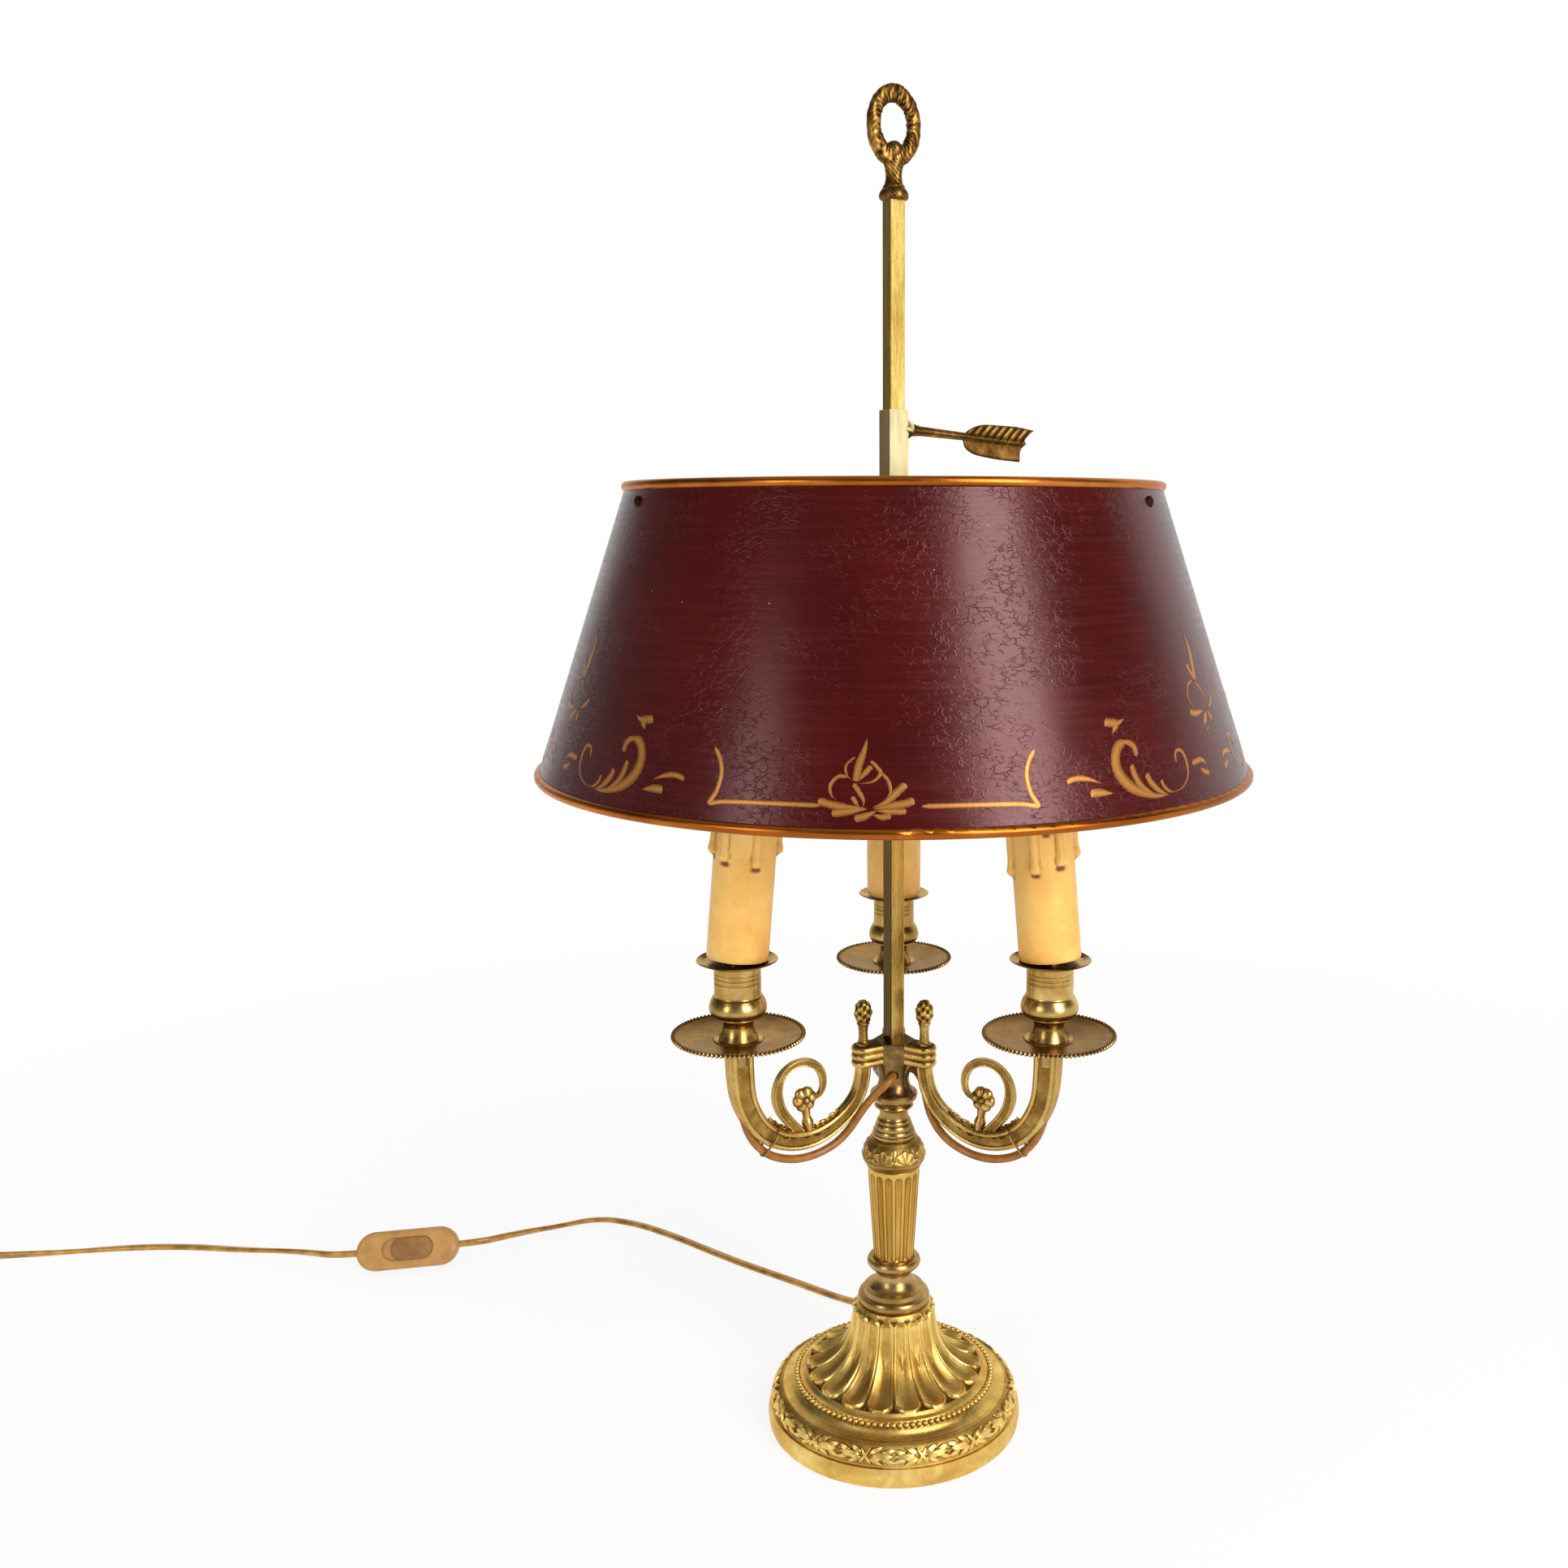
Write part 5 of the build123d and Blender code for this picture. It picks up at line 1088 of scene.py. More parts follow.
# %% arm wires
WIRE_ROUTE = [
    (1.55, 2.68, 193.6), (5.5, 9.53, 193.6), (12.0, 8.5, 188.8), (17.0, 4.0, 181.3),
    (20.5, 1.0, 174.6), (26.0, 0, 166.8), (34.0, 0, 160.4), (47.0, 0, 156.6), (60.5, 0, 157.4),
    (74.0, 0, 163.4), (83.4, 0, 176.0), (87.0, 0, 193.5), (87.0, 0, 264.5),
]
WIRE_RADIUS = 2.1
for place, azimuth in ARM_TURNS.items():
    turn = Matrix.Rotation(math.radians(azimuth), 3, "Z")
    route = [turn @ mm(*point) for point in WIRE_ROUTE]
    data, controls = nurbs_line(f"arm_cable_{place}", route, 8)
    for control in controls:
        control.radius = mm(WIRE_RADIUS)
    data.bevel_depth = 1.0
    data.bevel_resolution = 4
    data.use_fill_caps = True
    cable = linked(f"arm_cable_{place}", data)
    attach(cable, "frame")
    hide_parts(f"arm_wire_{place}")

# %% [markdown]
# ## Drip pans, candle cups and their lines
#
# The pans are spun from sheet and have a milled edge, like a coin. The cups are turned from
# bar: fine lines are scratched round the collar and a step runs under the belly. One of
# each is made on the lamp's axis, moved out to the cup and copied round.

# %% drip pan
CUP_REACH = 87.0
MILLING = 92
MILLED_FROM = 30.8
pan_line = outline([(5.0, 224.8), (11.5, 224.8)], [(24.1, 226.2), (31.3, 227.6)], spacing=1.6)
pan_line += outline(
    [(31.3, 227.6), (32.0, 227.9), (32.3, 228.5), (31.9, 229.1), (31.1, 229.2)], spacing=0.3,
)[1:]
pan_line += outline(
    [(31.1, 229.2), (30.5, 228.7), (29.6, 228.5)], [(23.8, 227.35), (12.6, 226.15)],
    [(12.0, 226.7), (11.2, 226.6), (10.4, 226.1)], [(5.0, 226.0)], spacing=1.1,
)[1:]
pan = lathe("pan", pan_line, MILLING * 5, closed=True)


def milled(place, normal):
    """Notches round the pan's edge."""
    radius, angle = turn_of(place)
    # high tone on each tooth and near the middle: the finish paints highlights there and shade
    # between the teeth
    if radius < MILLED_FROM:
        return 0.0, 0.62 + 0.3 * step_up(14, 9, radius)
    wave = math.cos(angle * MILLING)
    return 0.42 * wave, 0.5 + 0.5 * wave


carve(pan, milled)
smooth(pan, 45)

# %% candle cup
cup_line = outline(
    [(5.0, 226.0), (9.5, 226.0)], [(9.7, 226.7), (9.4, 227.2)],
    [(8.2, 229.6), (7.4, 233.0), (7.7, 235.4), (8.6, 236.6)], [(9.3, 236.9), (9.2, 237.5)],
    [(12.3, 238.6), (13.7, 240.4), (14.0, 242.8), (13.4, 245.4), (12.05, 248.0)],
    [(11.5, 248.3), (11.35, 249.0)], [(11.35, 255.0)],
    [(11.1, 255.3), (11.1, 255.7), (11.35, 256.0)], [(11.35, 257.4)],
    [(11.1, 257.7), (11.1, 258.1), (11.35, 258.4)], [(11.35, 259.6)],
    [(11.15, 259.8), (11.15, 260.1), (11.35, 260.3)], [(11.35, 263.6)],
    [(11.9, 263.9), (11.9, 264.5)], [(9.9, 264.5)], [(9.9, 243.0)], [(5.0, 243.0)],
    [(5.0, 226.0)], spacing=0.7,
)
cup = lathe("cup", cup_line[:-1], 96, closed=True)
smooth(cup, 38)

for place, azimuth in ARM_TURNS.items():
    for source, name, node, slot_name in (
        (pan, "milled_pan", "drip_pan", "pan_bronze"),
        (cup, "turned_cup", "candle_cup", "column_brass"),
    ):
        piece = twin(source, f"{name}_{place}")
        piece.data.transform(
            Matrix.Rotation(math.radians(azimuth), 4, "Z") @ Matrix.Translation(mm(CUP_REACH, 0, 0))
        )
        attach(piece, "frame")
        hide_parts(f"{node}_{place}")
bpy.data.objects.remove(pan)
bpy.data.objects.remove(cup)

# %% [markdown]
# ## Candle sleeves with wax drips
#
# A sleeve is a card tube dipped in wax-coloured plastic. Thick drips run down its upper
# half and end in rounded drops with brown dirt under them, and a painted shade line runs
# along each drip's edge. The tube is spun, its vertices are pushed out along each drip, and
# the dirt and the painted shade are kept as one value on the vertices for the material to read.

# %% dripped sleeves
SLEEVE_RADIUS = 15.0
SLEEVE_LOW = 267.2
sleeve_line = outline([(13.8, 0), (14.9, 0)], [(15.0, 0.3)], spacing=1.0)
sleeve_line += outline([(15.0, 0.3), (15.0, 36.0)], spacing=3.0)[1:]
sleeve_line += outline([(15.0, 36.0), (15.0, 99.4)], spacing=0.9)[1:]
sleeve_line += outline(
    [(15.0, 99.4), (14.5, 100.0)], [(13.8, 100.0)], [(13.8, 0)], spacing=4.0,
)[1:]
DRIPS = {
    "left": [
        (-71, 50), (-33, 48), (26, 46), (96, 51),
        (-6, 66), (135, 46), (170, 58), (215, 41), (255, 60),
    ],
    "right": [
        (-80, 41), (-20, 43), (27, 46), (88, 47),
        (4, 62), (125, 52), (165, 44), (215, 57), (245, 49),
    ],
    "rear": [(-48, 50), (12, 44), (62, 56), (105, 43), (150, 61), (196, 47), (240, 53), (285, 42)],
}
DRIP_WIDTH = 2.45
DRIP_DEPTH = 2.3
SKIRT_HEIGHT = 70
CANDLE_LEAN = 5.5
CANDLE_PIVOT = 265.3


def drips_of(marks):
    """Depth of a sleeve's surface for its drips, each a (turn in degrees, lower end in mm)."""

    def depth(place, normal):
        radius, angle = turn_of(place)
        turn = math.degrees(angle)
        if radius <= 14.4:
            return 0.0, 0.0
        cover, soot = 0.0, 0.0
        for mark, end in marks:
            away = (turn - mark + 180) % 360 - 180
            across = abs(away) * math.pi / 180 * SLEEVE_RADIUS
            swell = 1 + 0.35 * math.exp(-(((place.z - end - 2.5) / 3.2) ** 2))
            width = DRIP_WIDTH * swell * (0.82 + 0.30 * step_up(60, 95, place.z))
            tip = max(0.0, (end + width - place.z) / width) if place.z < end + width else 0.0
            inside = 1 - (across / width) ** 2 - tip * tip
            if inside > 0:
                cover = max(cover, DRIP_DEPTH * swell * math.sqrt(inside))
            # a brown line along each drip's edge: painted shade in the crease
            soot = max(soot, 0.42 * math.exp(-(((inside + 0.1) / 0.35) ** 2)))
            smear = mark * 0.37 % 1
            low = place.z - end + 0.2 + 0.8 * smear
            below = math.exp(-((low / (0.7 + 0.8 * smear)) ** 2))
            soot = max(soot, below * math.exp(-(((across - smear) / 1.9) ** 2)))
        skirt = SKIRT_HEIGHT + 5 * math.sin(math.radians(turn * 3))
        skirt += 3 * math.sin(math.radians(turn * 7 + 40))
        cover = max(cover, step_up(skirt - 3, skirt + 1.5, place.z))
        top = step_up(100.2, 98.5, place.z)
        return cover * max(top, 0.55), soot

    return depth


for place, azimuth in ARM_TURNS.items():
    sleeve = lathe(f"dripped_sleeve_{place}", sleeve_line[:-1], 132, closed=True)
    # the marks are counted from the side that faces the viewer, so the sleeve is turned there
    facing = -90 - azimuth
    marks = [(mark + facing, end) for mark, end in DRIPS[place]]
    carve(sleeve, drips_of(marks))
    sleeve.data.attributes["relief"].name = "soot"
    smooth(sleeve, 50)
    pivot = Matrix.Translation(mm(CUP_REACH, 0, CANDLE_PIVOT))
    sleeve.data.transform(
        Matrix.Rotation(math.radians(azimuth), 4, "Z")
        @ pivot
        @ Matrix.Rotation(math.radians(-CANDLE_LEAN), 4, "Y")
        @ Matrix.Translation(mm(0, 0, SLEEVE_LOW - CANDLE_PIVOT))
    )
    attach(sleeve, "frame")
    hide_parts(f"candle_sleeve_{place}")

# %% [markdown]
# ## Painted shade
#
# The shade is a cone of thin sheet, so its skin is spun as a slim closed outline and keeps
# its real 0.7 mm wall. The outside takes the lacquer and the inside a pale paint. A UV map
# holds the unrolled surface in metres, so that brush lines can follow the sheet round.

# %% shade skin
SHADE_TOP, SHADE_LOW = (128.0, 489.5), (173.0, 354.6)
SHEET = 0.7
SHADE_STEPS = 256
shade_slope = (SHADE_LOW[0] - SHADE_TOP[0]) / (SHADE_TOP[1] - SHADE_LOW[1])
slant = math.hypot(1, shade_slope)
SHADE_ROWS = 12
outer_run = [
    Vector(SHADE_LOW).lerp(Vector(SHADE_TOP), row / SHADE_ROWS) for row in range(SHADE_ROWS + 1)
]
inner_run = [point - Vector((SHEET, 0)) for point in reversed(outer_run)]
lacquered_shade = lathe("lacquered_shade", outer_run + inner_run, SHADE_STEPS, closed=True)
unrolled = lacquered_shade.data.uv_layers.new(name="unrolled")
middle_radius = (SHADE_TOP[0] + SHADE_LOW[0]) / 2
skin = lacquered_shade.data
for face in skin.polygons:
    inside = face.normal.x * face.center.x + face.normal.y * face.center.y < 0
    face.material_index = 1 if inside else 0
    middle = math.atan2(face.center.y, face.center.x)
    for loop in face.loop_indices:
        place = skin.vertices[skin.loops[loop].vertex_index].co
        turn = math.atan2(place.y, place.x)
        turn += math.tau * round((middle - turn) / math.tau)
        unrolled.data[loop].uv = (turn * mm(middle_radius), place.z * slant)
smooth(lacquered_shade, 40)
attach(lacquered_shade, "shade")
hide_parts("shade_shell")

# %% [markdown]
# ## Gilt brushwork
#
# The ornament is painted by hand in gold: a lotus bud between two brackets, a pair of
# acanthus curls beside them, and a taller bud between two pairs, three times round. A stroke
# is a flat strip along a flowing line. It swells from a round start to a pointed end, and is
# wrapped onto the cone a tenth of a millimetre proud, as thick paint stands.

# %% brush strokes
STROKE_LIFT = (-0.03, 0.06, 0.10, 0.11, 0.10, 0.06, -0.03)


def on_shade(azimuth, across, up, lift):
    """A point on the shade's outside: mm across from an azimuth, up the slope, and proud."""
    height = SHADE_LOW[1] + up / slant
    radius = SHADE_LOW[0] - (height - SHADE_LOW[1]) * shade_slope
    angle = math.radians(azimuth) + across / radius
    radius, height = radius + lift / slant, height + lift * shade_slope / slant
    return mm(radius * math.cos(angle), radius * math.sin(angle), height)


def stroke(net, tone, azimuth, wide, points, blunt=False, flip=1):
    """Adds one brush stroke to the net; 'tone' keeps how near a vertex is to the middle."""
    line = flowing(points, 0.8)
    rows = []
    for index, here in enumerate(line):
        way = heading_at(line, index)
        side = Vector((-way.y, way.x))
        share = index / (len(line) - 1)
        start = math.sqrt(max(0.0, 1 - max(0.0, 1 - share / 0.09) ** 2))
        if blunt:
            end = math.sqrt(max(0.0, 1 - max(0.0, 1 - (1 - share) / 0.05) ** 2))
        else:
            end = min(1.0, (1 - share) * 1.9) ** 0.8
        half = max(0.06, wide / 2 * start * end * (1 + 0.06 * math.sin(index * 1.9)))
        row = []
        for column, lift in enumerate(STROKE_LIFT):
            aside = column / 3 - 1
            flat = here + side * (aside * half)
            vertex = net.verts.new(on_shade(azimuth, flip * flat.x, flat.y, lift))
            vertex[tone] = (1 - abs(aside)) * min(1.0, half / 0.9)
            row.append(vertex)
        rows.append(row)
    for low, high in zip(rows, rows[1:]):
        for column in range(len(STROKE_LIFT) - 1):
            corners = (low[column], high[column], high[column + 1], low[column + 1])
            net.faces.new(corners if flip > 0 else corners[::-1])


BUD = [
    (3.6, [(-6, 20.5), (-5, 27), (-3, 33), (-2, 38)]),
    (2.6, [(0, 27), (-2.5, 24), (-5.5, 20.5)]),
    (1.2, [(-6.5, 30.5), (-10, 27), (-9.5, 23), (-6, 20)]),
    (1.7, [(-0.5, 29), (2, 26.5), (3.5, 24), (1, 21), (-3, 20), (-6, 20)]),
    (1.8, [(-9, 22.5), (-13, 22.5), (-16, 19), (-15.5, 15), (-13, 13)]),
    (1.5, [(3.5, 24.5), (6.5, 21), (7.5, 17), (6.5, 15), (5, 12.5)]),
    (2.2, [(-7, 20), (-5, 17), (-3, 13.5), (-3, 10.5)]),
    (2.0, [(-7.5, 15), (-6, 12.5), (-4.5, 10.5)]),
    (3.6, [(-21, 13), (-16, 11.5), (-8.5, 10.5), (-2, 10.5)]),
    (3.8, [(-15.5, 8), (-11.5, 8.5), (-6, 9.5), (-1, 10)]),
    (3.6, [(-6.5, 6), (-2.5, 7), (2.5, 9.5)]),
    (3.0, [(8, 7.5), (4.5, 6.8), (0.5, 7.8)]),
    (3.6, [(13.5, 20), (10, 16.5), (5.5, 12.5), (0.5, 10.5)]),
    (3.8, [(17, 13.5), (13, 12), (6.5, 11), (0.5, 10)]),
    (2.8, [(14, 9), (7.5, 9), (1, 9.5)]),
]
CURL = [
    (2.3, [(19.5, 11), (40, 11), (59, 10.5), (68, 9)], True),
    (2.5, [(65.5, 32), (63, 27.5), (62, 22), (63.5, 15.5), (65.5, 12), (68, 9)], True),
    (3.2, [(116, 25.5), (114, 30), (109, 32), (105.5, 29.5)]),
    (5.6, [
        (109.5, 32.2), (105.3, 30), (104, 24), (107, 17.5),
        (114.5, 11.8), (125.5, 8.3), (135.5, 7.8),
    ]),
    (3.4, [(112.5, 22.5), (114.5, 17.5), (118.5, 12.5), (127, 8)]),
    (3.4, [(121, 18), (123.5, 14), (128.5, 10), (134, 7.8)]),
    (1.8, [(130, 14.5), (131.5, 11.5), (135, 9), (140, 8)]),
    (1.9, [(141, 20), (141, 24.5), (145, 25), (148.5, 20.5), (149, 14), (144, 9.5), (135, 8)]),
    (4.2, [(98.5, 41), (102.5, 40.3), (106.5, 40.2), (109.5, 41.8)]),
    (3.6, [(105.5, 41), (104.5, 38.5), (103, 36)]),
    (2.8, [(79.5, 17.8), (84, 19), (89.5, 18.5), (97, 16)]),
    (4.0, [(90.5, 12.5), (95.5, 12.5), (102.5, 11.5)]),
    (3.2, [(153, 18.5), (161.5, 19), (167, 16)]),
    (2.8, [(168, 12.5), (163, 14), (159, 16)]),
]
TALL_BUD = [
    (4.2, [(2, 53), (4, 61), (5, 68), (3, 76)]),
    (3.0, [(-2.5, 61), (-0.5, 57), (3, 52)]),
    (1.5, [(-1, 53.5), (-7, 51.5), (-9.5, 46), (-6, 41), (-2, 39.5)]),
    (1.5, [(1, 53), (6, 48), (9, 43), (10, 39)]),
    (2.4, [(17, 45), (14, 42), (8, 39.5)]),
    (3.8, [(-12, 40), (-6, 39), (2, 39.5)]),
    (3.6, [(-1, 33.5), (2, 36), (6, 39.5)]),
    (2.6, [(9.5, 34), (8, 37), (6, 39.5)]),
    (1.3, [(3.5, 31.5), (1, 31), (0.5, 29), (3, 28.5)]),
]
ORNAMENT_FRONT = -93.0
gilt_strokes = empty_piece("gilt_strokes")
net = bmesh.new()
tone = net.verts.layers.float.new("body")
for third in range(3):
    front = ORNAMENT_FRONT + 120 * third
    for wide, points in BUD:
        stroke(net, tone, front, wide, points)
    for wide, points, *blunt in CURL:
        for flip in (1, -1):
            stroke(net, tone, front, wide, points, blunt=bool(blunt), flip=flip)
    for wide, points in TALL_BUD:
        stroke(net, tone, front + 60, wide, points)
net.to_mesh(gilt_strokes.data)
net.free()
outward = sum(
    face.normal.x * face.center.x + face.normal.y * face.center.y
    for face in gilt_strokes.data.polygons
)
if outward < 0:
    gilt_strokes.data.flip_normals()
apply_modifier(gilt_strokes, "SOLIDIFY", thickness=mm(0.25), offset=-1)
smooth(gilt_strokes, 80)
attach(gilt_strokes, "shade")
print("brush stroke faces", len(gilt_strokes.data.polygons))

# %% [markdown]
# ## Feathered key
#
# The clamping key looks like the end of an arrow: a turned shank and a cast feather with a
# raised shaft. The upper barbs are cut with slanting grooves and the lower ones are nearly
# smooth. The feather is a grid of points between its shaft and its two edges, thickened
# along its own normal, and turned to the key's axis at the end.

# %% key feather
KEY_AXIS_HEIGHT = 517.6
KEY_SLOPE = 4.3
KEY_AZIMUTH = 30.0
FEATHER_START, FEATHER_END = 40.3, 76.6
BARB_PITCH = 4.3
UPPER_EDGE = [
    (40.8, 2.0), (43.5, 4.0), (47.5, 5.9), (52.5, 7.0), (62.0, 7.5), (71.5, 7.8), (81.5, 7.0),
]
LOWER_EDGE = [
    (39.9, -2.4), (41.2, -5.2), (44.5, -7.3), (48.9, -8.4),
    (56.0, -9.0), (63.1, -9.3), (74.1, -9.3),
]
UPPER_END = [(76.6, 0.0), (75.4, 1.6), (77.5, 4.2), (81.5, 7.0)]
LOWER_END = [(76.6, 0.0), (73.6, -2.6), (73.7, -6.0), (74.1, -9.3)]


def along_points(points, share):
    """Point at a share of the way through a short flowing line."""
    line = flowing(points, 0.25)
    return line[round(share * (len(line) - 1))]


def feather_half(edge, end, upward):
    """Rows of points from the feather's shaft to one edge, for one side of its thickness."""
    rows = []
    columns, levels = 84, 12
    for column in range(columns + 1):
        share = column / columns
        rim = along_points(edge, share)
        row = []
        for level in range(levels + 1):
            out = level / levels
            tip = along_points(end, out)
            shaft = FEATHER_START + (FEATHER_END - FEATHER_START) * share
            along = shaft + (rim.x - shaft) * out
            if share > 0.9:
                along += (tip.x - along) * ((share - 0.9) / 0.1) ** 1.5
            height = rim.y * out
            slanted = along - abs(height) * 0.9
            groove = 0.5 + 0.5 * math.cos(slanted / BARB_PITCH * math.tau)
            deep = 0.62 if upward else 0.14
            body = 1.45 - 0.62 * out - deep * groove * step_up(0.12, 0.35, out)
            body += 0.85 * math.exp(-((height / 1.15) ** 2))
            body *= step_up(-0.25, 0.10, share) * (1 if out < 0.97 else 0.45)
            row.append((along, height, body, groove))
        rows.append(row)
    return rows


feather = empty_piece("feather")
net = bmesh.new()
tone = net.verts.layers.float.new("relief")
for upward, edge, end in ((True, UPPER_EDGE, UPPER_END), (False, LOWER_EDGE, LOWER_END)):
    rows = feather_half(edge, end, upward)
    for face_side in (1, -1):
        grid = []
        for row in rows:
            line = []
            for along, height, body, groove in row:
                vertex = net.verts.new((along * MM, face_side * body * MM / 1.35, height * MM))
                # the grooves get a low tone: painted shade in the grooves, painted highlight on the
                # barbs
                vertex[tone] = 0.75 - (0.6 if upward else 0.25) * groove
                line.append(vertex)
            grid.append(line)
        for low, high in zip(grid, grid[1:]):
            bridge(net, low, high)
        if face_side > 0:
            front_grid = grid
    for rim_a, rim_b in (
        ([row[-1] for row in front_grid], [row[-1] for row in grid]),
        (front_grid[0], grid[0]),
        (front_grid[-1], grid[-1]),
    ):
        bridge(net, rim_a, rim_b)
bmesh.ops.remove_doubles(net, verts=net.verts, dist=1e-6)
write_net(net, feather)

shank_line = outline(
    [(0, 4.4), (2.0, 4.4)], [(2.0, 11.2)], [(2.9, 11.2)], [(2.6, 13.0), (2.3, 15.0)],
    [(1.9, 40.0), (1.6, 50.0), (0.9, 60.0), (0, 61.0)], spacing=1.5,
)
shank = lathe("shank", shank_line, 40)
shank.data.transform(Matrix.Rotation(math.radians(90), 4, "Y"))
keep_values(shank, "relief", [0.7] * len(shank.data.vertices))
feathered_key = join("feathered_key", feather, shank)
feathered_key.data.transform(
    Matrix.Translation(mm(0, 0, KEY_AXIS_HEIGHT))
    @ Matrix.Rotation(math.radians(KEY_AZIMUTH), 4, "Z")
    @ Matrix.Rotation(math.radians(KEY_SLOPE), 4, "Y")
)
smooth(feathered_key, 55)
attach(feathered_key, "key")
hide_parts("arrow_key")

# %% [markdown]
# ## Wreath ring
#
# The lamp is lifted by a cast ring: a wreath with a worn leaf pattern, a line of beads along
# its edge and a berry where it meets its foot. The wreath is lofted as rings of points round
# an oval, wider at the top, and the leaves are pressed into it.

# %% wreath
RING_MIDDLE = 654.5
RING_RINGS = 168
RING_SECTION = 28
RING_OUTSIDE = (14.0, 18.7)
RING_INSIDE = (7.5, 9.6)
wreath_rings, wreath_tones = [], []
for step in range(RING_RINGS):
    angle = math.tau * step / RING_RINGS
    across, up = math.sin(angle), math.cos(angle)
    outer = Vector((RING_OUTSIDE[0] * across, RING_OUTSIDE[1] * up))
    inner = Vector((RING_INSIDE[0] * across, RING_INSIDE[1] * up + 0.2))
    middle, reach = (outer + inner) / 2, (outer - inner).length / 2
    away = (outer - inner).normalized()
    deep = 3.1 - 0.25 * up
    ring = []
    for index in range(RING_SECTION):
        turn = math.tau * index / RING_SECTION
        x, y = math.cos(turn), math.sin(turn)
        squared = 1 / max(abs(x), abs(y)) ** 0.45
        leafy = math.sin(angle * 9 + 3 * math.sin(turn + angle * 2)) * math.sin(angle * 5 - turn)
        edge = math.exp(-(((abs(y) - 0.75) / 0.2) ** 2)) * (x < 0)
        beads = math.cos(angle * 40) * edge
        veins = math.sin(angle * 31 + 4 * math.sin(turn * 2 + angle * 3))
        lift = 0.22 * leafy + 0.16 * beads + 0.10 * veins - 0.1
        flat = middle + away * (x * squared * (reach + lift) * 0.97)
        side = y * squared * (deep + lift) * 0.95
        ring.append(Vector((flat.x, side, flat.y + RING_MIDDLE)) * MM)
        # the tone follows the leaves, beads and veins: painted highlights on them, painted shade
        # between
        wreath_tones.append(0.5 + 0.35 * leafy + 0.35 * beads + 0.2 * veins)
    wreath_rings.append(ring)
wreath = lofted("wreath", wreath_rings, round_trip=True)
keep_values(wreath, "relief", wreath_tones)

foot_line = outline(
    [(0, 613.2), (2.0, 613.2)], [(2.0, 621.2)], [(5.2, 621.2)],
    [(6.7, 622.0), (7.0, 623.6), (6.4, 625.4), (5.2, 626.8)], [(5.0, 627.8), (4.3, 628.6)],
    [(3.8, 631.4), (4.0, 634.5), (5.0, 638.5)], [(0, 639.5)], spacing=0.5,
)
foot = lathe("foot", foot_line, 48)
berry = fresh(
    bpy.ops.mesh.primitive_uv_sphere_add, segments=36, ring_count=18, radius=mm(4.2)
)
berry.data.transform(Matrix.Translation(mm(0, 0, RING_MIDDLE - 10.8)))


def worn(place, normal):
    """Shallow dents of an old casting."""
    wave = math.sin(place.x * 2.1 + place.z * 1.3) * math.sin(place.y * 2.4 - place.z * 1.7)
    near = 0.18 if place.z > 627 else 0.0
    return near * wave, 0.55 + 0.4 * wave


for piece in (foot, berry):
    carve(piece, worn)
wreath_ring = join("wreath_ring", wreath, foot, berry)
wreath_ring.data.transform(Matrix.Rotation(math.radians(KEY_AZIMUTH), 4, "Z"))
smooth(wreath_ring, 60)
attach(wreath_ring, "frame")
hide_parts("ring_finial")

# %% [markdown]
# ## Finishes
#
# Every finish is made of textures in real sizes, so it fits whatever wears it. Colours are
# written as sRGB hex values. Sculpted pieces carry a value called `relief`, 0 in a recess
# and 1 on a ridge: the cast brass finishes paint shade, with some tarnish, into the recesses
# and a highlight onto the ridges.


# %% material tools
def hex_colour(text):
    """Linear colour for a shader from an sRGB hex colour."""
    channels = [int(text[index : index + 2], 16) / 255 for index in (1, 3, 5)]
    linear = [c / 12.92 if c <= 0.04045 else ((c + 0.055) / 1.055) ** 2.4 for c in channels]
    return (*linear, 1.0)


def add_node(tree, kind, settings=None, **inputs):
    """Adds a shader node; an input is a value, or a socket that gets linked to it."""
    made = tree.nodes.new("ShaderNode" + kind)
    for key, value in (settings or {}).items():
        setattr(made, key, value)
    for key, value in inputs.items():
        socket = made.inputs[key.replace("_", " ")]
        if isinstance(value, bpy.types.NodeSocket):
            tree.links.new(value, socket)
        else:
            socket.default_value = value
    return made


def new_finish(name, **shader_inputs):
    """A material with one Principled shader: returns its tree, shader and coordinates."""
    material = bpy.data.materials.new(name)
    material.use_nodes = True
    tree = material.node_tree
    tree.nodes.clear()
    shader = add_node(tree, "BsdfPrincipled", **shader_inputs)
    output = add_node(tree, "OutputMaterial")
    tree.links.new(shader.outputs[0], output.inputs[0])
    where = add_node(tree, "TexCoord").outputs["Object"]
    return material, tree, shader, where


def noise(tree, where, size, detail=4.0, rough=0.55, stretch=None, warp=0.0):
    """Noise whose blotches are 'size' mm; 'stretch' squeezes it along an axis."""
    if stretch:
        where = add_node(tree, "Mapping", Vector=where, Scale=stretch).outputs[0]
    texture = add_node(
        tree, "TexNoise", Vector=where, Scale=1 / mm(size), Detail=detail, Roughness=rough,
        Distortion=warp,
    )
    return texture.outputs["Fac"]


def ramp(tree, value, *stops):
    """Colours or greys along a value; a stop is (place, hex colour or grey)."""
    made = add_node(tree, "ValToRGB", Fac=value)
    elements = made.color_ramp.elements
    while len(elements) < len(stops):
        elements.new(0.5)
    for element, (place, colour) in zip(elements, stops):
        element.position = place
        element.color = hex_colour(colour) if isinstance(colour, str) else (colour,) * 3 + (1,)
    return made.outputs["Color"]


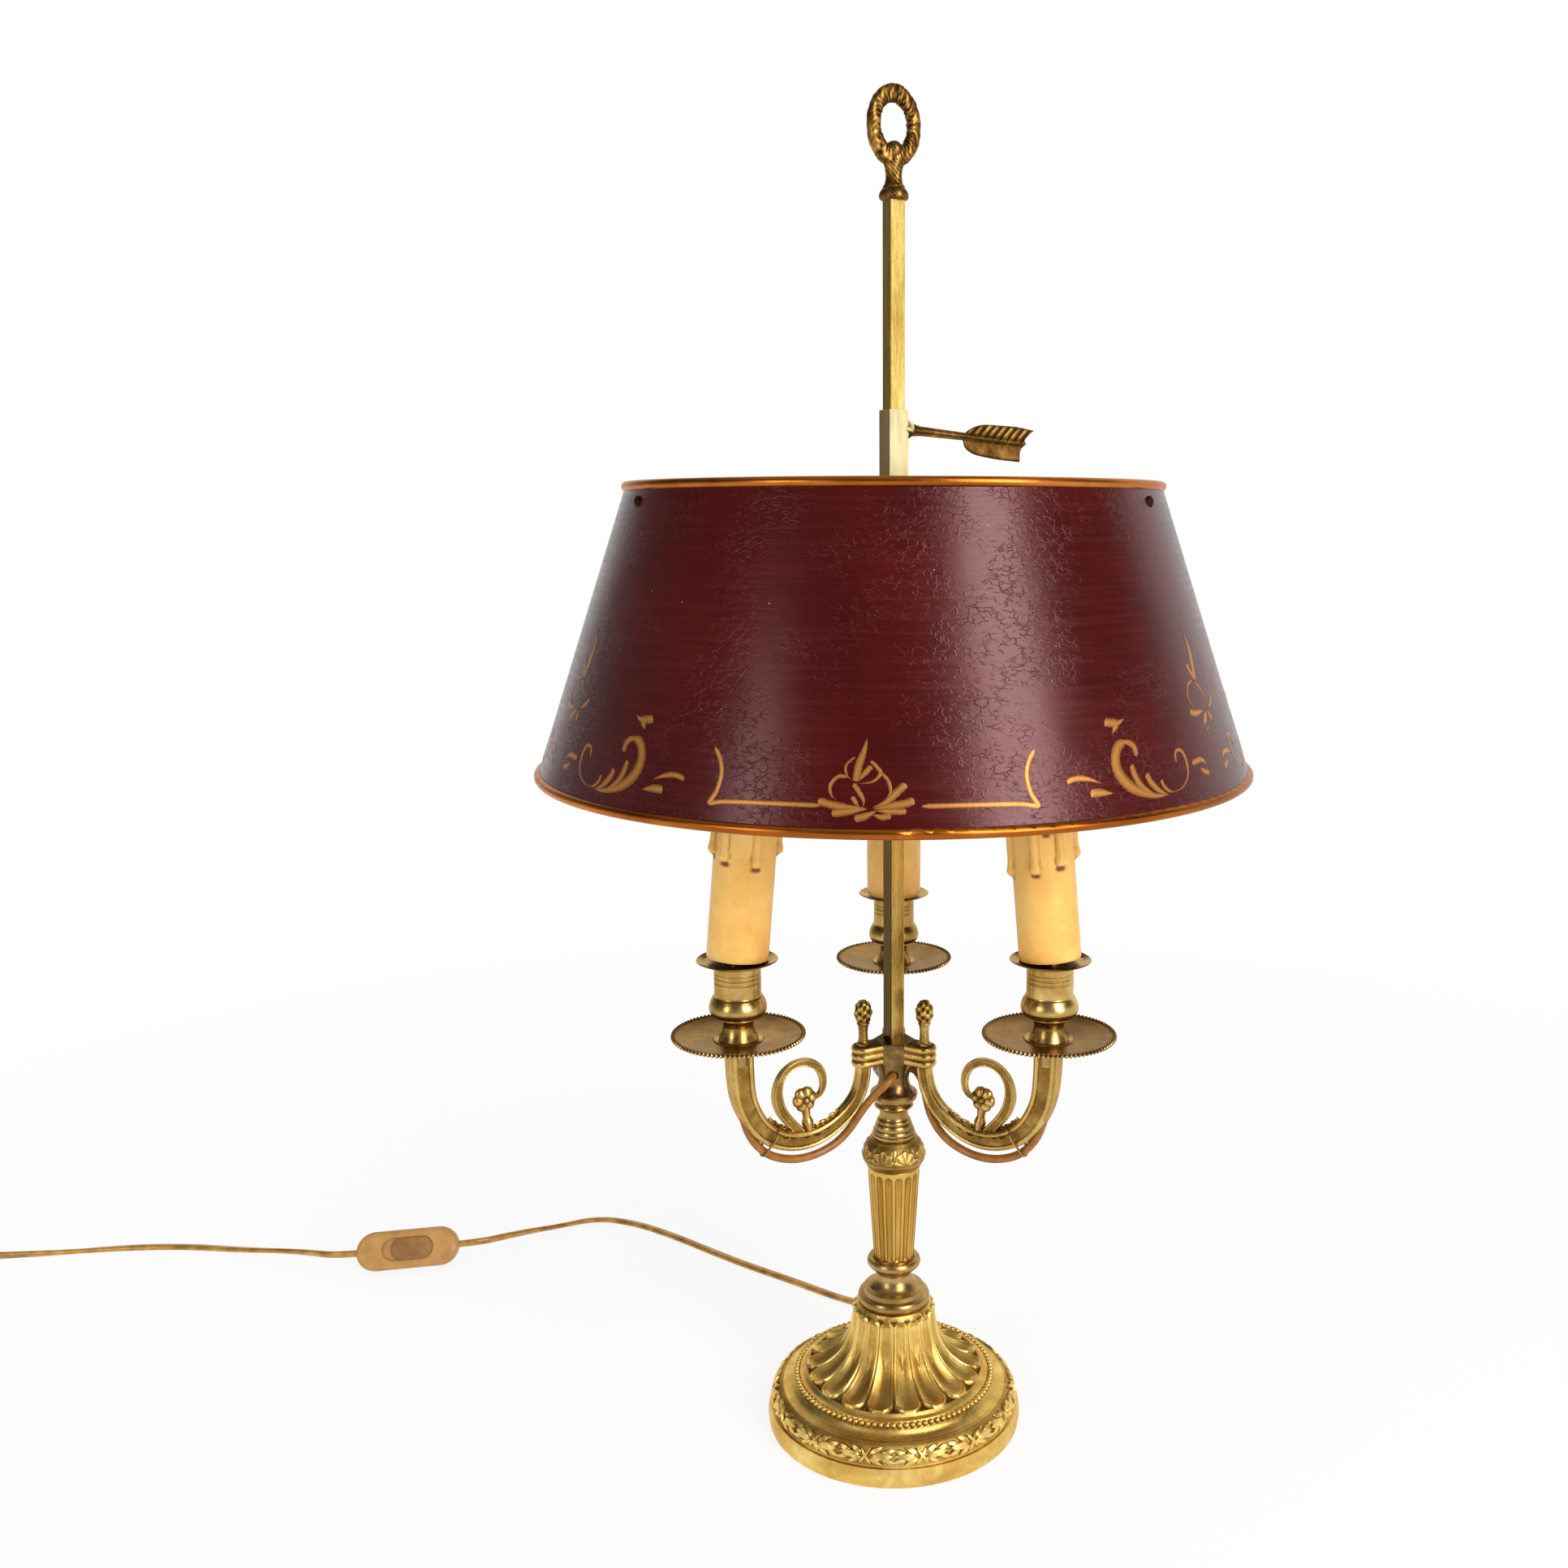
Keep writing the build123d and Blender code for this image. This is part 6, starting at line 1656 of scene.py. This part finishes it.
def blend(tree, share, under, over, kind="MIX"):
    """Lays one colour over another."""
    made = add_node(tree, "Mix", {"data_type": "RGBA", "blend_type": kind})
    for index, value in ((0, share), (6, under), (7, over)):
        if isinstance(value, bpy.types.NodeSocket):
            tree.links.new(value, made.inputs[index])
        else:
            plain_value = hex_colour(value) if isinstance(value, str) else value
            made.inputs[index].default_value = plain_value
    return made.outputs[2]


def attribute(tree, name):
    """A value kept on the vertices."""
    return add_node(tree, "Attribute", {"attribute_name": name}).outputs["Fac"]


def sum_of(tree, kind, first, second):
    """A small sum with two values."""
    made = add_node(tree, "Math", {"operation": kind})
    for socket, value in zip(made.inputs, (first, second)):
        if isinstance(value, bpy.types.NodeSocket):
            tree.links.new(value, socket)
        else:
            socket.default_value = value
    return made.outputs[0]


def towards(tree, vector, way):
    """How nearly a vector points one way: 1 along it and -1 against it."""
    made = add_node(tree, "VectorMath", {"operation": "DOT_PRODUCT"})
    tree.links.new(vector, made.inputs[0])
    made.inputs[1].default_value = way
    return made.outputs["Value"]


def remap(tree, value, low, high, start=0.0, end=1.0):
    """Takes a value from one range to another and holds it at the ends."""
    return add_node(
        tree, "MapRange", Value=value, From_Min=low, From_Max=high, To_Min=start, To_Max=end
    ).outputs[0]


def coat(tree, shader, colour, roughness=None):
    """Gives the shader its colour, and its roughness if there is one."""
    tree.links.new(colour, shader.inputs["Base Color"])
    if roughness is not None:
        tree.links.new(roughness, shader.inputs["Roughness"])


def raise_bumps(tree, shader, height, depth, strength=1.0):
    """Turns a value into bumps of 'depth' mm on the shader."""
    bump = add_node(tree, "Bump", Height=height, Distance=mm(depth), Strength=strength)
    before = shader.inputs["Normal"].links
    if before:
        tree.links.new(before[0].from_socket, bump.inputs["Normal"])
    tree.links.new(bump.outputs[0], shader.inputs["Normal"])


# %% [markdown]
# ## Brass
#
# All the metal is brass, but each piece has aged in its own way: cast and gilded where it is
# carved, greenish and turned where it is plain, brown on the pans, bright on the sleeve that
# hands touch. The recipe is the same. Blotches of patina mix three tones, painted shade with
# some tarnish darkens the recesses, a painted highlight lightens the ridges, finer blotches
# vary the gloss, and either cast grain or turned lines roughen it. On the rod and the sleeve,
# the faces that look left get painted shade in brown.


# %% brass recipe
# the way the faces with painted shade look: to the left and a little to the front
SHADED_WAY = (-0.87, -0.5, 0.0)


def brass(
    name, light, middle, dark, gloss, patina=14.0,
    recess_shade_and_tarnish=None, ridge_highlight=None, grain=None, turned=None, dirt=None, shaded_side=None, drawn=False,
):
    """A brass finish with patina blotches in mm and a (smooth, rough) range of gloss.

    The shaded side's brown is painted shade on the faces that look left, given with the
    heights between which it weakens; 'drawn' stretches the patina upward."""
    material, tree, shader, where = new_finish(
        name, Metallic=1.0, Specular_Tint=hex_colour("#fff2e0")
    )
    along = (1.0, 1.0, 0.12) if drawn else None
    blotches = noise(tree, where, patina, detail=7, rough=0.62, stretch=along, warp=0.4)
    colour = ramp(tree, blotches, (0.30, dark), (0.50, middle), (0.70, light))
    fine = noise(tree, where, patina / 8, detail=5, rough=0.7, stretch=along)
    colour = blend(tree, ramp(tree, fine, (0.54, 0.0), (0.78, 0.35)), colour, dark)
    roughness = ramp(tree, fine, (0.30, gloss[0]), (0.75, gloss[1]))
    # painted shade with some tarnish in the recesses, and a painted highlight on the ridges
    if recess_shade_and_tarnish:
        height = attribute(tree, "relief")
        broken = blend(tree, 0.22, height, noise(tree, where, 1.6, detail=4), "OVERLAY")
        colour = blend(tree, ramp(tree, broken, (0.18, 1.0), (0.62, 0.0)), colour, recess_shade_and_tarnish)
        colour = blend(tree, ramp(tree, broken, (0.72, 0.0), (0.98, 0.65)), colour, ridge_highlight or light)
        roughness = blend(
            tree, ramp(tree, broken, (0.15, 1.0), (0.75, 0.0)), roughness, (0.62, 0.62, 0.62, 1)
        )
    if dirt:
        specks = noise(tree, where, 3.0, detail=8, rough=0.8)
        colour = blend(tree, ramp(tree, specks, (0.60, 0.0), (0.70, 0.8)), colour, dirt)
    # painted shade: faces that look left turn brown, more so lower down
    if shaded_side:
        brown, low, high = shaded_side
        facing = towards(tree, add_node(tree, "NewGeometry").outputs["True Normal"], SHADED_WAY)
        away = ramp(tree, facing, (0.40, 0.0), (0.60, 1.0))
        height = add_node(tree, "SeparateXYZ", Vector=where).outputs["Z"]
        lower = remap(tree, height, low, high, 0.96, 0.50)
        colour = blend(tree, sum_of(tree, "MULTIPLY", away, lower), colour, brown)
    coat(tree, shader, colour, roughness)
    if grain:
        cast = noise(tree, where, grain, detail=5, rough=0.75)
        raise_bumps(tree, shader, cast, grain * 0.16, 0.7)
    if turned:
        lines = noise(tree, where, turned, detail=3, rough=0.6, stretch=(0.02, 0.02, 1.0))
        raise_bumps(tree, shader, lines, 0.02, 0.6)
    raise_bumps(tree, shader, noise(tree, where, 9.0, detail=2), 0.06, 0.5)
    return material


# %% brass finishes
# gilded sand casting of the base: yellow, grainy, painted shade near black in deep recesses
gilt_casting = brass(
    "gilt sand-cast brass", "#fbdf88", "#e2b65c", "#bd9044", (0.24, 0.40),
    patina=18, recess_shade_and_tarnish="#5c3c12", grain=0.9,
)
# the arms come from another casting: greener, duller, stippled, painted shade in their panels
arm_casting_brass = brass(
    "aged cast brass of the arms", "#e6c576", "#b48a42", "#80602c", (0.22, 0.40),
    patina=12, recess_shade_and_tarnish="#4a3212", grain=0.8,
)
# turned column pieces: satin, gone greyish, with lathe lines that stretch the highlights
turned_brass = brass(
    "turned brass of the column", "#d2b47c", "#b08e56", "#856a3a", (0.26, 0.40),
    patina=24, turned=0.35,
)
# the candle cups are the same, but handled less and yellower
cup_brass = brass(
    "turned brass of the candle cups", "#dcbc78", "#b8924e", "#8a6a34", (0.22, 0.34),
    patina=20, turned=0.35,
)
# the leaf cap is a browner casting than the base, with painted shade in its recesses
cap_brass = brass(
    "cast brass of the leaf cap", "#d6b066", "#a88442", "#7a5c2c", (0.26, 0.42),
    patina=12, recess_shade_and_tarnish="#4c3616", grain=0.6,
)
# the shaft is a warm casting: painted highlight on its ribs, painted shade in its flutes
shaft_brass = brass(
    "fluted cast brass", "#e8c470", "#ca9a46", "#a0762e", (0.26, 0.42),
    patina=12, recess_shade_and_tarnish="#5c3c14", grain=0.6, drawn=True,
)
# hub and neck: dark bronze tone, almost never polished
hub_bronze = brass(
    "dark unpolished brass of the hub", "#a88850", "#7a6038", "#503c20", (0.22, 0.40),
    patina=9, turned=0.5, dirt="#2c1e10",
)
# spun pans: brown and satin, with slow changes of tone
pan_brass = brass(
    "tarnished spun brass of the pans", "#bc9250", "#94703a", "#785428", (0.22, 0.34),
    patina=40, turned=0.45,
)
# the milled edge of the pans gets a painted highlight on every tooth and painted shade between
milled_brass = brass(
    "tarnished brass with a milled edge", "#bc9250", "#94703a", "#785428", (0.22, 0.34),
    patina=40, recess_shade_and_tarnish="#5a3c18", turned=0.45, ridge_highlight="#fbe6a6",
)
# drawn square bar: bright, with painted shade in brown on its two left-facing sides, more lower
# down
bar_brass = brass(
    "drawn brass bar", "#f8e298", "#e0be68", "#a8843a", (0.22, 0.34),
    patina=7, shaded_side=("#3a2806", 0.30, 0.56), drawn=True,
)
# the sleeve is rubbed bright by the hand that slides the shade; its left faces get painted shade
bright_brass = brass(
    "bright handled brass", "#fdf2cc", "#f2dfa4", "#cdb070", (0.16, 0.30),
    patina=16, shaded_side=("#8a6c34", 0.40, 0.60), drawn=True,
)
# key and ring: red-brown casting, painted gold highlights on ridges, painted shade in recesses
key_bronze = brass(
    "brown cast brass of the ring and key", "#c0924a", "#805a28", "#553a1a", (0.24, 0.42),
    patina=9, recess_shade_and_tarnish="#34220e", grain=0.6,
)
# copper-gold paint on the rolled rims, glossy and worn brown in places
rim_gilt = brass(
    "coppery gilt of the rims", "#cf7f38", "#ad5f20", "#864616", (0.26, 0.36), patina=90,
)
# the nut, tube, bulb caps and plug pins: grey metal, a little cloudy
plain_steel = brass("zinc-plated steel", "#c9ccd0", "#a4a8ac", "#7c8084", (0.25, 0.45), patina=6)
print("brass finishes made")

# %% [markdown]
# ## Lacquer, gold paint and the pale inside
#
# The shade's dark red lacquer has aged: its skin has fine crackle, like wrinkled varnish,
# and the brush went round it, so its gloss is streaked sideways. The crackle is a bump from
# a stretched cell pattern. Dust specks catch the light here and there.

# %% lacquer
lacquer, tree, shader, where = new_finish(
    "aged dark red lacquer", IOR=1.5, Specular_Tint=hex_colour("#f4c8c8")
)
unrolled_place = add_node(tree, "UVMap", {"uv_map": "unrolled"}).outputs[0]
clouds = noise(tree, where, 60, detail=4)
red = ramp(tree, clouds, (0.34, "#370504"), (0.52, "#400706"), (0.70, "#4a0b0a"))
streaks = noise(tree, unrolled_place, 2.2, detail=5, rough=0.65, stretch=(0.035, 1.0, 1.0))
red = blend(tree, ramp(tree, streaks, (0.50, 0.0), (0.78, 0.22)), red, "#642024")
specks = add_node(tree, "TexVoronoi", Vector=where, Scale=1 / mm(13)).outputs["Distance"]
red = blend(tree, ramp(tree, specks, (0.018, 0.75), (0.030, 0.0)), red, "#b08a7c")
coat(tree, shader, red, ramp(tree, streaks, (0.30, 0.22), (0.75, 0.31)))
warped = add_node(tree, "VectorMath", {"operation": "ADD"})
warp_noise = add_node(tree, "TexNoise", Vector=unrolled_place, Scale=1 / mm(4), Detail=4.0)
warp_scale = add_node(tree, "VectorMath", {"operation": "SCALE"}, Scale=mm(5.0))
tree.links.new(warp_noise.outputs["Color"], warp_scale.inputs[0])
tree.links.new(unrolled_place, warped.inputs[0])
tree.links.new(warp_scale.outputs[0], warped.inputs[1])
longer = add_node(tree, "Mapping", Vector=warped.outputs[0], Scale=(0.62, 1.25, 1.0)).outputs[0]
cells = add_node(
    tree, "TexVoronoi", {"feature": "DISTANCE_TO_EDGE"}, Vector=longer, Scale=1 / mm(2.9)
).outputs["Distance"]
crackle = ramp(tree, cells, (0.0, 1.0), (0.10, 0.0))
patchy = ramp(tree, noise(tree, where, 38, detail=4), (0.42, 0.10), (0.58, 1.0))
broken = ramp(tree, noise(tree, where, 3.5, detail=3), (0.40, 0.0), (0.55, 1.0))
crackle_depth = sum_of(tree, "MULTIPLY", sum_of(tree, "MULTIPLY", crackle, patchy), broken)
raise_bumps(tree, shader, crackle_depth, 0.09, 0.8)
raise_bumps(tree, shader, streaks, 0.02, 0.7)
raise_bumps(tree, shader, noise(tree, where, 22, detail=3), 0.35, 0.30)

# the brush's gold paint: metal flakes in varnish, brown where it is thin at its edges
gold_paint, tree, shader, where = new_finish("brushed gold paint", Metallic=0.55, IOR=1.5)
body = attribute(tree, "body")
bristles = noise(tree, where, 1.2, detail=5, rough=0.7)
worn_gold = blend(tree, 0.35, body, bristles, "OVERLAY")
gold = ramp(tree, worn_gold, (0.05, "#50290f"), (0.32, "#925824"), (0.85, "#b87c36"))
coat(tree, shader, gold, ramp(tree, bristles, (0.3, 0.30), (0.7, 0.48)))
raise_bumps(tree, shader, bristles, 0.06, 0.6)

# pale oil paint inside the shade: cream, matt, browned by the bulbs' heat near the top
cream, tree, shader, where = new_finish("cream paint inside the shade", IOR=1.45, Roughness=0.6)
old = noise(tree, where, 30, detail=5)
height = add_node(tree, "SeparateXYZ", Vector=where).outputs["Z"]
browned = remap(tree, height, 0.40, 0.49)
pale = ramp(tree, old, (0.35, "#e6dcc0"), (0.65, "#f0e8d2"))
coat(tree, shader, blend(tree, sum_of(tree, "MULTIPLY", browned, 0.45), pale, "#c8ae80"))
raise_bumps(tree, shader, noise(tree, where, 1.5, detail=3), 0.05, 0.5)
print("shade finishes made")

# %% [markdown]
# ## Wax, plastic, glass and felt
#
# The candle sleeves look like old wax: light passes a little way into them, the colour is
# warmer where it is dirty, brown soot clings under each drip, and a painted shade line runs
# along each drip's edge. The switch is a golden plastic gone dull. The cord's sheath is a
# clear gold vinyl with copper shining through.

# %% wax
wax, tree, shader, where = new_finish(
    "old candle wax", IOR=1.44, Subsurface_Weight=0.06, Subsurface_Scale=0.002, Roughness=0.42
)
shader.inputs["Subsurface Radius"].default_value = (1.0, 0.55, 0.25)
stain = noise(tree, where, 24, detail=6, rough=0.65)
yellow = ramp(tree, stain, (0.32, "#e6a850"), (0.50, "#f4bc5e"), (0.68, "#fbcb74"))
freckles = noise(tree, where, 2.4, detail=8, rough=0.8)
yellow = blend(tree, ramp(tree, freckles, (0.68, 0.0), (0.76, 0.6)), yellow, "#a8743a")
soot = attribute(tree, "soot")
speckled_soot_and_crease_shade = sum_of(tree, "MULTIPLY", soot, ramp(tree, freckles, (0.30, 0.5), (0.60, 1.6)))
# brown where the value is high: painted shade along the drips' edges and dirt under their ends
yellow = blend(tree, ramp(tree, soot, (0.04, 0.0), (0.42, 0.75)), yellow, "#b87c34")
yellow = blend(tree, ramp(tree, speckled_soot_and_crease_shade, (0.45, 0.0), (0.80, 0.9)), yellow, "#6a3414")
coat(tree, shader, yellow)
raise_bumps(tree, shader, noise(tree, where, 5.0, detail=3), 0.25, 0.5)

# %% plastics, glass and felt


def moulded(name, light, dark, gloss, blotch=12.0, pits=0.8):
    """A plastic with cloudy colour, worn gloss and a fine moulded skin."""
    material, tree, shader, where = new_finish(name, IOR=1.5)
    clouds = noise(tree, where, blotch, detail=6, rough=0.65)
    wear = noise(tree, where, blotch / 6, detail=5)
    coat(
        tree, shader, ramp(tree, clouds, (0.35, dark), (0.65, light)),
        ramp(tree, wear, (0.3, gloss), (0.75, gloss + 0.18)),
    )
    raise_bumps(tree, shader, noise(tree, where, pits, detail=2), 0.03, 0.6)
    return material


switch_gold = moulded("golden switch plastic", "#c89450", "#b07e40", 0.34)
slider_gold = moulded("worn switch slider plastic", "#a87838", "#8a5e2a", 0.38)
dark_rubber = moulded("dark brown plug plastic", "#4a3018", "#33200f", 0.42)
wire_sheath = moulded("brown translucent wire sheath", "#a2671a", "#7e4c10", 0.24, blotch=7)
holder_plastic = moulded("black lamp holder plastic", "#2a2724", "#1c1a18", 0.4)

# the cord's clear vinyl: glossy, with the copper strands glinting through it
cord_gold, tree, shader, where = new_finish(
    "clear gold vinyl cord", Metallic=0.35, IOR=1.5, Coat_Weight=0.4, Coat_Roughness=0.12
)
strands = noise(tree, where, 9, detail=3, rough=0.5)
coat(
    tree, shader, ramp(tree, strands, (0.34, "#96661a"), (0.52, "#b8842a"), (0.68, "#cc9a3c")),
    ramp(tree, strands, (0.3, 0.22), (0.7, 0.38)),
)

# the bulbs' opal glass: milky, smooth and a little dusty
glass, tree, shader, where = new_finish(
    "opal bulb glass", IOR=1.5, Transmission_Weight=0.35, Roughness=0.18
)
dust = noise(tree, where, 7, detail=4)
coat(tree, shader, ramp(tree, dust, (0.35, "#efe9dc"), (0.65, "#faf6ee")))

# the pad under the base: matt green fibres
felt, tree, shader, where = new_finish("green felt", Roughness=0.95, Sheen_Weight=0.5)
fibres = noise(tree, where, 0.8, detail=6, rough=0.8)
coat(tree, shader, ramp(tree, fibres, (0.3, "#1f3b26"), (0.7, "#2f5a38")))
raise_bumps(tree, shader, fibres, 0.3, 0.8)
print("materials:", len(bpy.data.materials))

# %% [markdown]
# ## Dressing
#
# Each machined part and each sculpted piece gets its finish here, by name. A list of name
# beginnings keeps the left, right and rear pieces together.

# %% give every piece its finish
DRESS = {
    gilt_casting: ["cast_base", "bead_ring", "laurel_band", "base_casting"],
    cap_brass: ["leaf_crown", "leaf_cap"],
    arm_casting_brass: ["cast_arm", "arm_left", "arm_right", "arm_rear"],
    turned_brass: ["spool", "turned_collar", "ringed_collar", "holder_nipples", "wire_ties"],
    cup_brass: ["turned_cup", "candle_cup", "bobeche"],
    shaft_brass: ["reeded_shaft", "fluted_shaft"],
    hub_bronze: ["arm_hub", "wire_neck"],
    pan_brass: ["drip_pan"],
    milled_brass: ["milled_pan"],
    bar_brass: ["square_rod"],
    bright_brass: ["shade_sleeve"],
    key_bronze: [
        "feathered_key", "wreath_ring", "arrow_key", "ring_finial", "shade_spider", "shade_screws",
    ],
    rim_gilt: ["top_rim", "bottom_rim"],
    plain_steel: ["base_nut", "threaded_tube", "bulb_cap", "plug_pins"],
    gold_paint: ["gilt_strokes"],
    wax: ["dripped_sleeve", "candle_sleeve"],
    switch_gold: ["switch_top", "switch_bottom"],
    slider_gold: ["switch_slider"],
    dark_rubber: ["base_strain_relief", "plug_strain_relief", "plug_body", "cord_bushing"],
    wire_sheath: ["arm_cable", "arm_wire"],
    holder_plastic: ["lamp_holder", "junction_block"],
    cord_gold: ["cord_to", "cord_lead", "cord_tail", "cord_coil", "cord_end", "inner_cable"],
    glass: ["bulb_glass"],
    felt: ["base_felt"],
}
plain = []
for piece in bpy.data.objects:
    if piece.type not in ("MESH", "CURVE") or piece.name == "cord_section":
        continue
    finishes = [worn for worn, names in DRESS.items() if piece.name.startswith(tuple(names))][:1]
    if piece.name in ("lacquered_shade", "shade_shell"):
        finishes = [lacquer, cream]
    if not finishes:
        plain.append(piece.name)
        continue
    piece.data.materials.clear()
    for finish in finishes:
        piece.data.materials.append(finish)
print("pieces without a finish:", plain)

# %% [markdown]
# ## Studio
#
# A large white sheet lies under the lamp and fades into a white surround, as on a catalogue
# page, and keeps the lamp's soft shadow. The camera sees the surround as plain white. Metal
# sees more of a room in it: white behind the lamp and low on its right, dim in front and
# dimmer with height, with a paler ceiling. That is why round metal shows dark as well as
# light. Two soft boxes, a strong one on the right and a weak one on the left, give each
# polished curve its pair of highlights.

# %% floor
bpy.context.scene.view_settings.view_transform = "Standard"
floor = fresh(bpy.ops.mesh.primitive_plane_add, size=12, location=(0, 0, -0.0002))
floor.name = "studio_floor"
paper = bpy.data.materials.new("white paper sweep")
paper.use_nodes = True
tree = paper.node_tree
tree.nodes.clear()


def ray_kinds(tree):
    """1 for a ray seen straight or through glass, and 1 for one seen so or in a mirror."""
    rays = add_node(tree, "LightPath").outputs
    straight = sum_of(tree, "MAXIMUM", rays["Is Camera Ray"], rays["Is Transmission Ray"])
    return straight, sum_of(tree, "MAXIMUM", straight, rays["Is Glossy Ray"])


sheet = add_node(tree, "BsdfDiffuse", Color=hex_colour("#f7f7f7"))
white = add_node(tree, "Emission", Color=(1, 1, 1, 1), Strength=1.0)
place = add_node(tree, "TexCoord").outputs["Object"]
distance = add_node(tree, "VectorMath", {"operation": "LENGTH"})
tree.links.new(place, distance.inputs[0])
fade = remap(tree, distance.outputs["Value"], 0.2, 1.0, 0.84, 1.0)
seen = ray_kinds(tree)[1]
share = sum_of(tree, "MULTIPLY", seen, fade)
sweep = add_node(tree, "MixShader", Fac=share)
tree.links.new(sheet.outputs[0], sweep.inputs[1])
tree.links.new(white.outputs[0], sweep.inputs[2])
output = add_node(tree, "OutputMaterial")
tree.links.new(sweep.outputs[0], output.inputs[0])
floor.data.materials.append(paper)

# %% surround
world = bpy.data.worlds.new("white surround")
bpy.context.scene.world = world
world.use_nodes = True
tree = world.node_tree
tree.nodes.clear()
direction = add_node(tree, "TexCoord").outputs["Generated"]
rising = add_node(tree, "SeparateXYZ", Vector=direction).outputs["Z"]
behind = remap(tree, towards(tree, direction, (0.26, 0.966, 0.0)), 0.42, 0.72)
right = remap(tree, towards(tree, direction, (0.90, 0.43, 0.0)), 0.40, 0.65)
low_right = sum_of(tree, "MULTIPLY", right, remap(tree, rising, 0.20, 0.08))
front = remap(tree, rising, 0.12, 0.42, 0.30, 0.04)
ceiling = remap(tree, rising, 0.58, 0.88, 0.0, 0.45)
straight, seen = ray_kinds(tree)
whiter = sum_of(tree, "MAXIMUM", sum_of(tree, "MAXIMUM", behind, low_right), ceiling)
whiter = sum_of(tree, "MAXIMUM", whiter, straight)
shade_of_white = blend(tree, whiter, front, (1, 1, 1, 1))
soft = add_node(tree, "Background", Color=(1, 1, 1, 1), Strength=0.62)
shown = add_node(tree, "Background", Strength=1.0)
tree.links.new(shade_of_white, shown.inputs["Color"])
either = add_node(tree, "MixShader", Fac=seen)
tree.links.new(soft.outputs[0], either.inputs[1])
tree.links.new(shown.outputs[0], either.inputs[2])
output = add_node(tree, "OutputWorld")
tree.links.new(either.outputs[0], output.inputs[0])


# %% soft boxes
def soft_box(name, place, aim, size, power):
    """A rectangular area light that looks at a point."""
    data = bpy.data.lights.new(name, "AREA")
    data.shape = "RECTANGLE"
    data.size, data.size_y = size
    data.energy = power
    lamp = linked(name, data)
    lamp.location = place
    lamp.rotation_euler = (Vector(aim) - Vector(place)).to_track_quat("-Z", "Y").to_euler()


soft_box("soft_box_right", (0.84, -1.05, 0.90), (0, 0, 0.42), (0.56, 1.15), 19)
soft_box("soft_box_left", (-0.92, -1.00, 0.66), (0, 0, 0.30), (0.30, 0.62), 3.5)
print("studio lights:", len(bpy.data.lights))
